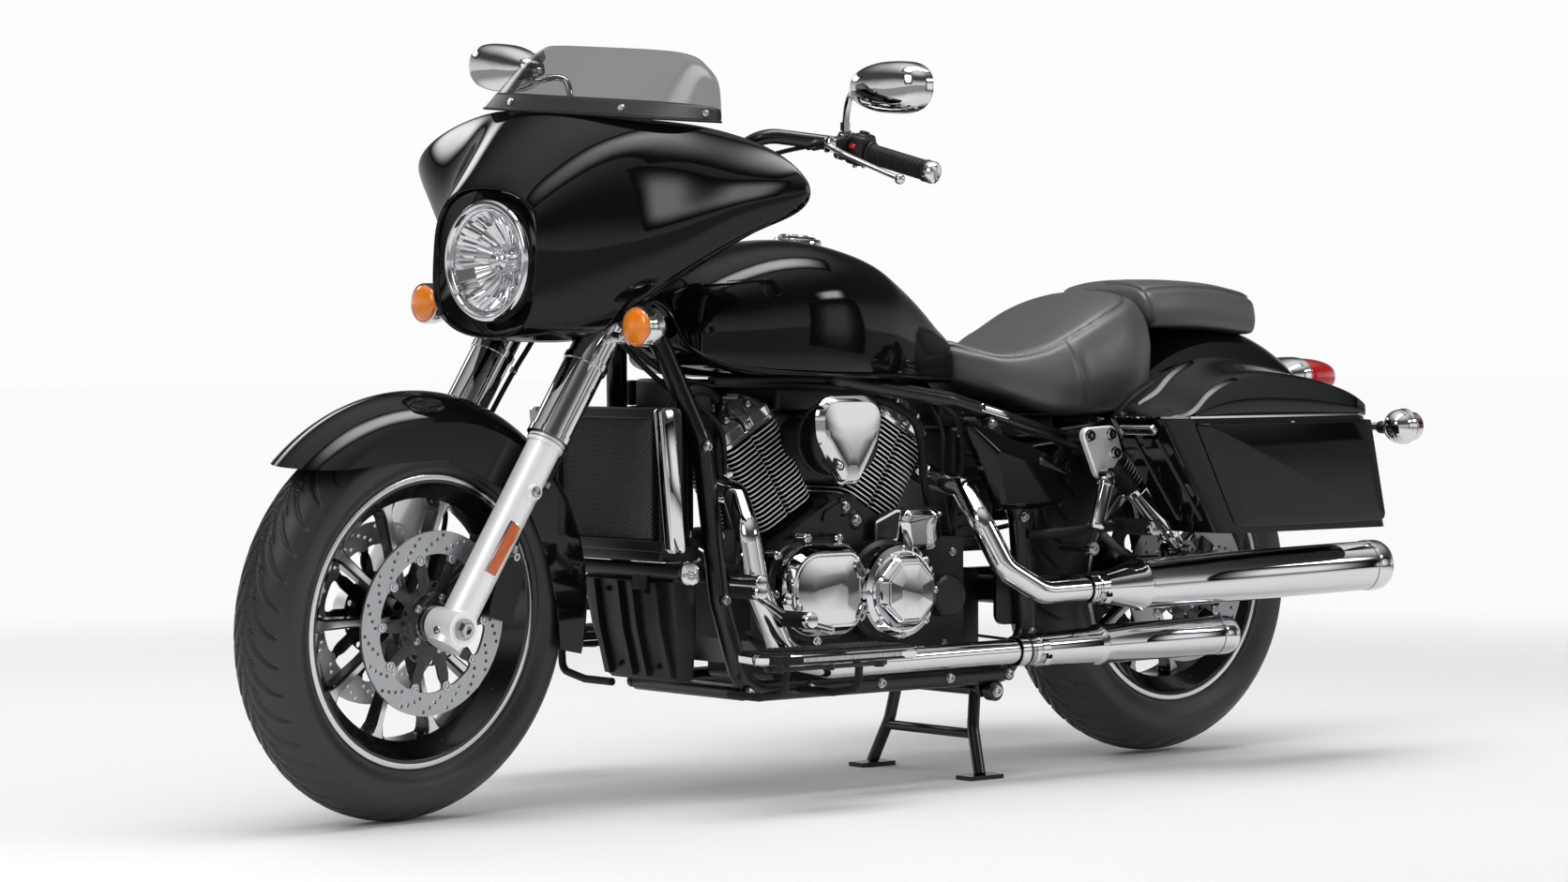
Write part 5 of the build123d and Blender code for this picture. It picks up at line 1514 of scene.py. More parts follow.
@dataclass(frozen=True)
class Covers:
    """The bright and black covers on both sides of the crankcase, with their bolts."""

    def build(self) -> None:
        """Left covers, right covers, castings between the cylinders."""
        self.left()
        self.right()
        self.castings()

    def at(self, x: float, z: float, out: float = 0.0, side: int = 1) -> Matrix:
        """The side frame at a point of the crankcase."""
        return side_view(0, side) @ moved(x, z, out)

    def left(self) -> None:
        """The dynamo cover, the clutch cover that overlaps it, and the starter's faceted cover."""
        chrome, black = Shape(), Shape()
        dynamo = cornered(((270, 278, 72), (270, 438, 72), (92, 438, 40), (92, 278, 40)), steps=12)
        here = self.at(0, 0)
        terrace(black, dynamo, ((-9, 117), (-9, 146), (-6, 150), (0, 150)), here)
        stack(chrome, [(dynamo, 150), (dynamo, 170), (inset(dynamo, 2), 176), (inset(dynamo, 13), 190),
            (inset(dynamo, 16), 191.5), (inset(dynamo, 19), 191), (inset(dynamo, 22), 193),
            (shrunk(inset(dynamo, 22), 0.6), 195.2)], here)
        for i in range(30):
            t = math.radians(40 + i * 8.2)
            x, z = 188 + 88 * math.cos(t), 358 + 86 * math.sin(t)
            if x > 168:
                rib = basis((x, 133, z), (math.cos(t), 0, math.sin(t)), (0, 1, 0))
                black.block(rib, (26, 2.6, 7), bevel=0.8)
        for x, z in ((262, 420), (279, 352), (256, 292), (196, 448), (126, 446), (176, 268)):
            boss = self.at(x, z, 150)
            chrome.lathe(((8.5, -22), (8.5, 5), (7.2, 7), (0, 7)), boss, steps=24)
            chrome.screw(self.at(x, z, 157), 5, 4.4)
        for x, z, turn in ((112, 392, 60), (106, 318, 118)):
            tab = cornered(((17, -8.5, 8), (17, 8.5, 8), (-17, 8.5, 8), (-17, -8.5, 8)), steps=7)
            spot = self.at(x, z, 193) @ Matrix.Rotation(math.radians(turn), 4, "Z")
            terrace(chrome, tab, ((0, 0), (0, 3), (1.5, 4.2)), spot)
            for shift in (-8, 8):
                slit = cornered(((4.4, -2.4, 2.2), (4.4, 2.4, 2.2), (-4.4, 2.4, 2.2), (-4.4, -2.4, 2.2)),
                    steps=5)
                terrace(black, slit, ((0, 3.6), (0, 4.5)), spot @ moved(shift, 0, 0))
        chrome.screw(self.at(246, 330, 192), 6.5, 5)
        chrome.lathe(((11, -4), (11, 3), (8, 6), (0, 7)), self.at(262, 346, 181), steps=28)
        clutch = circle(84, 96, (14, 350))
        terrace(black, clutch, ((-6, 117), (-6, 150), (0, 156)), here)
        terrace(chrome, clutch, ((0, 152), (0, 186), (3, 192), (12, 197), (15, 196.5), (18, 199)), here)
        octagon = cornered([(*polar(68, math.radians(a), (14, 350)), 22) for a in range(22, 382, 45)],
            steps=8)
        stack(chrome, [(octagon, 194), (octagon, 204), (inset(octagon, 1.6), 207), (inset(octagon, 9), 217),
            (inset(octagon, 11), 218.2), (inset(octagon, 14), 218), (inset(octagon, 16), 219.6),
            (shrunk(inset(octagon, 16), 0.5), 221.4)], here)
        for i in range(8):
            chrome.screw(self.at(*polar(75.5, math.radians(i * 45), (14, 350)), 196.6), 4.6, 4)
        box = cornered(((-30, 470, 8), (-46, 489, 8), (-122, 489, 10), (-126, 440, 12), (-104, 416, 10),
            (-40, 416, 10)), steps=5)
        terrace(black, box, ((-5, 112), (-5, 128)), here)
        terrace(chrome, box, ((0, 118), (0, 138), (2, 141), (10, 148), (12, 149)), here)
        for x, z in ((-48, 478), (-116, 480), (-100, 424)):
            chrome.screw(self.at(x, z, 144), 4.2, 3.6)
        slide = cornered(((26, 470, 6), (-22, 489, 6), (-34, 489, 4), (-24, 436, 6), (26, 430, 6)), steps=5)
        terrace(black, slide, ((0, 110), (0, 132), (5, 136)), here)
        rim = inset(slide, -1)
        terrace(chrome, rim, ((0, 133), (0, 135.4), (4, 136)), here)
        terrace(black, rim, ((4.2, 134), (4.2, 136.8), (7, 137.4)), here)
        chrome.finish("left_engine_covers", CHROME, sharp=24, replaces=("engine_covers",))
        black.finish("left_engine_flanges", POWDER, sharp=30)

    def right(self) -> None:
        """The timing cover with its round centre, and the oil filter ahead of it."""
        chrome, black = Shape(), Shape()
        case = cornered(((245, 262, 70), (245, 430, 70), (15, 430, 60), (15, 262, 60)), steps=10)
        here = self.at(0, 0, 0, -1)
        terrace(black, case, ((0, 117), (0, 148), (3, 152), (14, 158)), here)
        middle = circle(62, 72, (168, 348))
        stack(chrome, [(middle, 154), (middle, 164), (inset(middle, 3), 167), (inset(middle, 12), 169.4),
            (shrunk(middle, 0.4), 170)], here)
        for i in range(10):
            t = math.tau * i / 10
            black.screw(self.at(130 + 104 * math.cos(t), 346 + 74 * math.sin(t), 154, -1), 4.8, 4)
        for i in range(5):
            black.screw(self.at(*polar(52, math.tau * i / 5, (168, 348)), 168.6, -1), 4, 3.4)
        for i in range(6):
            rib = basis((60, -155, 288 + i * 23), (0, -1, 0))
            black.block(rib, (70, 5, 12), bevel=2)
        cap = circle(44, 64, (-176, 330))
        terrace(black, cap, ((0, 127), (0, 131), (4, 134), (26, 134.6)), here)
        chrome.finish("right_engine_covers", CHROME, sharp=24)
        black.finish("right_engine_castings", POWDER, sharp=30)

    def castings(self) -> None:
        """The block between the cylinders' feet, its bracket, the oil filter, ribs and side bolts."""
        black, bright = Shape(), Shape()
        here = self.at(0, 0)
        web = cornered(((150, 452, 8), (118, 520, 14), (50, 520, 14), (18, 452, 8)), steps=5)
        terrace(black, web, ((0, 60), (0, 108), (6, 114)), here)
        for x, z in ((84, 498), (58, 474)):
            black.lathe(((17, -30), (17, 0), (14, 3), (0, 3)), self.at(x, z, 118), steps=28)
            bright.screw(self.at(x, z, 121), 8, 6)
        arm = cornered(((136, 470, 5), (130, 490, 5), (92, 508, 6), (80, 490, 6)), steps=4)
        terrace(black, arm, ((0, 112), (0, 122)), here)
        # The oil filter behind the clutch cover, with the flutes of its wrench end
        flutes = [polar(37 + (1.6 if i % 2 else 0), math.tau * i / 44) for i in range(44)]
        spot = self.at(-112, 336, 0)
        stack(black, [(circle(38, 44), 110), (circle(38, 44), 158), (flutes, 160), (flutes, 176),
            (circle(33, 44), 181), (circle(10, 44), 182)], spot)
        for x in range(-150, 220, 26):
            rib = basis((x, 0, 196), (0, 0, -1))
            black.block(rib, (5, 170, 6), bevel=1)
        for x, z in ((-150, 246), (-40, 236), (236, 240), (280, 300), (-170, 410)):
            bright.screw(self.at(x, z, 118), 6, 5)
            bright.screw(self.at(x, z, 118, -1), 6, 5)
        case = cornered(((300, 278, 20), (300, 392, 26), (272, 408, 20), (250, 300, 20), (262, 262, 10)),
            steps=5)
        terrace(black, case, ((0, 110), (0, 124), (4, 128)), here)
        pod = circle(26, 40, (-30, 268))
        terrace(black, pod, ((0, 112), (0, 140), (4, 146), (14, 147)), here)
        black.finish("engine_castings", POWDER, sharp=30)
        bright.finish("engine_bolts", BOLT, sharp=30)


@dataclass(frozen=True)
class Radiator:
    """The radiator with its crossed guard, side bars, and the slatted box below it."""

    core_z: float = 556.0

    def build(self) -> None:
        """Core, frame, guard, bars, cross bar and lower box."""
        self.core()
        self.bars()
        self.lower_box()

    def core(self) -> None:
        """The finned core in its pressed frame, and the crossed wires of its guard."""
        frame, core, guard = Shape(), Shape(), Shape()
        plane = basis((500, 0, self.core_z), (1, 0, 0), (0, 1, 0))
        frame.plate(rounded(330, 242, 12), plane, 22, holes=[rounded(272, 200, 6)], bevel=2)
        for z in (112, -112):
            at = basis((502, 0, self.core_z + z), (1, 0, 0), (0, 1, 0))
            frame.block(at, (330, 20, 34), bevel=4, segments=3)
            for y in (-150, 150):
                frame.screw(basis((519, y, self.core_z + z), (1, 0, 0), (0, 0, 1)), 4, 3)
        for side in (1, -1):
            for y, thick in ((160, 8), (136, 5)):
                at = basis((508, side * y, self.core_z), (1, 0, 0), (0, 1, 0))
                frame.block(at, (thick, 206, 24), bevel=1.5)
            for i in range(34):
                z = self.core_z - 96 + i * 192 / 33
                at = basis((506, side * 148, z), (1, 0, 0), (0, 1, 0.25 if i % 2 else -0.25))
                frame.block(at, (18, 1.6, 16), bevel=0.4, segments=1)
        back = basis((490, 0, self.core_z), (1, 0, 0), (0, 1, 0))
        core.block(back, (300, 214, 20), bevel=1)
        pitch, hw, hh = 8.4, 133.0, 101.0
        reach = hw + hh
        for lean in (1, -1):
            k = -reach + pitch / 2
            while k < reach:
                y0 = max(-hw, (k if lean > 0 else -k) - hh)
                y1 = min(hw, (k if lean > 0 else -k) + hh)
                z0, z1 = ((k - y if lean > 0 else y + k) + self.core_z for y in (y0, y1))
                if y1 - y0 > 4:
                    x = 509 + lean * 0.5
                    guard.rod((x, y0, z0), (x, y1, z1), 0.75, sides=4)
                k += pitch
        frame.finish("radiator_frame", ABS, replaces=("radiator",))
        core.finish("radiator_core", CORE)
        guard.finish("radiator_guard", GUARD)

    def bars(self) -> None:
        """The bright side bars with their black clamps, and the round bracket below each."""
        chrome, black = Shape(), Shape()
        for side in (1, -1):
            rings = []
            for x0, x1, z in ((486, 516, 434), (488, 520, 440), (511, 543, 672), (514, 541, 677)):
                edge = 2.0 if z in (434, 677) else 0.0
                corners = rounded(x1 - x0 - edge * 2, 23 - edge * 2, 6, ((x0 + x1) / 2, side * 180), 4)
                rings.append([(x, y, z) for x, y in corners])
            chrome.loft(rings)
            for z in (452, 656):
                at = basis((500 + (z - 452) * 0.1, side * 172, z), (0, side, 0))
                black.block(at, (26, 15, 18), bevel=4)
            at = basis((478, side * 186, 398), (0.5, side, 0), (0, 0, 1))
            eye = cornered(((22, -14, 13), (22, 14, 13), (-16, 20, 16), (-22, -16, 12)), steps=7)
            terrace(chrome, eye, ((0, -22), (0, 2), (2, 5), (5, 6)), at)
            chrome.screw(at @ moved(-2, 0, 5), 9, 5)
            black.rod((470, side * 178, 372), (470, side * 178, 348), 6)
        black.rod((474, -186, 400), (474, 186, 400), 13)
        chrome.finish("radiator_side_bars", CHROME, sharp=30, replaces=("radiator_bars",))
        black.finish("radiator_cross_bar", ABS)

    def lower_box(self) -> None:
        """The slatted plastic box that leads from the cross bar down to the cradle."""
        box = Shape()
        rings = []
        for z, x0, x1, hw in ((386, 424, 470, 124), (380, 418, 474, 128), (300, 412, 462, 122),
                (212, 404, 440, 104), (206, 408, 434, 100)):
            rings.append([(x, y, z) for x, y in rounded(x1 - x0, hw * 2, 9, ((x0 + x1) / 2, 0), 4)])
        box.loft(rings)
        for y in (-88, -20, 20, 88):
            rail = []
            for z, x in ((378, 474), (300, 463), (214, 441)):
                rail.append([(x - 4, y - 7, z), (x + 9, y - 7, z), (x + 9, y + 7, z), (x - 4, y + 7, z)])
            box.loft(rail)
        tab = basis((483, 52, 392), (1, 0, 0.1), (0, 1, 0))
        box.plate(cornered(((20, -26, 4), (20, 14, 8), (10, 22, 6), (-10, 22, 6), (-20, 14, 8),
            (-20, -26, 4)), steps=5), tab, 5, holes=[circle(4, 20, (-7, 8)), circle(4, 20, (7, 8))])
        for y, z in ((-54, 230), (54, 230), (-54, 362), (54, 362)):
            box.screw(basis((444 + (z - 214) * 0.2, y, z), (1, 0, -0.1), (0, 1, 0)), 4.5, 4)
        box.finish("radiator_lower_box", ABS, bevel=1.0)


class Engine:
    """The V-twin with all that is bolted to it."""

    def build(self) -> None:
        """Cylinders, filter, covers and radiator."""
        Cylinder(1, "front_cylinder").build()
        Cylinder(-1, "rear_cylinder").build()
        AirCleaner().build()
        Covers().build()
        Radiator().build()


# ---------------------------------------------------------------- smooth tables
def between(table: Sequence[Sequence[float]], count: int) -> np.ndarray:
    """Rows of a table joined by smooth curves.

    Args:
        table: Rows whose first value falls or rises steadily.
        count: How many rows to return.

    Returns:
        The dense table.
    """
    rows = np.array(table, dtype=float)
    at = np.linspace(0, len(rows) - 1, count)
    k = np.clip(at.astype(int), 0, len(rows) - 2)
    t = (at - k)[:, None]
    slope = np.gradient(rows, axis=0)
    made = (2 * t**3 - 3 * t**2 + 1) * rows[k] + (t**3 - 2 * t**2 + t) * slope[k]
    return made + (3 * t**2 - 2 * t**3) * rows[k + 1] + (t**3 - t**2) * slope[k + 1]


# ---------------------------------------------------------------- saddle and pillion pad
@dataclass(frozen=True)
class Pad:
    """A moulded foam pad under stretched leather, with double-stitched seams."""

    name: str
    node: str
    # x, half width, top, bottom, dish of the top
    stations: tuple[tuple[float, ...], ...]
    # Lines of (share along, share from the foot to the middle)
    seams: tuple[tuple[tuple[float, float], ...], ...]
    # Share of the half width, share of the height, share of the dish
    profile: tuple[Point, ...] = ((0.0, 0.0, 0), (0.55, 0.0, 0), (0.84, 0.015, 0), (0.95, 0.09, 0),
        (1.0, 0.3, 0), (0.985, 0.5, 0), (0.93, 0.68, 0), (0.83, 0.82, 0), (0.66, 0.925, 0.25),
        (0.36, 0.985, 0.8), (0.0, 1.0, 1.0))
    rows: int = 110
    half: int = 60

    def surface(self) -> np.ndarray:
        """Points over the pad: along it, then round it from the foot over the left to the right.

        Returns:
            The points, in millimetres.
        """
        side = between(self.profile, self.half + 1)
        x, hw, top, low, dish = (c[:, None] for c in between(self.stations, self.rows).T)
        left = np.stack([x + 0 * side[:, 0], hw * side[:, 0],
            low + (top - low) * side[:, 1] - dish * side[:, 2]], axis=-1)
        right = left[:, -2:0:-1] * (1, -1, 1)
        return np.concatenate([left, right], axis=1)

    def line(self, points: np.ndarray, seam: Sequence[tuple[float, float]]) -> np.ndarray:
        """A seam's points on the surface; a share over 1 goes on to the right half.

        Args:
            points: The pad's surface.
            seam: Shares along and round.

        Returns:
            The points.
        """
        dense = between(seam, 400)
        u = np.clip(dense[:, 0], 0, 1) * (self.rows - 1)
        v = np.clip(dense[:, 1], 0, 1.999) * self.half
        iu, iv = np.minimum(u.astype(int), self.rows - 2), v.astype(int)
        fu, fv = (u - iu)[:, None], (v - iv)[:, None]
        n = points.shape[1]
        a, b = points[iu, iv % n], points[iu, (iv + 1) % n]
        c, d = points[iu + 1, iv % n], points[iu + 1, (iv + 1) % n]
        return (a * (1 - fv) + b * fv) * (1 - fu) + (c * (1 - fv) + d * fv) * fu

    def build(self) -> None:
        """The leather with its grooves, then the thread."""
        points = self.surface()
        along, round_ = np.gradient(points, axis=0), np.roll(points, -1, 1) - np.roll(points, 1, 1)
        normal = np.cross(along, round_)
        normal /= np.linalg.norm(normal, axis=2, keepdims=True) + 1e-9
        lines = [self.line(points, seam) for seam in self.seams]
        lines += [line * (1, -1, 1) for line in lines if abs(line[:, 1]).min() > 2]
        flat = points.reshape(-1, 3)
        near = np.min([np.min(np.linalg.norm(flat[:, None] - line[None, ::4], axis=2), axis=1)
            for line in lines], axis=0)
        push = -2.6 * np.exp(-((near / 3.4) ** 2)) + 1.3 * np.exp(-(((near - 13) / 9) ** 2))
        middle = points.mean(axis=(0, 1))
        if np.sum((points - middle) * normal) < 0:
            normal = -normal
        shape = Shape()
        shape.loft((flat + normal.reshape(-1, 3) * push[:, None]).reshape(points.shape).tolist())
        pad = shape.finish(self.name, LEATHER, sharp=80, replaces=(self.node,))
        self.thread(lines, middle)

    def thread(self, lines: Sequence[np.ndarray], middle: np.ndarray) -> None:
        """Two rows of stitches beside each seam.

        Args:
            lines: The seams' points.
            middle: The pad's middle.
        """
        shape = Shape()
        for line in lines:
            ahead = np.gradient(line, axis=0)
            ahead /= np.linalg.norm(ahead, axis=1, keepdims=True) + 1e-9
            out = line - middle
            out -= ahead * np.sum(out * ahead, axis=1, keepdims=True)
            out /= np.linalg.norm(out, axis=1, keepdims=True) + 1e-9
            aside = np.cross(ahead, out)
            travelled = np.concatenate([[0], np.cumsum(np.linalg.norm(np.diff(line, axis=0), axis=1))])
            for shift in (-4.2, 4.2):
                for s in np.arange(3, travelled[-1] - 3, 6.2):
                    k = min(int(np.searchsorted(travelled, s)), len(line) - 1)
                    at = line[k] + aside[k] * shift - out[k] * 0.7
                    shape.rod(at - ahead[k] * 1.9, at + ahead[k] * 1.9, 0.55, sides=5)
        shape.finish(f"{self.name}_stitches", THREAD)


RIDER = Pad("rider_saddle_leather", "rider_saddle",
    ((-219, 34, 778, 734, 0), (-226, 62, 792, 718, 0), (-262, 100, 784, 702, 0), (-310, 138, 776, 684, 5),
    (-380, 166, 794, 662, 9), (-450, 180, 830, 652, 12), (-520, 186, 866, 654, 9), (-580, 178, 882, 668, 2),
    (-630, 152, 878, 694, 0), (-646, 134, 858, 716, 0)),
    (((0.06, 0.70), (0.2, 0.70), (0.4, 0.71), (0.6, 0.72), (0.74, 0.74), (0.82, 0.80), (0.84, 0.9),
    (0.845, 1.0)), ((0.52, 0.71), (0.53, 0.5), (0.56, 0.3)),
    ((0.845, 0.86), (0.9, 0.7), (0.95, 0.6), (0.985, 0.5))))
PILLION = Pad("pillion_pad_leather", "pillion_pad",
    ((-648, 112, 886, 826, 0), (-656, 130, 898, 814, 0), (-690, 134, 904, 812, 0), (-760, 133, 908, 812, 3),
    (-850, 124, 904, 808, 3), (-920, 112, 894, 802, 1), (-962, 100, 884, 800, 0), (-976, 78, 866, 810, 0)),
    (((0.13, 0.2), (0.12, 0.5), (0.11, 0.8), (0.11, 1.0)),
    ((0.13, 0.68), (0.4, 0.68), (0.7, 0.68), (0.94, 0.72))))


# ---------------------------------------------------------------- tank and side covers
@dataclass(frozen=True)
class Tank:
    """The teardrop tank with its rolled lower lip and filler cap."""

    # x, half width, top, bottom
    stations: tuple[tuple[float, ...], ...] = ((405, 38, 842, 796), (399, 78, 868, 774), (372, 124, 904, 748),
        (310, 160, 938, 733), (240, 178, 961, 727), (160, 187, 969, 724), (80, 178, 959, 722),
        (0, 160, 937, 722), (-60, 138, 906, 719), (-120, 113, 869, 716), (-180, 84, 826, 713),
        (-220, 62, 800, 712), (-227, 38, 782, 724))

    def build(self) -> None:
        """Body, lip and cap."""
        half = ((0.0, 0.0), (0.6, 0.0), (0.9, 0.01), (0.965, 0.08), (0.995, 0.26), (1.0, 0.44), (0.965, 0.62),
            (0.86, 0.79), (0.66, 0.92), (0.36, 0.985), (0.0, 1.0))
        dense = between(self.stations, 40)
        side = between(half, 34)
        rings = []
        for x, hw, top, low in dense:
            left = [(x, hw * a, low + (top - low) * b) for a, b in side]
            rings.append(left + [(px, -py, pz) for px, py, pz in left[-2:0:-1]])
        body = Shape()
        body.loft(rings)
        body.finish("fuel_tank_body", GLOSS_PAINT, sharp=70, replaces=("fuel_tank",))
        lip = Shape()
        for s in (1, -1):
            low = [(x, s * hw * 0.985, z + 6) for x, hw, _, z in self.stations[1:-1]]
            lip.hose([(407, 0, 856), (406, s * 34, 846), (403, s * 66, 800)] + low + [(-226, s * 30, 722)],
                4.2)
        lip.finish("tank_lip", GLOSS_PAINT, sharp=70)
        self.cap()

    def cap(self) -> None:
        """A chrome flange with screws, a black ring, and the hinged lid."""
        at = basis((92, 0, 968), (-0.06, 0, 1))
        chrome, black = Shape(), Shape()
        chrome.lathe(((44, -12), (44, -3), (42, 1), (37, 3), (34.5, 3), (33.5, 1.5), (0, 1.5)), at, steps=72)
        black.lathe(((33.2, 1), (33.2, 4.5), (31.5, 6), (22, 6), (21, 5), (0, 5)), at, steps=60)
        chrome.lathe(((21, 4), (21, 7), (19.5, 8.5), (12, 9), (0, 9)), at, steps=48)
        chrome.block(at @ moved(-4, 0, 8.5), (34, 9, 4), bevel=1.6)
        chrome.block(at @ moved(31, 0, 6), (12, 20, 7), bevel=2)
        for i in range(6):
            black.screw(at @ moved(*polar(38.5, math.tau * (i + 0.5) / 6), 2.2), 2.2, 1.4)
        chrome.finish("filler_cap_chrome", CHROME, sharp=28, replaces=("filler_cap",))
        black.finish("filler_cap_ring", ABS)


@dataclass(frozen=True)
class SideTrim:
    """The creased side covers and the blank plates on the seat rails."""

    def build(self) -> None:
        """Both sides, from one outline with a raised and faceted face."""
        cover, plate, dark = Shape(), Shape(), Shape()
        outer = cornered(((-226, 484, 9), (-146, 640, 12), (-158, 646, 8), (-396, 566, 14), (-404, 552, 10),
            (-376, 486, 12)), steps=6)
        mid = cornered(((-224, 488, 8), (-152, 636, 10), (-160, 641, 7), (-391, 563, 13), (-398, 551, 9),
            (-373, 490, 11)), steps=6)
        face = cornered(((-228, 494, 5), (-206, 586, 6), (-214, 592, 4), (-378, 548, 8), (-385, 541, 6),
            (-368, 496, 8)), steps=6)
        for side in (1, -1):
            loops = [(outer, 168.5), (outer, 181), (mid, 184), (face, 198), (inset(face, 2), 199)]
            stack(cover, loops, side_view(0, side))
            run = Vector((-0.967, 0.01 * side, -0.255))
            spot = basis((-232, side * 165.5, 662), (0, side, 0.22), run)
            stack(plate, [(rounded(66, 15, 3), -7), (rounded(66, 15, 3), 0.6), (rounded(63, 12, 2.4), 2.2)],
                spot)
            stack(plate, [(rounded(52, 8, 2), 1.8), (rounded(52, 8, 2), 2.6), (rounded(50, 6, 1.6), 2.9)],
                spot)
            for x in (-29, 29):
                dark.screw(spot @ moved(x, 0, 1.8), 1.5, 1.0)
        cover.finish("side_cover_skins", GLOSS_PAINT, sharp=24, replaces=("side_covers",))
        plate.finish("rail_plates", CHROME, sharp=28)
        dark.finish("rail_plate_rivets", DARK_STEEL)


# ---------------------------------------------------------------- saddlebags
@dataclass(frozen=True)
class Bag:
    """One hard saddlebag: domed lid with a raised side panel, bevelled body, latch and trim."""

    side: int
    lid: Body
    node: str
    seam: float = 649.3
    # x, inner y, outer y, crown z, side panel's top z
    lid_stations: tuple[tuple[float, ...], ...] = ((-405, 306, 398, 652, 650), (-412, 280, 424, 667, 651),
        (-430, 266, 438, 688, 652), (-456, 258, 446, 710, 660), (-490, 256, 448, 731, 688),
        (-530, 256, 448, 747, 708), (-575, 256, 448, 756, 720), (-630, 256, 448, 757, 724),
        (-700, 256, 448, 750, 720), (-770, 256, 448, 737, 710), (-840, 256, 448, 717, 693),
        (-885, 258, 446, 698, 677), (-908, 268, 436, 680, 664), (-917, 300, 404, 658, 653))

    def build(self) -> None:
        """Lid, its trim, and what is added to the body."""
        self.build_lid()
        self.build_body()

    def build_lid(self) -> None:
        """The lid's skin with its inner wall, the bright edge strip and the hinges."""
        skin = Shape()
        rings = []
        for x, inner, outer, crown, panel in between(self.lid_stations, 60):
            width, rise = outer - inner, crown - self.seam
            bevel = min(9.0, rise * 0.25)
            top = max(panel, self.seam + rise * 0.08)
            ring = [(x, outer, self.seam), (x, outer + 0.4, self.seam + (top - self.seam) * 0.5),
                (x, outer, top), (x, outer - 0.8, top + 0.7), (x, outer - bevel, top + bevel * 0.62),
                (x, outer - bevel - 1.2, top + bevel * 0.7)]
            start_y, start_z = ring[-1][1:]
            for t in (0.2, 0.4, 0.6, 0.8, 1.0):
                a = t * math.pi / 2
                ring.append((x, start_y - (start_y - inner - width * 0.42) * math.sin(a) ** 1.15,
                    start_z + (crown - start_z) * (1 - math.cos(a)) ** 0.62 if t < 1 else crown))
            for t in (0.25, 0.5, 0.72, 0.9, 1.0):
                a = t * math.pi / 2
                ring.append((x, inner + width * 0.42 - (width * 0.42) * math.sin(a),
                    self.seam + rise * math.cos(a) ** 0.8))
            rings.append([(px, self.side * py, pz) for px, py, pz in ring])
        skin.loft(rings, closed=False)
        for ring in (rings[0], rings[-1]):
            skin.bm.faces.new([skin.bm.verts.new(Vector(p) * MM) for p in ring])
        bmesh.ops.remove_doubles(skin.bm, verts=skin.bm.verts[:], dist=1e-5)
        bmesh.ops.recalc_face_normals(skin.bm, faces=skin.bm.faces[:])
        face = max(skin.bm.faces, key=lambda f: f.calc_center_median().z)
        if face.normal.z < 0:
            bmesh.ops.reverse_faces(skin.bm, faces=skin.bm.faces[:])
        skin.finish(f"{self.node}_skin", GLOSS_PAINT, self.lid, sharp=30, outward=False,
            replaces=(self.node,), wall=3.0)
        strip, hinge = Shape(), Shape()
        edge = [(x, self.side * y) for x, y in rounded(514, 192, 46, (-661, 352), 10)]
        self.band(strip, edge, 649.6, 653.0, 1.2)
        strip.finish(f"{self.node}_strip", CHROME, self.lid, sharp=40)
        for x in (-540, -780):
            for k in range(3):
                hinge.rod((x - 28 + k * 20, self.side * 250.7, 654),
                    (x - 12 + k * 20, self.side * 250.7, 654), 4.9, sides=20)
            hinge.block(moved(x, self.side * 257.5, 660), (60, 3, 18), bevel=1)
        hinge.finish(f"{self.node}_hinges", CHROME, self.lid)

    def band(self, shape: Shape, line: Outline, low: float, high: float, proud: float) -> None:
        """A thin strip round an outline, standing proud of it.

        Args:
            shape: The mesh that gets it.
            line: The outline, in millimetres.
            low: Its lower edge.
            high: Its upper edge.
            proud: How far it stands out.
        """
        out = inset(line if self.side > 0 else line[::-1], -proud)
        rows = [[(ax, ay, low), (ax, ay, high), (bx, by, high), (bx, by, low)]
            for (ax, ay), (bx, by) in zip(out, inset(out, proud + 0.8))]
        shape.loft(rows + [rows[0]], caps=False)

    def build_body(self) -> None:
        """The raised side panel, the channels of the front face, latch, seal and mounting screws."""
        panel, trim, dark = Shape(), Shape(), Shape()
        s = self.side
        lean = math.atan2(22, 208)
        at = basis((-700, s * 437.6, 544), (0, s * math.cos(lean), -math.sin(lean)))
        up = 1 if at.col[1].z > 0 else -1
        corners = [(246, 98, 5), (-208, 98, 5), (-272, -92, 12), (124, -92, 30)]
        outline = cornered([(x, up * y, r) for x, y, r in (corners if up > 0 else corners[::-1])], steps=7)
        middle = -40.0
        shrink = [(middle + (x - middle) * 0.9 - (x > 0) * 6, y * (0.98 if up * y > 0 else 0.86))
            for x, y in outline]
        stack(panel, [(outline, -8), (outline, 2.2), (inset(outline, 1), 3.2), (shrink, 7.2),
            (inset(shrink, 1), 7.4)], at)
        panel.finish(f"{self.node[:-4]}_bag_panel", GLOSS_PAINT, sharp=20)
        for y0, y1 in ((282, 322), (336, 380)):
            rail = []
            for z, x in ((612, -429), (540, -483), (462, -541)):
                rail.append([(x - 6, s * y0, z), (x + 5, s * (y0 + 4), z), (x + 5, s * (y1 - 4), z),
                    (x - 6, s * y1, z)])
            dark.loft(rail)
        latch = basis((-407, s * 352, 630), (0.8, 0, -0.6), (0, 1, 0))
        trim.plate(rounded(92, 18, 8), latch @ moved(0, 0, 6), 8, holes=[rounded(80, 9, 4)], bevel=1.4)
        dark.block(latch @ moved(0, 0, 1), (82, 11, 6), bevel=2)
        trim.lathe(((6, 0), (6, 3), (5, 4), (0, 4)), basis((-700, s * 449, 636), (0, s, 0)), steps=24)
        seal = [(x, s * y) for x, y in rounded(506, 184, 42, (-661, 352), 10)]
        self.band(dark, seal, 645.5, 648.8, 0.4)
        for x in (-600, -860):
            trim.screw(basis((x, s * 255, 618), (0, -s, 0)), 9, 8)
        trim.finish(f"{self.node[:-4]}_bag_trim", CHROME, sharp=30)
        dark.finish(f"{self.node[:-4]}_bag_front", GLOSS_PAINT, sharp=30)


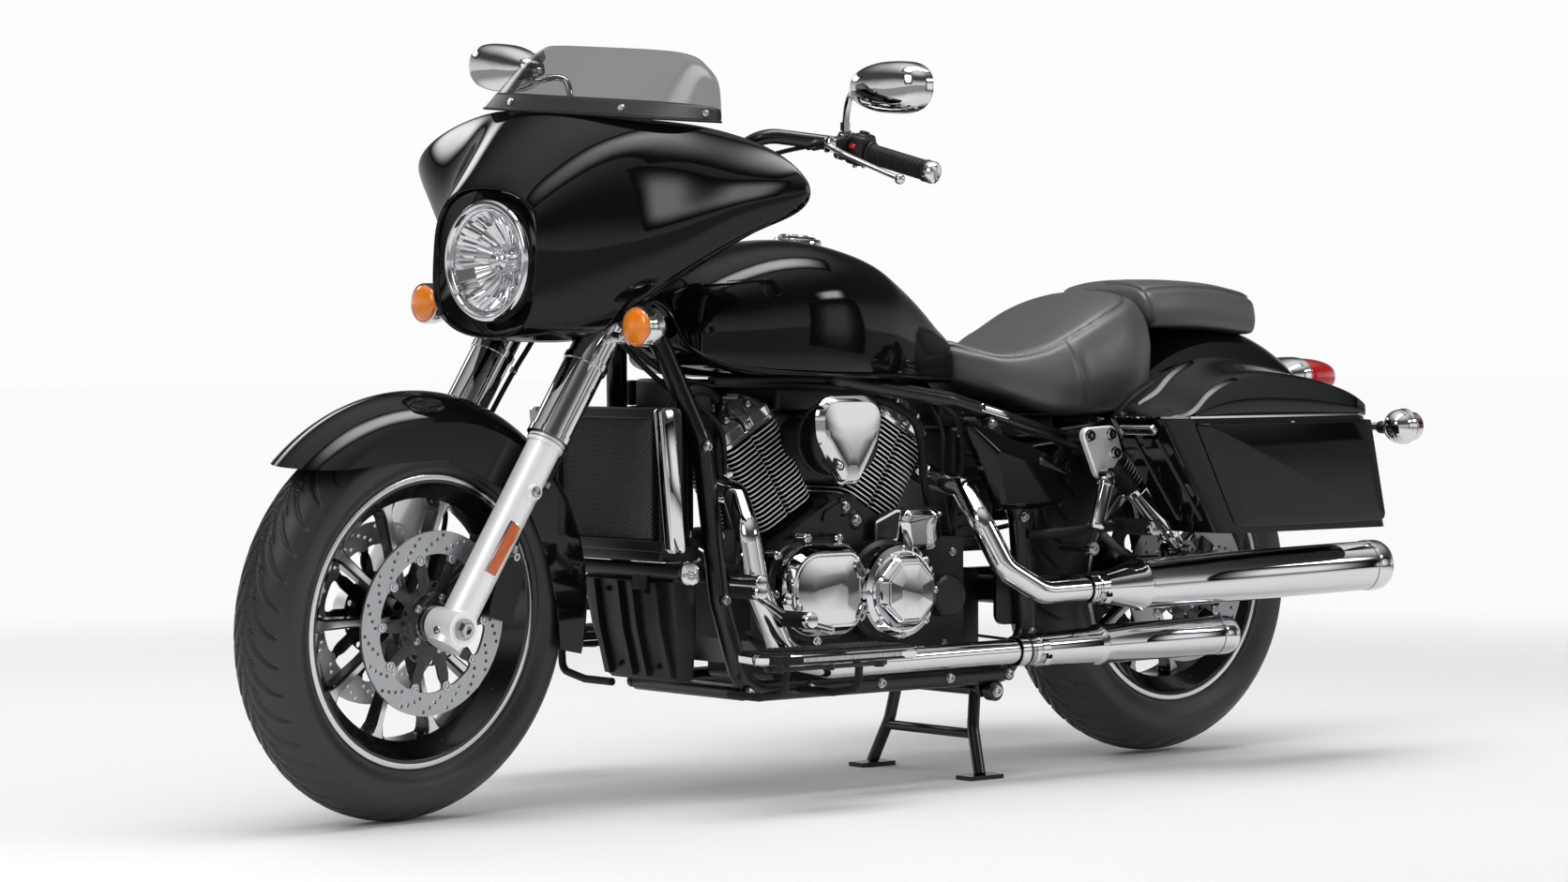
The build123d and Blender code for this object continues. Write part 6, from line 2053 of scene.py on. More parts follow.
class Bodywork:
    """Tank, seats, covers and bags."""

    def build(self) -> None:
        """Each in turn."""
        Tank().build()
        RIDER.build()
        PILLION.build()
        SideTrim().build()
        Bag(1, Body.LEFT_LID, "left_lid").build()
        Bag(-1, Body.RIGHT_LID, "right_lid").build()


# ---------------------------------------------------------------- engine bay and chassis fittings
@dataclass(frozen=True)
class EngineBay:
    """The black boxes, ducts and hoses round the cylinders."""

    # centre, size, edge radius
    boxes: tuple[tuple[Point, Point, float], ...] = (((84, 0, 690), (230, 150, 46), 9),
        ((84, 0, 600), (104, 96, 132), 12), ((370, 0, 690), (40, 172, 70), 8),
        ((230, -108, 700), (320, 20, 44), 6), ((428, 0, 560), (58, 188, 228), 12),
        ((322, -116, 500), (62, 52, 176), 14), ((-248, 0, 520), (100, 178, 226), 10),
        ((-234, 0, 300), (90, 146, 150), 12), ((-330, 0, 634), (220, 190, 36), 8),
        ((236, 96, 722), (250, 26, 14), 4), ((-206, 0, 660), (60, 150, 60), 8),
        ((330, 60, 420), (52, 70, 96), 8), ((452, 0, 428), (84, 250, 26), 6),
        ((-150, 0, 390), (90, 190, 110), 10))
    # radius, points
    hoses: tuple[tuple[float, tuple[Point, ...]],
        ...] = ((14, ((430, -84, 640), (398, -98, 672), (340, -98, 650), (300, -84, 600))),
        (14, ((430, 60, 470), (392, 84, 430), (330, 92, 396), (262, 92, 380))),
        (9, ((452, 84, 664), (420, 96, 704), (366, 92, 712), (330, 66, 690))),
        (6, ((512, 40, 800), (452, 62, 740), (392, 82, 716), (300, 100, 716), (120, 112, 712),
        (-60, 104, 700))), (5, ((508, 30, 792), (446, 50, 720), (372, 96, 672), (330, 98, 630),
        (322, 80, 560))), (8, ((-26, 60, 690), (-90, 92, 668), (-118, 98, 610), (-122, 92, 520),
        (-150, 96, 452))), (5, ((-140, 60, 700), (-190, 102, 664), (-206, 112, 600), (-196, 108, 520),
        (-176, 96, 430))), (4, ((-150, 60, 690), (-170, 100, 640), (-150, 110, 560), (-160, 112, 480),
        (-190, 100, 400), (-190, 84, 330))), (7, ((300, 40, 690), (340, 84, 640), (352, 100, 560),
        (330, 104, 470))))

    def build(self) -> None:
        """Boxes with ribs and screws, then the hoses and clips."""
        black, screws, rubber = Shape(), Shape(), Shape()
        for at, size, bevel in self.boxes:
            black.block(moved(*Vector(at)), size, bevel=bevel, segments=3)
        for z in range(430, 620, 22):
            black.block(moved(-248, 91, z), (76, 8, 5), bevel=1)
        for x in range(404, 456, 10):
            black.block(moved(x, 95, 560), (4, 6, 190), bevel=1)
        for side in (1, -1):
            at = side_view(77, side)
            hub, edge = circle(31, 40, (84, 600)), circle(27, 40, (84, 600))
            stack(black, [(hub, -26), (hub, -8), (edge, -6)], at)
        for x, y, z in ((-212, 90, 424), (-284, 90, 424), (-212, 90, 618), (-284, 90, 618), (340, 96, 454),
                (318, 96, 386)):
            screws.screw(basis((x, y, z), (0, 1, 0)), 5, 4)
        for radius, points in self.hoses:
            rubber.hose(points, radius, sides=4)
        for a, b in (((430, -84, 640), (418, -90, 652)), ((392, 84, 430), (380, 86, 424)),
                ((300, -84, 600), (308, -88, 614))):
            screws.rod(a, b, 15.4)
        black.finish("engine_bay_boxes", ABS, sharp=30)
        rubber.finish("engine_bay_hoses", RUBBER)
        screws.finish("engine_bay_clips", BOLT, sharp=30)


@dataclass(frozen=True)
class Suspension:
    """Rear shocks under chrome plates, and the small dampers ahead of them."""

    top: Point = (-483, 190, 584)
    low: Point = (-675, 190, 400)

    def build(self) -> None:
        """Both sides, mirrored."""
        chrome, black, screws = Shape(), Shape(), Shape()
        top, low = Vector(self.top), Vector(self.low)
        length = (low - top).length
        at = basis(top, low - top, (0, 1, 0))
        black.lathe(((12, 12), (23, 18), (26, 27), (26, 92), (24, 97), (0, 97)), at, steps=48)
        chrome.lathe(((26.4, 88), (28, 90), (28, 99), (26, 102), (22, 103), (21, 106), (21, length - 62),
            (23.5, length - 60), (23.5, length - 50), (19, length - 44), (14, length - 30), (11, length - 10),
            (0, length - 10)), at, steps=48)
        for h in range(34, 90, 8):
            black.lathe(((26, h - 2), (27.4, h - 1), (27.4, h + 1), (26, h + 2)), at, steps=48)
        for end in (top, low):
            chrome.rod(end - Vector((0, 17, 0)), end + Vector((0, 17, 0)), 17)
            black.rod(end - Vector((0, 19, 0)), end + Vector((0, 19, 0)), 11)
            screws.screw(basis(end + Vector((0, 19, 0)), (0, 1, 0)), 9, 9, domed=False)
        plate = cornered(((-388, 630, 15), (-476, 634, 18), (-496, 582, 26), (-440, 520, 20)), steps=6)
        spot = side_view()
        satin = Shape()
        stack(satin, [(plate, 210), (plate, 219), (inset(plate, 2.5), 222),
            (shrunk(inset(plate, 2.5), 0.6), 223)], spot)
        satin.mirrored().finish("shock_plates", SATIN, sharp=30)
        for x, z in ((-410, 616), (-462, 618), (-473, 584)):
            screws.screw(basis((x, 222.6, z), (0, 1, 0)), 9, 7, domed=False)
            black.rod((x, 172, z), (x, 212, z), 11)
        # the small damper
        high, foot = Vector((-440, 238, 546)), Vector((-398, 238, 412))
        at = basis(high, foot - high, (0, 1, 0))
        chrome.lathe(((8, 6), (15, 9), (16, 12), (16, 20), (14.5, 22), (14.5, 92), (15.5, 94), (15.5, 99),
            (13, 103), (0, 103)), at, steps=36)
        black.rod(high, foot, 6)
        for end in (high, foot):
            chrome.rod(end - Vector((0, 9, 0)), end + Vector((0, 9, 0)), 12)
            screws.screw(basis(end + Vector((0, 9, 0)), (0, 1, 0)), 7, 6, domed=False)
        black.rod(high - Vector((0, 26, 0)), high, 8)
        black.rod(foot - Vector((0, 80, 0)), foot, 8)
        chrome.mirrored().finish("shock_chrome", CHROME, sharp=32, replaces=("rear_shocks",))
        black.mirrored().finish("shock_shrouds", ABS)
        screws.mirrored().finish("shock_bolts", BOLT, sharp=30)


@dataclass(frozen=True)
class Exhaust:
    """Two mufflers with joint rings, cones, seams and rounded ends."""

    # start, end, pipe radius, full radius, cone's end
    mufflers: tuple[tuple[Point, Point, float, float, float],
        ...] = (((-372.5, 262, 342), (-1092, 300, 360), 25, 47, 110),
        ((-216.5, 240, 236), (-748, 240, 240), 25, 36, 190))

    def build(self) -> None:
        """Shells, dark gaps and bores, clamps with screws."""
        shell, dark, screws = Shape(), Shape(), Shape()
        for start, end, pipe, full, cone in self.mufflers:
            a, b = Vector(start), Vector(end)
            length = (b - a).length
            at = basis(a, b - a, (0, 1, 0))
            tip = length - 34
            shell.lathe([(pipe, -8), (pipe + 2.6, -8), (pipe + 2.6, 10), (pipe + 1.2, 11), (pipe + 1.2, 26),
                (pipe + 2.5, 32), (full - 4, cone - 8), (full - 0.6, cone), (full + 0.8, cone + 2),
                (full + 0.8, cone + 7), (full - 0.4, cone + 9), (full - 0.4, tip - 6), (full + 0.8, tip - 4),
                (full + 1.2, tip), (full + 1.2, tip + 18), (full, tip + 26), (full - 3, tip + 32),
                (full - 7, tip + 34), (full - 11, tip + 32), (full - 13, tip + 26), (full - 13, tip - 34)],
                at, steps=96)
            dark.lathe(((pipe + 2.8, 10), (pipe + 3.2, 11), (pipe + 3.2, 14), (pipe + 1, 15)), at, steps=72)
            dark.lathe(((full - 13.4, tip + 12), (full - 14, tip + 6), (full - 14, tip - 40), (0, tip - 40)),
                at, steps=48)
            dark.lathe(((full - 0.3, tip - 9), (full + 0.1, tip - 8.6), (full + 0.1, tip - 7.4),
                (full - 0.3, tip - 7)), at, steps=72)
            for h in (-2, 4) if full > 40 else (18, 24):
                dark.lathe(((pipe + 2.4, h - 0.6), (pipe + 2.8, h - 0.5), (pipe + 2.8, h + 0.5),
                    (pipe + 2.4, h + 0.6)), at, steps=72)
            clamp = at @ moved(0, 0, 46 if full < 40 else 18)
            shell.lathe(((pipe + 1, -9), (pipe + 5, -8.4), (pipe + 5, 8.4), (pipe + 1, 9)), clamp, steps=60)
            side = clamp @ Matrix.Rotation(-1.0, 4, "Z")
            shell.block(side @ moved(0, pipe + 8, 0), (15, 12, 15), bevel=2)
            for z in (-4, 4):
                screws.screw(side @ moved(8, pipe + 9, z) @ Matrix.Rotation(math.pi / 2, 4, "Y"), 2.6, 4)
        shell.finish("muffler_shells", CHROME, sharp=34, replaces=("mufflers",))
        dark.finish("muffler_gaps", ABS)
        screws.finish("muffler_screws", DARK_STEEL)


@dataclass(frozen=True)
class FootControls:
    """Ribbed floorboards with bright edges, ribbed pegs and their chrome ends."""

    def build(self) -> None:
        """One side, then mirrored."""
        pad, chrome, screws, black = Shape(), Shape(), Shape(), Shape()
        top = moved(300, 338, 268)
        edge = cornered(((152, -58, 8), (166, 6, 20), (120, 60, 34), (-150, 60, 12), (-150, -58, 12)),
            steps=6)
        terrace(chrome, edge, ((10, -17), (1, -14), (0, -10), (0, -3), (5, 2), (9, 2)), top)
        terrace(pad, edge, ((9, -4), (9.4, 4), (11, 5)), top)
        for x in range(-132, 136, 12):
            reach = 42 if x < 100 else 36 - (x - 100) * 0.5
            pad.block(top @ moved(x, 0, 6), (6.5, 2 * reach, 4), bevel=1.4)
        for x in (-110, 0, 110):
            screws.screw(top @ moved(x, 0, -18) @ Matrix.Rotation(math.pi, 4, "X"), 7, 8)
            black.rod((300 + x, 338, 236), (300 + x, 338, 254), 9)
        black.block(top @ moved(0, -8, -24), (250, 26, 12), bevel=3)
        for x, z, y0, y1, radius in ((330, 320, 256, 330, 14), (438, 388, 256, 330, 13),
                (438, 372, 256, 330, 13), (-486, 450, 214, 318, 15)):
            along = y1 - y0
            at = basis((x, y0, z), (0, 1, 0))
            rings = [(radius - 3, 3)]
            for k in range(int((along - 14) / 7)):
                rings += [(radius, 4 + 7 * k), (radius, 8 + 7 * k), (radius - 1.6, 8.8 + 7 * k),
                    (radius - 1.6, 10.2 + 7 * k)]
            pad.lathe(rings + [(0, rings[-1][1])], at, steps=32)
            chrome.lathe(((radius * 0.7, along - 12), (radius, along - 11), (radius, along - 2),
                (radius - 2, along + 1), (0, along + 2)), at, steps=32)
        chrome.mirrored().finish("footrest_chrome", CHROME, sharp=26)
        pad.mirrored().finish("footrest_rubbers", RUBBER)
        screws.mirrored().finish("footrest_bolts", BOLT)
        black.mirrored().finish("footrest_brackets", POWDER)


@dataclass(frozen=True)
class Chassis:
    """The frame's bolts and bosses, the rear axle's nut, and the rear caliper's face."""

    def build(self) -> None:
        """Bolts and bosses of the frame, then the caliper."""
        bolts, black = Shape(), Shape()
        for x, y, z in ((379, 158, 348), (336, 168, 188), (200, 168, 188), (40, 168, 188), (-120, 168, 188),
                (-262, 168, 188), (-318, 168, 260), (-300, 168, 470), (402, 138, 610), (-222, 168, 640)):
            spot = basis((x, y, z), (0, 1, 0))
            bolts.screw(spot, 7, 6)
            black.lathe(((12, -10), (12, 0), (11, 0.6), (0, 0.6)), spot, steps=28)
        spot = basis((-232, 168, 158), (0, 1, 0))
        black.lathe(((18, -20), (18, -3), (16, -1), (0, -1)), spot, steps=36)
        bolts.screw(spot, 9, 5, domed=False)
        spot = basis((-770, 175, 330), (0, 1, 0))
        bolts.lathe(((20, -6), (20, -1), (18, 1), (15, 1), (14.6, 8), (13, 9), (7, 9), (6, 4), (0, 4)), spot,
            steps=6)
        for x in (-735, -805):
            bolts.screw(basis((x, 162, 335), (0, 1, 0)), 6, 5)
        bolts.mirrored().finish("frame_bolts", BOLT, sharp=30)
        black.mirrored().finish("frame_bosses", FRAME_PAINT)
        self.caliper()

    def caliper(self) -> None:
        """The rear caliper's body with its bolts."""
        body, bolts = Shape(), Shape()
        at = side_view()
        outline = cornered(((-604, 300, 12), (-600, 372, 16), (-640, 388, 14), (-672, 380, 12),
            (-674, 318, 12), (-640, 296, 14)), steps=5)
        terrace(body, outline, ((0, 112), (0, 131), (4, 136), (12, 138), (15, 141)), at)
        for x, z in ((-618, 366), (-658, 330)):
            bolts.screw(basis((x, 137, z), (0, 1, 0)), 6, 6)
        body.finish("rear_caliper_face", SATIN, sharp=30)
        bolts.finish("rear_caliper_bolts", BOLT)


# ---------------------------------------------------------------- handlebar
@dataclass(frozen=True)
class Bars:
    """Grips, switches, levers and mirrors, on the straight-ahead bar."""

    grip_in: Point = (283, 385, 1136)
    grip_out: Point = (262, 500, 1112)
    mirror: Point = (345, 470, 1248)

    def along(self, share: float, off: Sequence[float] = (0, 0, 0)) -> Vector:
        """A point on the grip's line, in millimetres."""
        return Vector(self.grip_in).lerp(Vector(self.grip_out), share) + Vector(off)

    def build(self) -> None:
        """Each group on the left, mirrored to the right."""
        self.grip()
        self.switches()
        self.lever()
        self.mirrors()

    def grip(self) -> None:
        """A ribbed rubber grip with flanges and a chrome end."""
        run = Vector(self.grip_out) - Vector(self.grip_in)
        at = basis(Vector(self.grip_in), run)
        rubber, chrome = Steered(), Steered()
        rings = [(13, -2), (20, -1.5), (21, 0), (20.4, 3), (17, 5)]
        for k in range(14):
            rings += [(17.2, 7 + k * 7.2), (17.2, 11.2 + k * 7.2), (16.3, 12 + k * 7.2),
                (16.3, 13.4 + k * 7.2)]
        rubber.lathe(rings + [(18.2, 110), (19, 112), (19, 116), (17.5, 118), (0, 118)], at, steps=40)
        chrome.lathe(((15, 117), (18.4, 117.4), (18.8, 119), (18.8, 128), (17, 133), (11, 135), (9.6, 133),
            (0, 132)), at, steps=48)
        rubber.mirrored().finish("grip_rubbers", RUBBER, replaces=("grips",))
        chrome.mirrored().finish("grip_ends", CHROME)

    def switches(self) -> None:
        """Split housings with buttons, the lever perches and their clamps."""
        black, bright, red = Steered(), Steered(), Steered()
        run = Vector(self.grip_out) - Vector(self.grip_in)
        box = basis(self.along(-0.17), run, (0, 0, 1))
        black.block(box, (50, 44, 34), bevel=8, segments=4)
        black.block(box @ moved(9, -4, 0), (40, 40, 24), bevel=6, segments=3)
        black.lathe(((24, -20), (24, -17.5), (22, -16), (0, -16)), box, steps=40)
        for side in (-1, 1):
            black.block(box @ moved(side * 14, -23, 3), (9, 7, 14), bevel=2.4)
        black.lathe(((9, 20), (9, 30), (8, 33), (0, 33)), box @ Matrix.Rotation(math.pi / 2, 4, "Y"),
            steps=24)
        for y in (22.6, -22.6):
            red.block(box @ moved(6, y, -4), (9, 5, 13), bevel=1.8)
        for y in (-14, 14):
            bright.screw(box @ moved(-26, y, 4) @ Matrix.Rotation(-math.pi / 2, 4, "Y"), 3.4, 3)
        perch = self.along(-0.42)
        clamp = basis(perch, run)
        black.block(clamp, (42, 46, 22), bevel=6, segments=3)
        black.block(clamp @ moved(30, -6, 6), (44, 24, 22), bevel=6, segments=3)
        for y in (-17, 17):
            bright.screw(clamp @ moved(20, y, 0) @ Matrix.Rotation(math.pi / 2, 4, "Y"), 4, 4)
        black.rod(perch + Vector((40, -4, 4)), perch + Vector((46, -46, -4)), 7)
        bright.rod(perch + Vector((44, -24, 0)), perch + Vector((45, -34, -2)), 9.5, sides=16)
        black.hose([perch + Vector((46, -44, -4)), perch + Vector((60, -92, -14)),
            perch + Vector((84, -150, -40)), perch + Vector((100, -190, -90))], 4)
        black.mirrored().finish("switch_boxes", ABS, sharp=30, replaces=("hand_controls",))
        bright.mirrored().finish("control_screws", BOLT, sharp=30)
        red.mirrored().finish("control_buttons", RED, sharp=30)

    def lever(self) -> None:
        """A flattened chrome blade with a ball at its end, and its pivot bolt."""
        chrome = Steered()
        knuckle = self.along(-0.34, (56, 0, 2))
        tip = Vector((328, 494, 1098))
        bend = self.along(0.05, (62, 0, -4))
        rings = []
        for row in between(((*knuckle, 8, 6), (*knuckle.lerp(bend, 0.5), 8.5, 5.5), (*bend, 8, 5),
                (*bend.lerp(tip, 0.5), 7, 4.6), (*tip, 5, 4.2)), 24):
            at, wide, thick = Vector(row[:3]), row[3], row[4]
            rings.append([at + Vector((wide * math.cos(a), 0, thick * math.sin(a)))
                for a in (math.tau * i / 20 for i in range(20))])
        chrome.loft(rings)
        chrome.ball(tip, 9)
        pivot = basis(knuckle + Vector((-4, 2, 0)), (0, 0, 1))
        chrome.lathe(((0, -12), (10, -12), (11, -10), (11, 10), (10, 12), (0, 12)), pivot, steps=32)
        chrome.screw(pivot @ moved(0, 0, 12), 6, 4, domed=False)
        chrome.mirrored().finish("levers", CHROME, sharp=34)

    def mirrors(self) -> None:
        """Domed chrome shells, the glass in a rim, and bent stems with ball joints."""
        shell, glass = Steered(), Steered()
        centre = Vector(self.mirror)
        at = basis(centre, (1, -0.04, -0.02), (0, 1, 0))
        tall = 43 if at.col[1].z > 0 else -43
        oval = []
        for i in range(72):
            a = math.tau * i / 72
            c, s = math.cos(a), math.sin(a)
            oval.append((86 * math.copysign(abs(c) ** 0.86, c),
                tall * (1 + 0.14 * c) * math.copysign(abs(s) ** 0.84, s) + tall * 0.08 * c))
        stack(shell, [(oval, -20), (oval, -8), (shrunk(oval, 0.985), -1), (shrunk(oval, 0.94), 7),
            (shrunk(oval, 0.85), 14), (shrunk(oval, 0.7), 20), (shrunk(oval, 0.5), 24.5),
            (shrunk(oval, 0.26), 27), (shrunk(oval, 0.05), 27.6)], at)
        rim = ((oval, -19), (oval, -21.5), (shrunk(oval, 0.965), -22), (shrunk(oval, 0.95), -20))
        stack(shell, rim, at, caps=False)
        glass.plate(shrunk(oval, 0.955)[::-1], at @ moved(0, 0, -20.5) @ Matrix.Rotation(math.pi, 4, "X")
            @ Matrix.Diagonal((1, -1, 1, 1)), 1.0)
        base = self.along(-0.42, (4, 0, 24))
        joint = centre + Vector((-2, -52, -16))
        shell.rod(self.along(-0.42, (2, 0, 14)), base, 12, sides=6)
        shell.hose([base, base + Vector((2, 0, 40)), base + Vector((6, 18, 72)),
            joint + Vector((-2, -26, -6)), joint], 6.2)
        shell.rod(base + Vector((0, 0, 2)), base + Vector((1, 0, 16)), 9, sides=6)
        shell.ball(joint, 12)
        shell.rod(joint, joint + Vector((4, 16, 6)), 10, 13)
        shell.mirrored().finish("mirror_shells", CHROME, sharp=40, replaces=("mirrors",))
        glass.mirrored().finish("mirror_glass", CHROME)


# ---------------------------------------------------------------- tail
@dataclass(frozen=True)
class Tail:
    """The tail lamp, the rear signals and the reflector on the fender."""

    lamp_z: float = 716.0

    def build(self) -> None:
        """Housing, lenses, the signals' balls and collars, and the reflector."""
        chrome, red, orange, black = Shape(), Shape(), Shape(), Shape()
        self.lamp(chrome, ((-1112, 46, 22), (-1122, 56, 29), (-1136, 64, 36), (-1150, 67, 39),
            (-1156, 67, 39), (-1157, 62, 34)))
        self.lamp(red, ((-1150, 61, 33), (-1162, 65, 37), (-1196, 63, 36), (-1226, 56, 31), (-1244, 46, 23),
            (-1252, 26, 11)))
        for side in (1, -1):
            ball = Vector((-1158, side * 296, 622))
            at = basis(ball, (-1, 0, 0), (0, 1, 0))
            chrome.lathe([(33 * math.sin(a), -33 * math.cos(a))
                for a in (math.pi / 2 * i / 12 for i in range(13))]
                + [(33.6, 5), (34.4, 7), (34.4, 11), (32, 12.5), (0, 12.5)], at, steps=56)
            orange.lathe(((30.5, 12), (30, 17), (27, 23), (19, 28), (8, 30.5), (0, 31)), at, steps=48)
            black.lathe(((11, -2), (12, 0), (12, 12), (9, 16)), basis((-1150, side * 252, 620), (0, side, 0)),
                steps=28)
        plate = basis((-1216, 0, 548), (-0.97, 0, 0.2), (0, 1, 0))
        red.block(plate @ moved(0, 0, 4), (70, 26, 8), bevel=3)
        chrome.finish("tail_chrome", CHROME, sharp=34, replaces=("tail_light",))
        red.finish("tail_lenses", RED, sharp=34)
        orange.finish("rear_signal_lenses", ORANGE)
        black.finish("rear_signal_collars", ABS)

    def lamp(self, shape: Shape, rows: Sequence[tuple[float, float, float]]) -> None:
        """A rounded body whose sections are x, half width, half height.

        Args:
            shape: The mesh that gets it.
            rows: The sections, in millimetres.
        """
        rings = []
        for x, wide, high in between(rows, 4 * len(rows)):
            rings.append([(x, wide * math.copysign(abs(math.cos(a)) ** 0.7, math.cos(a)),
                self.lamp_z + high * math.copysign(abs(math.sin(a)) ** 0.8, math.sin(a)))
                for a in (math.tau * i / 56 for i in range(56))])
        shape.loft(rings)


# ---------------------------------------------------------------- the studio
@dataclass
class Studio:
    """A pale floor, a pale backdrop and soft boxes round the machine."""

    floor_colour: str = "E0E0E0"
    floor_half: float = 60.0
    near: float = 2.0
    far: float = 5.0
    camera_at: Point = (4.530, 5.457, 0.789)
    camera_to: Point = (0.188, 0.080, 0.615)
    camera_roll: float = math.radians(-0.19)
    lens_mm: float = 90.8
    # name, place, aim, width, height, watts, brightness seen in paint and chrome
    boxes: Sequence[tuple[str, Point, Point, float, float, float, float]] = (
        ("overhead", (0.1, 0.5, 3.4), (0.1, 0.0, 0.6), 4.8, 1.3, 84.0, 12.0),
        ("front_left", (3.6, 1.2, 2.5), (0.5, 0.0, 0.8), 1.8, 2.6, 40.0, 5.0),
        ("rear_left", (-2.8, 3.4, 2.6), (-0.4, 0.0, 0.6), 2.4, 0.9, 40.0, 11.0),
        ("right_rim", (0.4, -3.6, 2.6), (0.0, 0.0, 0.6), 3.6, 1.0, 50.0, 5.0),
        ("left_wall", (-3.4, 4.2, 1.1), (0.0, 0.0, 0.9), 3.6, 2.6, 24.0, 1.0))

    def build(self) -> None:
        """Makes the floor, the world, the lamps and the camera."""
        scene = bpy.context.scene
        scene.view_settings.view_transform = "Standard"
        self.make_floor()
        self.make_world(scene)
        for box in self.boxes:
            self.make_box(*box)
        self.make_camera(scene)

    def make_floor(self) -> None:
        """A wide matt floor that fades to the backdrop's white away from the machine."""
        matt, tree = new_material("matt_floor")
        shader = tree.nodes["Principled BSDF"]
        shader.inputs["Base Color"].default_value = linear(self.floor_colour)
        shader.inputs["Roughness"].default_value = 0.9
        shader.inputs["Specular IOR Level"].default_value = 0.1
        place = add_node(tree, "TexCoord")
        away = add_node(tree, "VectorMath", {"operation": "LENGTH"}, {0: place.outputs["Object"]})
        edge = add_node(tree, "MapRange", {"interpolation_type": "SMOOTHSTEP", "From Min": self.near,
            "From Max": self.far}, {"Value": away.outputs["Value"]})
        rays = add_node(tree, "LightPath")
        level = add_node(tree, "MapRange", {"To Min": 0.34, "To Max": 0.96},
            {"Value": rays.outputs["Is Camera Ray"]})
        glow = add_node(tree, "Emission", {"Color": (1, 1, 1, 1)}, {"Strength": level.outputs["Result"]})
        mix = add_node(tree, "MixShader", None, {0: edge.outputs["Result"], 1: shader.outputs[0],
            2: glow.outputs[0]})
        tree.links.new(mix.outputs[0], tree.nodes["Material Output"].inputs["Surface"])
        self.sheet("floor", 2 * self.floor_half, 2 * self.floor_half, matt)

    def sheet(self, name: str, across: float, along: float, matter: bpy.types.Material) -> bpy.types.Object:
        """A flat sheet that belongs to the studio.

        Args:
            name: Its name.
            across: Its width, in metres.
            along: Its length.
            matter: Its material.

        Returns:
            The sheet.
        """
        bm = bmesh.new()
        bmesh.ops.create_grid(bm, x_segments=1, y_segments=1, size=0.5)
        bmesh.ops.scale(bm, vec=(across, along, 1.0), verts=bm.verts[:])
        mesh = bpy.data.meshes.new(name)
        bm.to_mesh(mesh)
        bm.free()
        mesh.materials.append(matter)
        made = bpy.data.objects.new(name, mesh)
        bpy.context.scene.collection.objects.link(made)
        return made

    def make_world(self, scene: bpy.types.Scene) -> None:
        """White for the camera; for metal and glass a pale horizon under a darker sky.

        Args:
            scene: The scene that gets the world.
        """
        world = bpy.data.worlds.new("studio_world")
        scene.world = world
        world.use_nodes = True
        tree = world.node_tree
        back = tree.nodes["Background"]
        way = add_node(tree, "TexCoord")
        height = add_node(tree, "SeparateXYZ", links={"Vector": way.outputs["Generated"]})
        low = add_node(tree, "MapRange", {"interpolation_type": "SMOOTHSTEP", "From Min": 0.0,
            "From Max": 0.34, "To Min": 0.8, "To Max": 0.07}, {"Value": height.outputs["Z"]})
        high = add_node(tree, "MapRange", {"interpolation_type": "SMOOTHSTEP", "From Min": 0.5,
            "From Max": 1.0, "To Min": 0.0, "To Max": 0.9}, {"Value": height.outputs["Z"]})
        fade = add_node(tree, "Math", {"operation": "ADD"},
            {0: low.outputs["Result"], 1: high.outputs["Result"]})
        rays = add_node(tree, "LightPath")
        shiny = add_node(tree, "Math", {"operation": "MAXIMUM"},
            {0: rays.outputs["Is Glossy Ray"], 1: rays.outputs["Is Transmission Ray"]})
        other = add_node(tree, "Mix", {"data_type": "FLOAT", 2: 0.56},
            {0: shiny.outputs["Value"], 3: fade.outputs["Value"]})
        seen = add_node(tree, "Mix", {"data_type": "FLOAT", 3: 0.98},
            {0: rays.outputs["Is Camera Ray"], 2: other.outputs[0]})
        tree.links.new(seen.outputs[0], back.inputs["Strength"])
        back.inputs["Color"].default_value = (1.0, 1.0, 1.0, 1.0)

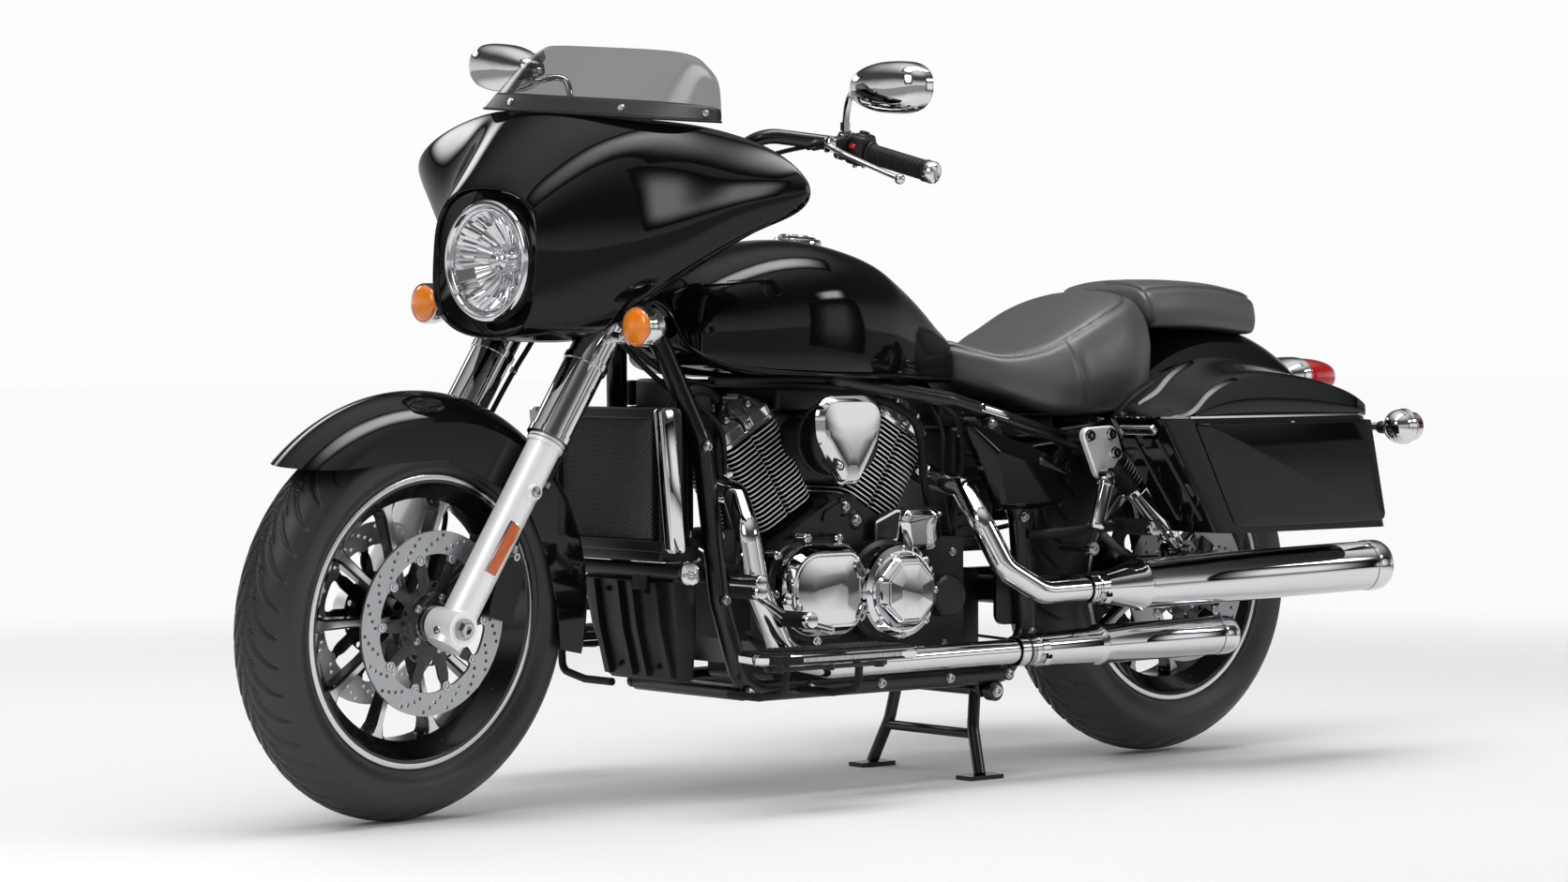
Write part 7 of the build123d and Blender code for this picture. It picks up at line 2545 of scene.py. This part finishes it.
    def make_box(self, name: str, place: Point, aim: Point, across: float, along: float, watts: float,
            shine: float) -> None:
        """One soft box: a lamp for matt surfaces, and a sheet fading at its edges for shiny ones.

        Args:
            name: The lamp's name.
            place: Where it hangs, in metres.
            aim: What it faces.
            across: Its width.
            along: Its height.
            watts: Its power.
            shine: The sheet's brightness at its middle.
        """
        lamp = bpy.data.lights.new(name, "AREA")
        lamp.shape = "RECTANGLE"
        lamp.size, lamp.size_y = across, along
        lamp.energy = watts
        made = bpy.data.objects.new(name, lamp)
        made.location = place
        made.rotation_euler = (Vector(aim) - Vector(place)).to_track_quat("-Z", "Y").to_euler()
        made.visible_glossy = False
        bpy.context.scene.collection.objects.link(made)
        cloth, tree = new_material(f"{name}_cloth")
        place_node = add_node(tree, "TexCoord")
        parts = add_node(tree, "SeparateXYZ", links={"Vector": place_node.outputs["Object"]})
        fades = []
        for axis, width in (("X", across), ("Y", along)):
            size = add_node(tree, "Math", {"operation": "ABSOLUTE"}, {0: parts.outputs[axis]})
            fades.append(add_node(tree, "MapRange", {"interpolation_type": "SMOOTHERSTEP",
                "From Min": width * 0.5, "From Max": width * 0.08}, {"Value": size.outputs[0]}))
        both = add_node(tree, "Math", {"operation": "MULTIPLY"},
            {0: fades[0].outputs[0], 1: fades[1].outputs[0]})
        level = add_node(tree, "Math", {"operation": "MULTIPLY", 1: shine}, {0: both.outputs[0]})
        glow = add_node(tree, "Emission", None, {"Strength": level.outputs[0]})
        tree.links.new(glow.outputs[0], tree.nodes["Material Output"].inputs["Surface"])
        sheet = self.sheet(f"{name}_sheet", across, along, cloth)
        sheet.location, sheet.rotation_euler = made.location, made.rotation_euler
        for rays in ("camera", "diffuse", "shadow", "transmission"):
            setattr(sheet, f"visible_{rays}", False)

    def make_camera(self, scene: bpy.types.Scene) -> None:
        """A long lens at the standing view of the machine's left front.

        Args:
            scene: The scene that gets the camera.
        """
        lens = bpy.data.cameras.new("camera")
        lens.lens = self.lens_mm
        lens.sensor_width = 36.0
        made = bpy.data.objects.new("camera", lens)
        place, aim = Vector(self.camera_at), Vector(self.camera_to)
        turn = (aim - place).to_track_quat("-Z", "Y").to_matrix().to_4x4()
        made.matrix_world = Matrix.Translation(place) @ turn @ Matrix.Rotation(self.camera_roll, 4, "Z")
        scene.collection.objects.link(made)
        scene.camera = made


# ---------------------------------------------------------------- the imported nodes
def dress_nodes(frame: dict) -> None:
    """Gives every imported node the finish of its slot.

    Args:
        frame: The loaded frame.
    """
    for entry in frame["record"]["subparts"]:
        node = frame["nodes"][entry["node"]]
        finish = NODE_FINISHES[Slot(entry["material_slot"])]
        for place in node.material_slots:
            place.material = finish.material()


def main() -> None:
    """Builds the studio, dresses the nodes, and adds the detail."""
    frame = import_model()
    Studio().build()
    dress_nodes(frame)
    for part in (Wheels, Fairing, Headlamp, Screen, FrontEnd, Engine, Bodywork, EngineBay, Suspension,
            Exhaust, FootControls, Chassis, Bars, Tail):
        part().build()
        log.info("%s done", part.__name__)


if __name__ == "__main__":
    logging.basicConfig(level=logging.INFO)
    main()
